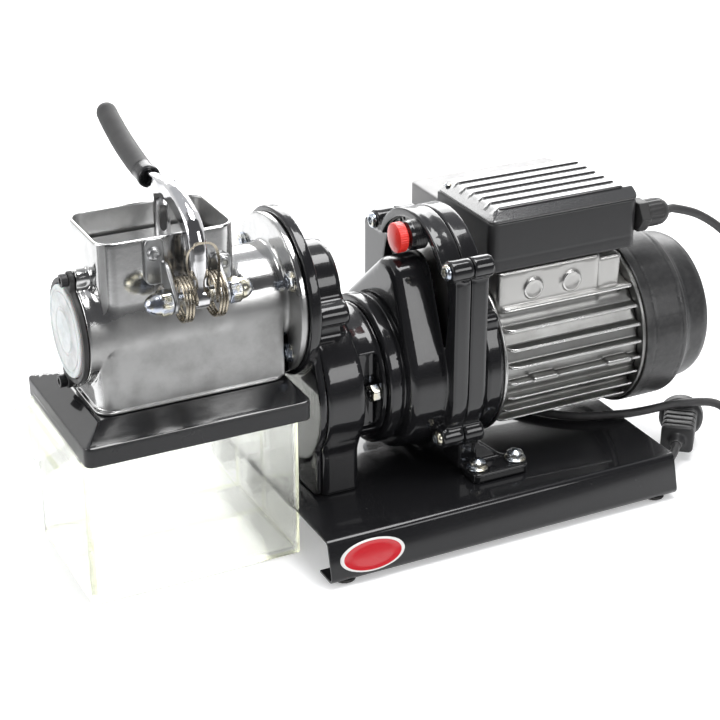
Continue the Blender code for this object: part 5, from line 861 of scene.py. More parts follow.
bolt = Mould((-BOLT_FLANGE, -BOLT_FLANGE, BOLT_END), (BOLT_FLANGE, BOLT_FLANGE, BOLT_HEAD), 0.0003)
reach = np.hypot(bolt.x, bolt.y)
bolt.add(pressed(reach - BOLT_RADIUS, bolt.z, BOLT_END, 0.001))
bolt.add(np.maximum(np.maximum(reach - BOLT_FLANGE, -bolt.z), bolt.z - 0.0011 - (BOLT_FLANGE - reach) * 0.45))
head = np.maximum(hexed(bolt.x, bolt.y, BOLT_HEX, 0.3), bolt.z + (reach - 0.0058) * 0.6 - 0.006)
bolt.add(np.maximum(head, -bolt.z), 0.0004)
bolt.add(pressed(hexed(bolt.x, bolt.y, BOLT_HEX, 0.9), bolt.z, *BOLT_NUT, 0.0003))
bolt.ease(1)
bolt_mesh = bolt.skin("flange_bolt")
for i, (x, side) in enumerate((x, side) for side in (-1, 1) for x in BOLT_X):
    again(bolt_mesh, f"flange_bolt_{i + 1}", (x, side * FOOT_MIDDLE[1], BOLT_SEAT), zinc, "machine",
          (f"foot_bolt_{i + 1}",))

# Motor: an extruded and bead-blasted aluminium frame with cooling fins round a laminated stator.
# The fins' left ends are rounded down to the body, and a cast pedestal on top carries the terminal box.
FRAME_X = (0.1713, 0.2973)
FRAME_RADIUS = 0.0605
FRAME_BORE = 0.056
FIN_RADIUS = 0.0685
FIN_HEIGHTS = (0.047, 0.0334, 0.0198, 0.0061, -0.0075, -0.0211, -0.0347, -0.0470)
FIN_HALF = 0.0013
FIN_MIDDLE_X = 0.236
FIN_HALF_LENGTH = 0.0608
FIN_ROUND = 0.0085
FIN_START = 0.005
FOOT_PAD_X = (0.208, 0.2756)
FOOT_PAD_HALF = (0.011, 0.0022)
FOOT_PAD_Z = 0.1062
PEDESTAL_X = 0.222
PEDESTAL_HALF = 0.046
BLOCK_X = 0.277
BLOCK_HALF = (0.011, 0.0448)
KNOCK_X = (0.2066, 0.2411)
KNOCK_Z = 0.1735
KNOCK_RADIUS = 0.0085
KNOCK_RIM = 0.0022
ALLOY_GREY = (0.33, 0.33, 0.322, 1)
ALLOY_DULL = (0.27, 0.267, 0.26, 1)
ALLOY_PAINTED_TOP_LIGHT = (0.52, 0.515, 0.50, 1)
ALLOY_EDGE_HIGHLIGHT = (0.80, 0.80, 0.79, 1)
alloy = Finish("blasted_alloy", (0.62, 0.62, 0.61), 0.36, 1.0)
grime = alloy.cloud(40, 5, 0.6)
# Painted light and shade: the frame is painted paler from its top fin up, where light falls, and its finned
# sides darker, as painted shade between the fins.
fins_colour = alloy.mix(grime.between(0.35, 0.75), ALLOY_GREY, ALLOY_DULL)
painted_top_light = alloy.split(alloy.place)[2].between(0.158, 0.161)
frame_colour = alloy.mix(painted_top_light, fins_colour, ALLOY_PAINTED_TOP_LIGHT)
# Painted highlight: the frame's edges are painted nearly white.
alloy.feed(base_color=alloy.mix(alloy.edges().between(0.25, 0.8), frame_colour, ALLOY_EDGE_HIGHLIGHT),
           roughness=grime * 0.12 + 0.30 - alloy.edges() * 0.16)
alloy.relief(alloy.cloud(2600, 2) + alloy.cloud(500, 3) * 0.5, 0.00007)
motor = Mould(*span("motor_frame"), CASTING_CELL)
reach = np.hypot(motor.y, motor.z - AXIS[1])
motor.add(pressed(reach - FRAME_RADIUS, motor.x, *FRAME_X, 0.0008))
rise = 1 - np.clip((motor.x - FRAME_X[0] - FIN_START) / FIN_ROUND, 0, 1)
edge = FRAME_RADIUS + (FIN_RADIUS - FRAME_RADIUS) * np.sqrt(1 - rise ** 2)
for fin in FIN_HEIGHTS:
    blade = np.maximum(np.abs(motor.z - AXIS[1] - fin) - FIN_HALF, reach - edge)
    motor.add(np.maximum(blade, np.abs(motor.x - FIN_MIDDLE_X) - FIN_HALF_LENGTH), 0.0012)
motor.add(motor.spun([(0.1713, 0.0565), (0.1713, 0.0682), (0.1718, 0.0685), (0.1743, 0.0685),
                      (0.1743, 0.0565)], AXIS))
for middle in FOOT_PAD_X:
    for side in (-1, 1):
        pad = plate(motor.x, motor.z, (middle, FOOT_PAD_Z), *FOOT_PAD_HALF, 0.001)
        motor.add(pressed(pad, motor.y * side, 0.058, 0.0692, 0.0006), 0.001)
pedestal = plate(motor.x, motor.y, (PEDESTAL_X, 0), PEDESTAL_HALF, PEDESTAL_HALF, 0.004)
motor.add(pressed(pedestal, motor.z, 0.145, 0.190, 0.0012), 0.0025)
block = plate(motor.x, motor.y, (BLOCK_X, 0), *BLOCK_HALF, 0.003)
motor.add(pressed(block, motor.z, 0.146, 0.187, 0.0015), 0.0015)
for x in KNOCK_X:
    for side in (-1, 1):
        knock = disc(motor.x, motor.z, (x, KNOCK_Z), KNOCK_RADIUS)
        motor.add(pressed(knock, motor.y * side, 0.044, 0.0478, 0.0004))
        motor.carve(pressed(knock + KNOCK_RIM, motor.y * side, 0.0471, 0.049, 0.0002))
motor.carve(pressed(reach - FRAME_BORE, motor.x, 0.16, 0.31))
cast("motor_casting", motor, alloy, "machine", "motor_frame")

# Behind the frame are the rear end shield, turned from a casting, and the plastic fan on the shaft.
# The stator and rotor are stacks of thin steel sheets; the shaft is ground steel.
FINE_STEPS = 128
SHEETS_PER_METRE = 2000


def turned(profile, steps=FINE_STEPS, centre=AXIS):
    """A profile of (along, radius) corners turned about a line along X."""
    bm = bmesh.new()
    rings = []
    for along, radius in profile:
        if radius:
            rings.append([bm.verts.new((along, centre[0] + radius * cos(2 * pi * i / steps),
                                        centre[1] + radius * sin(2 * pi * i / steps))) for i in range(steps)])
        else:
            rings.append([bm.verts.new((along, *centre))])
    for low, high in zip(rings, rings[1:] + rings[:1]):
        for i in range(steps):
            corners = [low[i % len(low)], low[(i + 1) % len(low)],
                       high[(i + 1) % len(high)], high[i % len(high)]]
            corners = list(dict.fromkeys(corners))
            if len(corners) > 2:
                bm.faces.new(corners)
    bmesh.ops.recalc_face_normals(bm, faces=bm.faces)
    return bm


shield_profile = [(0.2943, SHAFT_BORE), (0.2943, 0.0557), (0.2976, 0.0557), (0.2976, 0.0680),
                  (0.2981, 0.0685), (0.3048, 0.0685), (0.3063, 0.0670), (0.3063, 0.022), (0.3083, 0.0205),
                  (0.3083, SHAFT_BORE)]
fit("rear_shield_casting", made(turned(shield_profile), "rear_shield_casting", 0, 0.5), alloy, "machine",
    ("rear_end_shield",))
sheets = Finish("steel_sheets", (0.33, 0.31, 0.28), 0.5, 0.85)
layer = sheets.split(sheets.place)[0] * SHEETS_PER_METRE
bright = abs(layer.maths("FRACT", layer) - 0.5) * 2
sheets.feed(base_color=sheets.mottle(80, 3, (0.38, 0.36, 0.33), (0.24, 0.19, 0.15)),
            roughness=bright * 0.2 + 0.4)
sheets.relief(bright, 0.0001)
ground_steel = Finish("ground_steel", (0.55, 0.55, 0.55), 0.3, 1.0)
rings = ground_steel.cloud(900, 2, 0.5, (1, 0.02, 0.02))
ground_steel.feed(roughness=rings * 0.2 + 0.2,
                  base_color=ground_steel.mottle(60, 3, (0.58, 0.58, 0.58), (0.44, 0.43, 0.41)))
ground_steel.relief(rings, 0.00004)
black_nylon = Finish("black_nylon", (0.022, 0.022, 0.023), 0.48)
black_nylon.feed(roughness=black_nylon.cloud(150, 3) * 0.2 + 0.38,
                 base_color=black_nylon.mottle(60, 3, (0.018, 0.018, 0.019), (0.035, 0.034, 0.033)))
black_nylon.relief(black_nylon.cloud(1800, 2), 0.00006)
steel_nodes = ("motor_shaft", "output_shaft", "roller_shaft", "idler_gear", "output_gear", "adapter_gear")
for names, finish in ((("stator", "rotor"), sheets), (("cooling_fan",), black_nylon),
                      (steel_nodes, ground_steel)):
    for name in names:
        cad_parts[name].data.materials[0] = finish.material

# Fan cover: a satin black plastic shell, stepped in behind the fan and open at its end in eight radial slots.
# Two shallow lines mark where it grips the end shield and where it narrows.
SHROUD_RADIUS = 0.0708
SHROUD_LINES = (0.309, 0.3345)
SHROUD_SLOTS = 8
SLOT_MIDDLE = 0.029
SLOT_HALF = (0.015, 0.002)
satin = Finish("satin_black_plastic", (0.016, 0.016, 0.017), 0.36)
# Edges are painted a paler grey in random patches, partly as wear and partly as a painted sheen.
satin.feed(roughness=satin.cloud(45, 5, 0.6) * 0.3 + 0.22,
           base_color=satin.mix(satin.edges() * satin.cloud(220, 3), (0.014, 0.014, 0.015, 1),
                                (0.12, 0.118, 0.115, 1)))
satin.relief(satin.cloud(700, 3), 0.00008)
shroud = Mould(*span("fan_cover"), CASTING_CELL)
shroud.add(shroud.spun([(0.3003, 0.0688), (0.3003, SHROUD_RADIUS), (0.3365, SHROUD_RADIUS), (0.339, 0.0700),
                        (0.343, 0.0648), (0.3468, 0.0630), (0.362, 0.0612), (0.3665, 0.0592),
                        (0.3700, 0.0545), (0.372, 0.048), (0.372, 0), (0.370, 0), (0.370, 0.047),
                        (0.368, 0.0530), (0.3648, 0.0575), (0.361, 0.0590), (0.3455, 0.0610),
                        (0.3415, 0.0630), (0.3365, 0.0688)], AXIS))
reach = np.hypot(shroud.y, shroud.z - AXIS[1])
for x in SHROUD_LINES:
    shroud.carve(np.hypot(reach - 0.0712, shroud.x - x) - 0.0009)
for i in range(SHROUD_SLOTS):
    turn = 2 * pi * i / SHROUD_SLOTS
    out = shroud.y * cos(turn) + (shroud.z - AXIS[1]) * sin(turn)
    side = (shroud.z - AXIS[1]) * cos(turn) - shroud.y * sin(turn)
    shroud.carve(pressed(plate(out, side, (SLOT_MIDDLE, 0), *SLOT_HALF, 0.0019), shroud.x, 0.355, 0.38))
cast("fan_shroud", shroud, satin, "machine", "fan_cover")

# Terminal box: moulded in black, with a lower compartment behind whose lighter grey is painted light from the
# bright light on its far side. Its lid is drawn in at the front and left, carries six ridges and is held by
# two screws along its rear edge.
BOX_X = 0.236
BOX_HALF = 0.066
BOX_Z = 0.1903
BOX_REAR_TOP = 0.2235
BOX_TOP = 0.230
BOX_WALL = 0.003
BOX_FLOOR = 0.1933
BOX_FRONT = (-0.0004, 0.0434)
LID_Z = (0.2301, 0.2375)
LID_SLOPE = 0.0064 / 0.0105
RIDGES = 6
RIDGE_Y = (-0.032, 0.031)
RIDGE_HALF = 0.0011
PAN_RADIUS = 0.0032
PAN_CURVE = (0.0042, 0.0022)
box_mould = Mould(*span("terminal_box"), CASTING_CELL)
whole = plate(box_mould.x, box_mould.y, (BOX_X, 0.0231), BOX_HALF, 0.0669, 0.007)
front = plate(box_mould.x, box_mould.y, (BOX_X, BOX_FRONT[0]), BOX_HALF, BOX_FRONT[1], 0.007)
front = np.minimum(front, np.maximum(whole, box_mould.y - 0.043))
box_mould.add(pressed(whole, box_mould.z, BOX_Z, BOX_REAR_TOP, 0.0014))
box_mould.add(pressed(front, box_mould.z, BOX_Z, BOX_TOP, 0.0002))
box_mould.carve(pressed(whole + BOX_WALL, box_mould.z, BOX_FLOOR, BOX_REAR_TOP - BOX_WALL))
box_mould.carve(pressed(front + BOX_WALL, box_mould.z, BOX_FLOOR, 0.24))
box_mould.carve(pressed(np.abs(whole + 0.0002) - 0.0003, box_mould.z, 0.1988, 0.1996))
BOX_BLACK = (0.019, 0.019, 0.020, 1)
BOX_REAR_PAINTED_LIGHT = (0.16, 0.157, 0.155, 1)
BOX_EDGE_HIGHLIGHT = (0.16, 0.158, 0.155, 1)
moulded = Finish("moulded_box", (0.022, 0.022, 0.023), 0.34, coat_roughness=0.06)
side, height = moulded.split(moulded.place)[1:]
lid_gloss = height.between(0.2301, 0.2304)
# Painted highlight: the front compartment's edges are painted a paler grey.
front_colour = moulded.mix(moulded.edges() * 0.35, BOX_BLACK, BOX_EDGE_HIGHLIGHT)
# Painted light: the rear compartment, beyond y 0.043, is painted a lighter grey for the strong light on the
# box's far side.
moulded.feed(coat_weight=lid_gloss,
             roughness=moulded.cloud(60, 4) * (0.25 - lid_gloss * 0.15) + 0.22 - lid_gloss * 0.13,
             base_color=moulded.mix(side.between(0.0430, 0.0436), front_colour, BOX_REAR_PAINTED_LIGHT))
moulded.relief(moulded.cloud(1300, 2) + moulded.cloud(240, 2) * 0.6, 0.00007)
cast("terminal_moulding", box_mould, moulded, "machine", "terminal_box")

lid = Mould(*span("terminal_lid"), 0.0006)
lid_flat = plate(lid.x, lid.y, (BOX_X, BOX_FRONT[0]), BOX_HALF, BOX_FRONT[1], 0.006)
lid_shape = pressed(lid_flat, lid.z, *LID_Z, 0.0003)
for run in (lid.x - (BOX_X - BOX_HALF), lid.y + (BOX_FRONT[1] - BOX_FRONT[0])):
    lid_shape = np.maximum(lid_shape, (lid.z - 0.2311 - run * LID_SLOPE) / hypot(1, LID_SLOPE))
lid.add(lid_shape)
ridge = template(lid.x, lid.z, [(0.1715, 0.2311), (0.2945, 0.2311), (0.2925, 0.239), (0.1820, 0.239)])
for i in range(RIDGES):
    y = RIDGE_Y[0] + (RIDGE_Y[1] - RIDGE_Y[0]) * i / (RIDGES - 1)
    lid.add(pressed(ridge, lid.y, y - RIDGE_HALF, y + RIDGE_HALF, 0.0004), 0.0004)
cast("lid_moulding", lid, moulded, "machine", "terminal_lid")
pan = Mould((-PAN_RADIUS, -PAN_RADIUS, 0), (PAN_RADIUS, PAN_RADIUS, 0.002), 0.00016)
reach = np.hypot(pan.x, pan.y)
crown = np.sqrt(reach ** 2 + (pan.z + PAN_CURVE[1]) ** 2) - PAN_CURVE[0]
pan.add(np.maximum(np.maximum(reach - PAN_RADIUS, -pan.z), crown))
for a, b in ((pan.x, pan.y), (pan.y, pan.x)):
    pan.carve(pressed(plate(a, b, (0, 0), 0.0019, 0.0004, 0.0002), pan.z, 0.0009, 0.003))
pan_mesh = pan.skin("pan_head")
for i in range(2):
    low, high = span(f"lid_screw_{i + 1}")
    place = ((low[0] + high[0]) / 2, (low[1] + high[1]) / 2, low[2])
    again(pan_mesh, f"pan_screw_{i + 1}", place, zinc, "machine", (f"lid_screw_{i + 1}",))
capacitor_can = Finish("capacitor_can", (0.72, 0.71, 0.68), 0.45)
capacitor_can.feed(base_color=capacitor_can.mottle(50, 3, (0.74, 0.73, 0.70), (0.60, 0.59, 0.55)))
capacitor_can.relief(capacitor_can.cloud(900, 2), 0.00005)
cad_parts["capacitor"].data.materials[0] = capacitor_can.material

# Cable gland: a hex body screwed into the box and a ribbed dome nut that grips the cord.
# Both are black nylon, and the cord leaves through the nut's round mouth.
GLAND_PLACE = (-0.0365, 0.2135)
GLAND_START = 0.3023
GLAND_HEX = 0.0135
GLAND_HEX_END = 0.3113
GLAND_END = 0.332
GLAND_RIBS = 18
GLAND_RIB_DEPTH = 0.0005
low, high = span("cable_gland")
gland = Mould((GLAND_START, low[1], low[2]), high, 0.0004)
gland_y, gland_z = gland.y - GLAND_PLACE[0], gland.z - GLAND_PLACE[1]
reach = np.hypot(gland_y, gland_z)
gland.add(np.maximum(pressed(hexed(gland_y, gland_z, GLAND_HEX), gland.x, GLAND_START, GLAND_HEX_END),
                     reach - 0.0133 + np.maximum(np.abs(gland.x - 0.3068) - 0.0038, 0)))
nut_limit = np.interp(gland.x, (0.311, 0.323, 0.327, 0.330, GLAND_END),
                      (0.0112, 0.0112, 0.0103, 0.0085, 0.0064))
ribs = GLAND_RIB_DEPTH * (0.5 + 0.5 * np.cos(GLAND_RIBS * np.arctan2(gland_z, gland_y))) * (gland.x < 0.3245)
gland.add(np.maximum(np.maximum(reach - (nut_limit - ribs), 0.3112 - gland.x), gland.x - GLAND_END), 0.0003)
gland.carve(pressed(reach - 0.0041, gland.x, 0.326, 0.34))
cast("gland_moulding", gland, black_nylon, "machine", "cable_gland")

# Start button: a red cap with a finely ribbed side, in a threaded black collar on the dome's rim.
# The cap's face is a shallow dome, and its stem slides in the collar.
BUTTON_PLACE = (-0.0225, 0.2255)
BUTTON_RADIUS = 0.0115
BUTTON_LENGTH = 0.0085
BUTTON_STEM = 0.005
BUTTON_STEM_END = 0.012
BUTTON_RIBS = 40
BUTTON_RIB_DEPTH = 0.00035
BUTTON_CURVE = 0.0401
THREAD_DEPTH = 0.0004
THREAD_PITCH = 0.0014
THREAD_START = 0.003
COLLAR_BORE = 0.0056
RED_BRIGHT = (0.80, 0.028, 0.016, 1)
RED_DEEP = (0.66, 0.018, 0.012, 1)
low, high = span("start_button")
cap = Mould(low, (low[0] + BUTTON_STEM_END, high[1], high[2]), 0.0002)
cap_y, cap_z = cap.y - BUTTON_PLACE[0], cap.z - BUTTON_PLACE[1]
reach = np.hypot(cap_y, cap_z)
grip = BUTTON_RIB_DEPTH * (0.5 + 0.5 * np.cos(BUTTON_RIBS * np.arctan2(cap_z, cap_y)))
cap.add(np.maximum(np.maximum(reach - BUTTON_RADIUS + grip, low[0] - cap.x), cap.x - low[0] - BUTTON_LENGTH))
cap.trim(np.sqrt(reach ** 2 + (cap.x - low[0] - 0.0402) ** 2) - BUTTON_CURVE)
cap.add(pressed(reach - BUTTON_STEM, cap.x, low[0] + 0.008, low[0] + BUTTON_STEM_END))
red = Finish("red_button", (0.78, 0.025, 0.015), 0.3, coat_weight=0.25, subsurface_weight=0.05)
red.feed(base_color=red.mix(red.cloud(220, 3), RED_BRIGHT, RED_DEEP),
         roughness=red.cloud(300, 3) * 0.2 + 0.22)
red.relief(red.cloud(2000, 2), 0.00004)
cast("button_cap", cap, red, "button", "start_button", 2)
low, high = span("button_collar")
collar = Mould(low, high, 0.00025)
reach = np.hypot(collar.y - BUTTON_PLACE[0], collar.z - BUTTON_PLACE[1])
threaded = collar.x > low[0] + THREAD_START
thread = THREAD_DEPTH * np.sin(2 * pi * (collar.x - low[0]) / THREAD_PITCH) * threaded
collar_side = reach - (high[1] - low[1]) / 2 + THREAD_DEPTH - thread
collar.add(np.maximum(np.maximum(collar_side, low[0] - collar.x), collar.x - high[0]))
collar.carve(pressed(reach - COLLAR_BORE, collar.x, 0, 1))
cast("collar_bush", collar, enamel, "machine", "button_collar")

# Adapter: a deep casting on the base that carries the grater and houses its two reduction gears. Its neck is
# held to the gearbox by two studs, whose nuts stand in windows, and a plate with a disc closes its front.
ROLLER = (0, 0.191)
ADAPTER_X = (0.0253, 0.050)
ADAPTER_RADIUS = 0.060
ADAPTER_TOP_RADIUS = 0.034
ADAPTER_WAIST = 0.036
LOBE = (0.038, 0.181)
LOBE_RADIUS = 0.0095
PLINTH_HALF = 0.048
PLINTH_X = 0.0408
NECK_WINDOW = (0.06625, 0.00775, 0.031)
WHEEL_POCKET = 0.0572
PINION_POCKET = 0.0305
POCKET_END = 0.0395
PLATE_DISC_RADIUS = 0.064
PLATE_X = (0.019, 0.025)
NUT_X = (0.0672, 0.0737)
NUT_RADIUS = 0.0075
STUD_HOLE = 0.0038
adapter = Mould(*span("adapter_housing"), CASTING_CELL)
adapter.add(adapter.rod(AXIS, ADAPTER_RADIUS, ADAPTER_X[0], 0.057, 0.003))
adapter.add(adapter.belt(AXIS, ADAPTER_WAIST, ROLLER, ADAPTER_TOP_RADIUS, *ADAPTER_X, 0.0035), 0.003)
for side in (-1, 1):
    lobe = (side * LOBE[0], LOBE[1])
    adapter.add(adapter.belt(ROLLER, LOBE_RADIUS, lobe, LOBE_RADIUS, *ADAPTER_X, 0.002), 0.004)
plinth = plate(adapter.x, adapter.y, (PLINTH_X, 0), 0.0155, PLINTH_HALF, 0.004)
adapter.add(pressed(plinth, adapter.z, FOOT_Z[0], 0.080, 0.001), 0.004)
adapter.add(adapter.spun([(0.055, 0), (0.055, 0.052), (0.0745, 0.052), (0.076, 0.054), (0.0775, 0.054),
                          (0.0775, 0)], AXIS), 0.003)
rib = template(adapter.x, adapter.z, [(0.055, 0.0385), (0.064, 0.0385), (0.0755, 0.060), (0.0755, 0.075),
                                      (0.055, 0.075)])
adapter.add(pressed(rib, adapter.y, -0.004, 0.004, 0.0012), 0.003)
adapter.carve(adapter.rod(AXIS, WHEEL_POCKET, 0.02, POCKET_END))
adapter.carve(adapter.rod(ROLLER, PINION_POCKET, 0.02, POCKET_END))
adapter.carve(adapter.rod(AXIS, SHAFT_BORE, 0.02, 0.09))
window = plate(adapter.x, adapter.z, (NECK_WINDOW[0], AXIS[1]), *NECK_WINDOW[1:], 0.002)
for side in (-1, 1):
    adapter.carve(pressed(window, adapter.y * side, 0.036, 0.07), 0.0005)
    adapter.carve(adapter.rod((side * STUD_Y, AXIS[1]), STUD_HOLE, 0.06, 0.09))
cast("adapter_casting", adapter, enamel, "machine", "adapter_housing")
low, high = span("adapter_plate")
front_plate = Mould((low[0], low[1], 0.0365), high, CASTING_CELL)
front_plate.add(front_plate.belt(AXIS, ADAPTER_RADIUS, ROLLER, ADAPTER_TOP_RADIUS, *PLATE_X, 0.001))
front_plate.add(front_plate.rod(ROLLER, PLATE_DISC_RADIUS, 0.011, 0.0195, 0.001), 0.002)
plinth_front = plate(front_plate.y, front_plate.z, (0, 0.058), PLINTH_HALF, 0.0208, 0.005)
front_plate.add(pressed(plinth_front, front_plate.x, 0.0205, PLATE_X[1], 0.001), 0.003)
front_plate.carve(front_plate.rod(ROLLER, SHAFT_BORE, 0, 0.03))
front_plate.carve(front_plate.rod((0, 0.060), 0.0042, 0.018, 0.0205))
cast("front_plate_casting", front_plate, enamel, "machine", "adapter_plate")
nut = Mould((NUT_X[0], -NUT_RADIUS, -NUT_RADIUS), (NUT_X[1], NUT_RADIUS, NUT_RADIUS), 0.0003)
reach = np.hypot(nut.y, nut.z)
nut.add(pressed(hexed(nut.y, nut.z, NUT_RADIUS, pi / 6), nut.x, *NUT_X))
nut.trim(reach - 0.0072 + np.maximum(np.abs(nut.x - 0.07045) - 0.0026, 0))
nut.carve(pressed(reach - STUD_HOLE, nut.x, 0.06, 0.08))
nut_mesh = nut.skin("hex_nut")
for i, side in enumerate((-1, 1)):
    again(nut_mesh, f"neck_nut_{i + 1}", (0, side * STUD_Y, AXIS[1]), zinc, "machine",
          (f"adapter_nut_{i + 1}",))

# Grater head: one polished aluminium casting with a hopper, a barrel, a chute and a round flange.
# It is bright on its outside and left cloudy on its broad front face, and small nuts hold its flange.
HOPPER_MIDDLE = (-0.08385, 0)
HOPPER_HALF = (0.05135, 0.0356)
HOPPER_CORNER = 0.013
HOPPER_WALL = 0.0025
HOPPER_Z = (0.160, 0.2646)
BARREL_X = (-0.146, 0.006)
BARREL_RADIUS = 0.039
BARREL_BORE = 0.0325
CHUTE_DRAFT = 0.03
CHUTE_HALF = (0.0815, 0.0405)
CHUTE_ROUND = 0.006
CHUTE_MIDDLE = (-0.079, 0)
CHUTE_OPENING = 0.045
FOOT_OF_HEAD = (0.0725, 0.0422)
EAR_REACH = 0.0445
EAR_TURN = 1.815
EAR_RADIUS = 0.006
FLANGE_RADIUS = 0.0603
FLANGE_NUT_RADIUS = 0.0075
FLANGE_NUT_REACH = 0.050
FLANGE_NUT_TURNS = (2.62, 0.52, 3.85, 5.57)
polished = Finish("polished_casting", (0.70, 0.70, 0.70), 0.12, 1.0)
bloom = polished.cloud(28, 6, 0.65)
smear = polished.cloud(120, 3, 0.5, (1, 1, 0.25))
at_x, at_y, at_z = polished.split(polished.place)
cloudy = (1 - at_y.between(-0.0365, -0.0330)) * (1 - at_z.between(0.200, 0.222))
inside = (1 - abs(at_y).between(0.0333, 0.0338)) * at_z.between(0.195, 0.21)
inside = inside * (1 - abs(at_x - (HOPPER_MIDDLE[0] + left)).between(0.0490, 0.0495))
bright_colour = polished.mix(cloudy, (0.62, 0.62, 0.617, 1), (0.47, 0.47, 0.465, 1))
bloom_colour = polished.mix(cloudy, (0.50, 0.50, 0.495, 1), (0.37, 0.368, 0.362, 1))
polished.feed(base_color=polished.mix(bloom.between(0.38, 0.70), bright_colour, bloom_colour),
              roughness=(bloom.between(0.35, 0.75) * 0.12 + smear * 0.08 + cloudy * 0.26 + inside * 0.22
                         + 0.05))
polished.relief(polished.cloud(110, 3) + polished.cloud(900, 2) * 0.12, 0.00010, 0.6)


def ear_place(side, share=1.0):
    """The place of one of the end cap's two screws, or a share of the way out to it."""
    return (side * EAR_REACH * cos(EAR_TURN) * share, ROLLER[1] + side * EAR_REACH * sin(EAR_TURN) * share)


head = Mould(*span("grater_casting"), CASTING_CELL)
hopper = plate(head.x, head.y, HOPPER_MIDDLE, *HOPPER_HALF, HOPPER_CORNER)
head.add(pressed(hopper, head.z, *HOPPER_Z, 0.0008))
head.add(head.rod(ROLLER, BARREL_RADIUS, *BARREL_X, 0.001), 0.006)
chute = template(head.x, head.z, [(0, 0.141), (-0.1425, 0.141), (-0.1425, 0.150), (-0.1372, 0.180),
                                  (-0.1242, ROLLER[1]), (0, ROLLER[1])])
flare = BARREL_RADIUS + np.clip(ROLLER[1] - head.z, 0, 0.055) * CHUTE_DRAFT
chute_sides = plate(head.x, head.y, (-0.06, 0), *CHUTE_HALF, 0.015)
chute = np.maximum(chute + CHUTE_ROUND, chute_sides + CHUTE_ROUND) - CHUTE_ROUND
head.add(np.maximum(chute, np.abs(head.y) - flare))
foot = plate(head.x, head.y, (-0.07125, 0), *FOOT_OF_HEAD, 0.012)
head.add(pressed(foot, head.z, 0.139, 0.1412, 0.0008), 0.001)
head.add(head.rod(ROLLER, FLANGE_RADIUS, 0.0047, 0.0107, 0.0008), 0.003)
for side in (1, -1):
    ear = head.belt(ear_place(side), EAR_RADIUS, ear_place(side, 0.5), EAR_RADIUS, -0.1457, -0.134, 0.0008)
    head.add(ear, 0.002)
head.carve(head.rod(ROLLER, BARREL_BORE, -0.16, 0.001))
head.carve(head.rod(ROLLER, SHAFT_BORE, -0.01, 0.02))
hollow = plate(head.x, head.y, HOPPER_MIDDLE, HOPPER_HALF[0] - HOPPER_WALL, HOPPER_HALF[1] - HOPPER_WALL,
               HOPPER_CORNER - HOPPER_WALL)
head.carve(pressed(hollow, head.z, ROLLER[1], 0.27))
head.carve(pressed(plate(head.x, head.y, CHUTE_MIDDLE, CHUTE_OPENING, 0.030, 0.003), head.z, 0.13, ROLLER[1]))
cast("head_casting", head, polished, "machine", "grater_casting")
flange_nut = Mould((0.0005, -FLANGE_NUT_RADIUS, -FLANGE_NUT_RADIUS),
                   (0.0046, FLANGE_NUT_RADIUS, FLANGE_NUT_RADIUS), 0.0003)
reach = np.hypot(flange_nut.y, flange_nut.z)
flange_nut.add(pressed(hexed(flange_nut.y, flange_nut.z, 0.0062, 0.2), flange_nut.x, 0.0010, 0.0046, 0.0003))
flange_nut.add(pressed(reach - FLANGE_NUT_RADIUS, flange_nut.x, 0.0036, 0.0046, 0.0003))
flange_nut.add(pressed(reach - 0.003, flange_nut.x, 0.0005, 0.002, 0.0004))
flange_nut_mesh = flange_nut.skin("flange_nut")
for i, turn in enumerate(FLANGE_NUT_TURNS):
    place = (0, FLANGE_NUT_REACH * cos(turn), ROLLER[1] + FLANGE_NUT_REACH * sin(turn))
    again(flange_nut_mesh, f"flange_nut_{i + 1}", place, zinc, "machine")

# Grating roller: a drum punched from sheet steel in rows of raised, sharp-lipped cells, on its steel shaft.
# The end cap is turned from frosted plastic and held by a black ring with two ears and socket-head screws.
RING_RADIUS = 0.0364
RING_HALF = 0.0021
EAR_HOLE = 0.0032
SOCKET_RADIUS = 0.0048
SOCKET_LENGTH = 0.005
SOCKET_STEM_END = 0.012
SOCKET_HEX = 0.0026
KNURLS = 36
KNURL_DEPTH = 0.00015
punched = Finish("punched_steel", (0.60, 0.60, 0.59), 0.22, 1.0)
punched.feed(base_color=punched.mottle(90, 4, (0.66, 0.66, 0.65), (0.48, 0.47, 0.45)),
             roughness=punched.cloud(350, 3) * 0.25 + 0.12)
punched.relief(1 - punched.cells(420), 0.00012)
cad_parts["grating_roller"].data.materials[0] = punched.material
frosted = Finish("frosted_cap", (0.60, 0.61, 0.61), 0.42, subsurface_weight=0.15)
frosted.feed(base_color=frosted.mix(frosted.cloud(60, 5, 0.6).between(0.3, 0.75), (0.64, 0.65, 0.65, 1),
                                    (0.45, 0.455, 0.45, 1)),
             roughness=frosted.cloud(240, 3) * 0.25 + 0.28)
frosted.relief(frosted.cloud(1600, 2), 0.00008)
cap_profile = [(-0.1493, 0), (-0.1493, 0.0085), (-0.1383, 0.0085), (-0.1383, 0.0320), (-0.1463, 0.0320),
               (-0.1463, 0.0338), (-0.1512, 0.0338), (-0.1519, 0.0331), (-0.1519, 0.0306), (-0.1513, 0.0300),
               (-0.1513, 0.0288), (-0.1519, 0.0282), (-0.1519, 0.0182), (-0.1524, 0.0176), (-0.1516, 0.0168),
               (-0.1516, 0.0158), (-0.1524, 0.0150), (-0.1526, 0.0062), (-0.1521, 0.0054), (-0.1521, 0)]
cap_mesh = made(turned(cap_profile, centre=ROLLER), "turned_cap", 0, 0.7)
fit("turned_cap", cap_mesh, frosted, "machine", ("end_cap",))
low, high = span("end_cap_ring")
ring_mould = Mould(low, high, 0.0004)
reach = np.hypot(ring_mould.y, ring_mould.z - ROLLER[1])
ring_mould.add(pressed(np.abs(reach - RING_RADIUS) - RING_HALF, ring_mould.x, low[0], high[0], 0.0008))
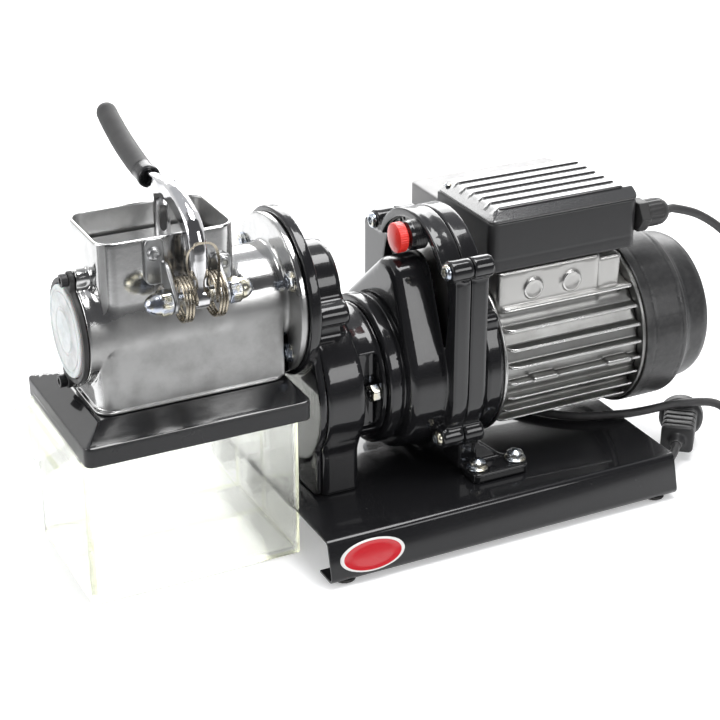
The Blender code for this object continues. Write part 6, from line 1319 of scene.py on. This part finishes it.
for side in (1, -1):
    ear = strap(ring_mould.y, ring_mould.z, ear_place(side), EAR_RADIUS, ear_place(side, 0.9), EAR_RADIUS)
    ring_mould.add(pressed(np.maximum(ear, 0.0345 - reach), ring_mould.x, low[0], high[0], 0.0008), 0.003)
    ring_mould.carve(ring_mould.rod(ear_place(side), EAR_HOLE, -0.2, 0))
cast("ring_moulding", ring_mould, black_nylon, "machine", "end_cap_ring")
blackened = Finish("blackened_steel", (0.03, 0.03, 0.032), 0.34, 0.6)
# Painted highlight: the screws' edges are painted a paler grey.
blackened.feed(roughness=blackened.cloud(300, 3) * 0.25 + 0.25,
               base_color=blackened.mix(blackened.edges() * 0.6, (0.028, 0.028, 0.03, 1),
                                        (0.22, 0.21, 0.20, 1)))
blackened.relief(blackened.cloud(1500, 2), 0.00004)
for i in range(2):
    low, high = span(f"cap_screw_{i + 1}")
    socket = Mould(low, (low[0] + SOCKET_STEM_END, high[1], high[2]), 0.0002)
    socket_y, socket_z = socket.y - (low[1] + high[1]) / 2, socket.z - (low[2] + high[2]) / 2
    reach = np.hypot(socket_y, socket_z)
    knurl = KNURL_DEPTH * (0.5 + 0.5 * np.cos(KNURLS * np.arctan2(socket_z, socket_y)))
    socket.add(pressed(reach - SOCKET_RADIUS + knurl, socket.x, low[0], low[0] + SOCKET_LENGTH, 0.0004))
    socket.add(pressed(reach - 0.003, socket.x, low[0] + 0.004, low[0] + SOCKET_STEM_END))
    socket.carve(pressed(hexed(socket_y, socket_z, SOCKET_HEX), socket.x, low[0] - 0.001, low[0] + 0.0026))
    cast(f"socket_screw_{i + 1}", socket, blackened, "machine", f"cap_screw_{i + 1}")

# Drawer frame: a black vacuum-formed tray under the head's foot, glossy on its slopes and grey on its skirt.
# The drawer below it is welded from clear acrylic, with a folded flap along its outer end as a handle.
TRAY_MIDDLE = (-0.07725, 0)
TRAY_HALF = (0.08625, 0.0677)
TRAY_TOP = 0.1387
TRAY_BOTTOM = 0.115
TRAY_RIM_Z = 0.130
TRAY_SLOPE_DROP = 0.0087
TRAY_SLOPE_FRONT = 0.0242
TRAY_SLOPE_LEFT = 0.0190
TRAY_SLOPE_RIGHT = 0.0070
TRAY_WALL = 0.003
DRAWER_MIDDLE = (-0.0805, 0)
DRAWER_HALF = (0.0825, 0.05865)
DRAWER_WALL = 0.004
CORNER_STEPS = 5
FLAP_HALF = 0.051
low, high = span("drawer_frame")
tray = Mould((low[0] - 0.006, low[1], low[2]), high, CASTING_CELL)
tray_shape = np.maximum(plate(tray.x, tray.y, TRAY_MIDDLE, *TRAY_HALF, 0.006), tray.z - TRAY_TOP)
for run, rise in ((np.abs(tray.y) - TRAY_HALF[1], TRAY_SLOPE_FRONT),
                  (TRAY_MIDDLE[0] - TRAY_HALF[0] - tray.x, TRAY_SLOPE_LEFT),
                  (tray.x - (TRAY_MIDDLE[0] + TRAY_HALF[0]), TRAY_SLOPE_RIGHT)):
    slope = (run * TRAY_SLOPE_DROP + (tray.z - TRAY_RIM_Z) * rise) / hypot(rise, TRAY_SLOPE_DROP)
    tray_shape = np.maximum(tray_shape, slope)
tray.add(np.maximum(tray_shape, TRAY_BOTTOM - tray.z))
tray.carve(np.maximum(tray_shape + TRAY_WALL, 0.110 - tray.z))
tray.carve(pressed(plate(tray.x, tray.y, CHUTE_MIDDLE, CHUTE_OPENING, 0.034, 0.003), tray.z, 0.12, 0.15))
tray.carve(tray.rod(ROLLER, 0.0606, 0.0044, 0.02))
formed = Finish("formed_black", (0.014, 0.014, 0.015), 0.2, coat_roughness=0.04, specular_ior_level=0.3)
skirt_share = 1 - formed.split(formed.place)[2].between(0.1295, 0.1305)
patches = formed.cloud(30, 5, 0.6)
formed.feed(coat_weight=1 - skirt_share,
            base_color=formed.mix(skirt_share, (0.014, 0.014, 0.015, 1), (0.026, 0.026, 0.027, 1)),
            roughness=skirt_share * 0.15 + patches * 0.22 + 0.04)
formed.relief(formed.cloud(70, 2), 0.0003)
cast("formed_tray", tray, formed, "machine", "drawer_frame", 2)


def rounded_ring(bm, inset, z, corner):
    """A loop of points round the drawer, drawn in by an inset."""
    half = (DRAWER_HALF[0] - inset, DRAWER_HALF[1] - inset)
    ring = []
    for i, (side_x, side_y) in enumerate(((1, 1), (-1, 1), (-1, -1), (1, -1))):
        middle = (DRAWER_MIDDLE[0] + side_x * (half[0] - corner), side_y * (half[1] - corner))
        turned_corner = arc(middle, corner, i * pi / 2, (i + 1) * pi / 2, CORNER_STEPS)
        ring += [bm.verts.new((x, y, z)) for x, y in turned_corner]
    return ring


drawer_bm = bmesh.new()
levels = ((0.0006, 0.0, 0.0024), (0.0, 0.0006, 0.003), (0.0, 0.1126, 0.003), (0.0004, 0.113, 0.0026),
          (DRAWER_WALL - 0.0004, 0.113, 0.0014), (DRAWER_WALL, 0.1126, 0.001),
          (DRAWER_WALL, DRAWER_WALL + 0.001, 0.001), (DRAWER_WALL + 0.001, DRAWER_WALL, 0.0008))
rings = [rounded_ring(drawer_bm, *level) for level in levels]
for outer, inner in zip(rings, rings[1:]):
    for i in range(len(outer)):
        j = (i + 1) % len(outer)
        drawer_bm.faces.new((outer[i], outer[j], inner[j], inner[i]))
drawer_bm.faces.new(rings[0][::-1])
drawer_bm.faces.new(rings[-1])
drawer_mesh = made(drawer_bm, "acrylic_box", 0, 0.5)
flap = [(-0.163, 0.1134), (-0.159, 0.1134), (-0.159, 0.1185), (-0.1602, 0.1212), (-0.162, 0.1220),
        (-0.164, 0.1216), (-0.1872, 0.1085), (-0.1875, 0.1073), (-0.1868, 0.1048), (-0.1855, 0.1040),
        (-0.163, 0.1165)]
flap_mesh = made(prism(flap, -FLAP_HALF, FLAP_HALF, "Y"), "acrylic_flap", 0.0003, 0.5)
acrylic = Finish("clear_acrylic_sheet", (0.93, 0.96, 0.88), 0.03, transmission_weight=1.0, ior=1.46)
scratches = acrylic.cloud(260, 4, 0.7, (1, 1, 0.3)).between(0.55, 0.8)
at_x, at_y, at_z = acrylic.split(acrylic.place)
end = (abs(at_x - (DRAWER_MIDDLE[0] + left)) - DRAWER_HALF[0] + DRAWER_WALL).between(-0.0004, 0.0004)
side = (abs(at_y) - DRAWER_HALF[1] + DRAWER_WALL).between(-0.0004, 0.0004)
# Painted light: the sheets' cut edges and rims are painted yellow-green, as the glow of light carried inside
# the sheet.
painted_glow_rim = (at_z.between(0.1118, 0.1124) * (1 - at_z.between(0.1136, 0.1140))).high(end * side)
painted_glow_rim = painted_glow_rim.high((1 - at_z.between(0.0036, 0.0046)) * end.high(side))
sheet_colour = acrylic.mottle(25, 3, (0.98, 0.985, 0.965), (0.965, 0.975, 0.94))
acrylic.feed(base_color=acrylic.mix(painted_glow_rim, sheet_colour, (0.76, 0.79, 0.52, 1)),
             roughness=scratches * 0.12 + painted_glow_rim * 0.15 + 0.02)
acrylic.relief(scratches, 0.00003)
clear = acrylic.node("BsdfTransparent", values={"Color": (0.985, 0.99, 0.975, 1)})
blend = acrylic.node("MixShader", values={0: scratches * 0.1 + painted_glow_rim * 0.3 + 0.55, 1: clear,
                                          2: Tone(acrylic, acrylic.shader.outputs[0])})
acrylic.tree.links.new(blend.socket, acrylic.tree.nodes["Material Output"].inputs["Surface"])
fit("acrylic_box", drawer_mesh, acrylic, "drawer", ("drawer_box",))
fit("acrylic_flap", flap_mesh, acrylic, "drawer")

# Lever pivot: two bent zinc-plated brackets bolted to the hopper's front, a rod through their ears, and a
# domed cap nut on each end of the rod.
PIVOT = (-0.071, -0.056, 0.224)
ROD_HOLE = 0.0053
EAR_SPAN = 0.0205
EAR_SHEET = 0.003
BRACKET_EAR_RADIUS = 0.009
TAB_HALF = 0.0072
TAB_Y = (-0.0394, -0.0359)
TAB_BOLT_RADIUS = 0.0048
TAB_BOLT_CURVE = 0.0063
ACORN_RADIUS = 0.0095
ACORN_LENGTH = 0.0195
ACORN_HEX_LENGTH = 0.009
ACORN_GAP = 0.0003
brushed = Finish("brushed_zinc", (0.50, 0.51, 0.52), 0.34, 1.0)
grain = brushed.cloud(500, 4, 0.6, (0.15, 1, 1))
brushed.feed(base_color=brushed.mottle(90, 4, (0.54, 0.55, 0.56), (0.40, 0.40, 0.40)),
             roughness=grain * 0.25 + 0.22 - brushed.edges() * 0.1)
brushed.relief(grain, 0.00006)
for word, side in (("left", -1), ("right", 1)):
    bracket = Mould(*span(f"pivot_bracket_{word}"), 0.0005)
    ears = sorted((PIVOT[0] + side * (EAR_SPAN - EAR_SHEET), PIVOT[0] + side * EAR_SPAN))
    ear = strap(bracket.y, bracket.z, PIVOT[1:], BRACKET_EAR_RADIUS, (-0.0435, 0.2385 - side * 0.0015), 0.008)
    bracket.add(pressed(np.maximum(ear, bracket.y - TAB_Y[1]), bracket.x, *ears, 0.0004))
    tab_x = PIVOT[0] + side * (EAR_SPAN + 0.0042)
    tab_middle = (tab_x, 0.2415 - side * 0.0065)
    tab = plate(bracket.x, bracket.z, tab_middle, TAB_HALF, 0.0135 - side * 0.0035, 0.005)
    bracket.add(pressed(tab, bracket.y, *TAB_Y, 0.0004), 0.0012)
    from_bolt_x = bracket.x - (tab_x + side * 0.0007)
    from_bolt_z = bracket.z - (0.2465 - side * 0.0075)
    reach = np.hypot(from_bolt_x, from_bolt_z)
    bolt_sides = np.maximum(reach - TAB_BOLT_RADIUS, np.maximum(bracket.y + 0.038, -0.0439 - bracket.y))
    bracket.add(np.maximum(np.sqrt(reach ** 2 + (bracket.y + 0.0372) ** 2) - TAB_BOLT_CURVE, bolt_sides))
    bracket.carve(pressed(hexed(from_bolt_x, from_bolt_z, SOCKET_HEX), bracket.y, -0.06, -0.0420))
    bracket.carve(bracket.rod(PIVOT[1:], ROD_HOLE, -1, 1))
    cast(f"hopper_bracket_{word}", bracket, brushed, "machine", f"pivot_bracket_{word}")
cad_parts["pivot_rod"].data.materials[0] = zinc.material
acorn = Mould((0, -ACORN_RADIUS, -ACORN_RADIUS), (ACORN_LENGTH, ACORN_RADIUS, ACORN_RADIUS), 0.0004)
reach = np.hypot(acorn.y, acorn.z)
acorn.add(pressed(hexed(acorn.y, acorn.z, ACORN_RADIUS), acorn.x, 0, ACORN_HEX_LENGTH))
acorn.trim(reach - 0.0093 + np.maximum(np.abs(acorn.x - 0.0045) - 0.0036, 0))
acorn.add(acorn.spun([(0.005, 0), (0.005, 0.0078), (0.0100, 0.0078), (0.0135, 0.0071), (0.0165, 0.0054),
                      (0.0185, 0.0032), (ACORN_LENGTH, 0.0004), (ACORN_LENGTH, 0)], (0, 0)), 0.0006)
acorn.carve(pressed(reach - ROD_HOLE, acorn.x, -0.001, 0.0095))
acorn.ease(1)
acorn_mesh = acorn.skin("cap_nut")
plated = Finish("passivated_zinc", (0.60, 0.60, 0.55), 0.2, 1.0)
plated.feed(base_color=plated.mix(plated.cloud(110, 3).between(0.4, 0.62), (0.66, 0.63, 0.50, 1),
                                  (0.52, 0.56, 0.66, 1)),
            roughness=plated.cloud(300, 3) * 0.2 + 0.1)
plated.relief(plated.cloud(1200, 2), 0.00003)
again(acorn_mesh, "cap_nut_right", (PIVOT[0] + EAR_SPAN + ACORN_GAP, *PIVOT[1:]), plated, "machine",
      ("acorn_nut_2",))
acorn_mesh.transform(Matrix.Rotation(pi, 4, "Z"))
again(acorn_mesh, "cap_nut_left", (PIVOT[0] - EAR_SPAN - ACORN_GAP, *PIVOT[1:]), plated, "machine",
      ("acorn_nut_1",))

# Lever: a chromed casting whose hub turns on the rod, with a second leg that carries the polished presser.
# Its grip is dark rubber behind a glossy flared collar, and a double torsion spring lifts it.
ARM = ((-0.071, -0.056, 0.22825), (-0.071, -0.056, 0.2410), (-0.0715, -0.056, 0.2620),
       (-0.072, -0.046, 0.2770), (-0.073, -0.022, 0.2870), (-0.074, 0.002, 0.2875), (-0.075, 0.0205, 0.2865))
ARM_RADIUS = 0.0064
ARM_SWELL = 0.0016
ARM_TAPER = 0.0006
ARM_FLAT = 0.0072
STEM = ((-0.071, -0.004, 0.2865), (-0.071, 0.007, 0.2785), (-0.071, 0.011, 0.2665), (-0.071, 0.011, 0.2463))
STEM_RADIUS = 0.006
HUB_RADIUS = 0.0085
HUB_HALF = 0.0058
PRESSER_TOP = 0.246
PRESSER_BACK = 0.0285
PRESSER_HOLLOW = 0.033
PRESSER_SWEEP = 0.0498
GRIP = ((-0.0755, 0.042, 0.2895), (-0.0760, 0.072, 0.2975), (-0.0765, 0.096, 0.3075),
        (-0.0766, 0.10325, 0.3114))
GRIP_RADIUS = 0.0078
GRIP_SWELL = 0.0004
GRIP_GAP = 0.0003
COLLAR_FLARE = ((0.0035, 0.0086), (0.0062, 0.0082), (0.010, 0.0075))


def rope(mould, points, radii):
    """A bar along points, its radius changing evenly between theirs."""
    nearest = None
    for a, b, radius_a, radius_b in zip(points, points[1:], radii, radii[1:]):
        run = [b[i] - a[i] for i in range(3)]
        offset = [axis - a[i] for i, axis in enumerate((mould.x, mould.y, mould.z))]
        share = sum(offset[i] * run[i] for i in range(3)) / sum(step * step for step in run)
        share = np.clip(share, 0, 1)
        gap = sum((offset[i] - run[i] * share) ** 2 for i in range(3))
        bar = np.sqrt(gap) - (radius_a + (radius_b - radius_a) * share)
        nearest = bar if nearest is None else np.minimum(nearest, bar)
    return nearest


chrome = Finish("chromed_steel", (0.72, 0.72, 0.73), 0.08, 1.0)
chrome.feed(base_color=chrome.mottle(60, 3, (0.76, 0.76, 0.77), (0.62, 0.62, 0.63)),
            roughness=chrome.cloud(200, 4).between(0.45, 0.85) * 0.18 + 0.05)
chrome.relief(chrome.cloud(140, 2), 0.00008)
low, high = span("lever_arm")
arm = Mould(low - 0.003, high + 0.003, 0.0005)
arm_path = smooth_path(ARM, 0.006, straight=False)
arm_shares = [i / (len(arm_path) - 1) for i in range(len(arm_path))]
arm_radii = [ARM_RADIUS + ARM_SWELL * sin(pi * share) - ARM_TAPER * share for share in arm_shares]
arm.add(np.maximum(rope(arm, arm_path, arm_radii), np.abs(arm.x - PIVOT[0]) - ARM_FLAT))
stem_path = smooth_path(STEM, 0.005, straight=False)
arm.add(rope(arm, stem_path, [STEM_RADIUS] * len(stem_path)), 0.008)
arm.add(arm.rod(PIVOT[1:], HUB_RADIUS, PIVOT[0] - HUB_HALF, PIVOT[0] + HUB_HALF, 0.0006), 0.003)
# The second leg is cut level where the presser meets it, and the hub in front of it is spared
arm.trim(STEM[-1][2] - arm.z - 1000 * (arm.y < -0.03))
arm.carve(arm.rod(PIVOT[1:], ROD_HOLE, -1, 1))
cast("chrome_lever", arm, chrome, "lever", "lever_arm")
low, high = span("presser")
press = Mould(low, high, 0.0006)
swept = np.maximum(-disc(press.y, press.z, PIVOT[1:], PRESSER_SWEEP),
                   PRESSER_HOLLOW - np.hypot(press.y, press.z - ROLLER[1]))
swept = np.maximum(swept, np.maximum(press.y - PRESSER_BACK, press.z - PRESSER_TOP))
press.add(pressed(swept, press.x, low[0], high[0], 0.0008))
cast("chrome_presser", press, polished, "lever", "presser")
grip_mould = Mould(*span("lever_grip"), 0.0005)
start = Vector(ARM[-1])
run = (Vector(GRIP[0]) - start).normalized()
grip_path = smooth_path([start + run * GRIP_GAP] + [Vector(p) for p in GRIP], 0.006, straight=False)
grip_shares = [i / (len(grip_path) - 1) for i in range(len(grip_path))]
grip_radii = [GRIP_RADIUS + GRIP_SWELL * sin(pi * share) for share in grip_shares]
grip_mould.add(rope(grip_mould, grip_path, grip_radii))
flare_path = [start + run * distance for distance, radius in COLLAR_FLARE]
grip_mould.add(rope(grip_mould, flare_path, [radius for distance, radius in COLLAR_FLARE]), 0.001)
away = sum((axis - start[i]) * run[i] for i, axis in enumerate((grip_mould.x, grip_mould.y, grip_mould.z)))
grip_mould.trim(GRIP_GAP - away)
socket = rope(grip_mould, [start - run * 0.01, start + run * 0.003], (0.0062, 0.0058))
grip_mould.carve(np.maximum(socket, away - 0.003), 0.0004)
grip_rubber = Finish("grip_rubber", (0.03, 0.03, 0.031), 0.55)
sleeve = grip_rubber.split(grip_rubber.place)[1].between(0.0335, 0.0345)
rubber_colour = grip_rubber.mottle(120, 4, (0.030, 0.030, 0.031), (0.060, 0.059, 0.058))
grip_rubber.feed(base_color=grip_rubber.mix(sleeve, (0.012, 0.012, 0.013, 1), rubber_colour),
                 roughness=sleeve * 0.38 + grip_rubber.cloud(200, 3) * 0.15 + 0.12)
grip_rubber.relief(grip_rubber.cloud(1200, 2) * sleeve, 0.00010)
cast("grip_sleeve", grip_mould, grip_rubber, "lever", "lever_grip", 2)

# Torsion spring: one length of yellow-passivated steel wire, wound into a coil on each side of the hub.
# Its two inner ends meet in a bail that leans on the lever's bar.
SPRING_WIRE = 0.0010
SPRING_RADIUS = 0.0155
SPRING_PITCH = 0.0024
SPRING_CURLS = 3.5
SPRING_STEPS = 24
SPRING_REACH = 0.016
BAIL = (-0.0656, 0.266)
BAIL_HALF = 0.0115
half_spring = []
for i in range(round(SPRING_CURLS * SPRING_STEPS) + 1):
    share = i / (SPRING_CURLS * SPRING_STEPS)
    turn = pi - 2 * pi * SPRING_CURLS * (1 - share)
    half_spring.append(Vector((SPRING_REACH - SPRING_CURLS * SPRING_PITCH * share,
                               PIVOT[1] + SPRING_RADIUS * cos(turn), PIVOT[2] + SPRING_RADIUS * sin(turn))))
inner = SPRING_REACH - SPRING_CURLS * SPRING_PITCH
bail_y = BAIL[0] - SPRING_WIRE
leg = half_spring[-2:] + [Vector(p) for p in (
    (inner, PIVOT[1] - SPRING_RADIUS, PIVOT[2] + SPRING_RADIUS / 2),
    (BAIL_HALF, bail_y, BAIL[1] - SPRING_RADIUS), (BAIL_HALF * 0.9, BAIL[0], BAIL[1] - SPRING_RADIUS / 3),
    (BAIL_HALF / 2, bail_y, BAIL[1]), (0, bail_y, BAIL[1] + SPRING_WIRE), (-BAIL_HALF / 2, bail_y, BAIL[1]))]
half_spring += [p for p in smooth_path(leg, 0.001) if p.x >= 0 and p.z > PIVOT[2] + 0.001]
spring_path = ([Vector((PIVOT[0] - p.x, p.y, p.z)) for p in half_spring]
               + [Vector((PIVOT[0] + p.x, p.y, p.z)) for p in half_spring[::-1]])
spring_wire = Finish("spring_wire", (0.62, 0.55, 0.42), 0.26, 1.0)
spring_wire.feed(base_color=spring_wire.mottle(160, 3, (0.52, 0.47, 0.37), (0.34, 0.30, 0.25)),
                 roughness=spring_wire.cloud(500, 3) * 0.25 + 0.14)
spring_wire.relief(spring_wire.cloud(1500, 2), 0.00003)
tube("torsion_spring", spring_path, SPRING_WIRE, spring_wire, "lever", ("lever_spring",),
     sides=8)
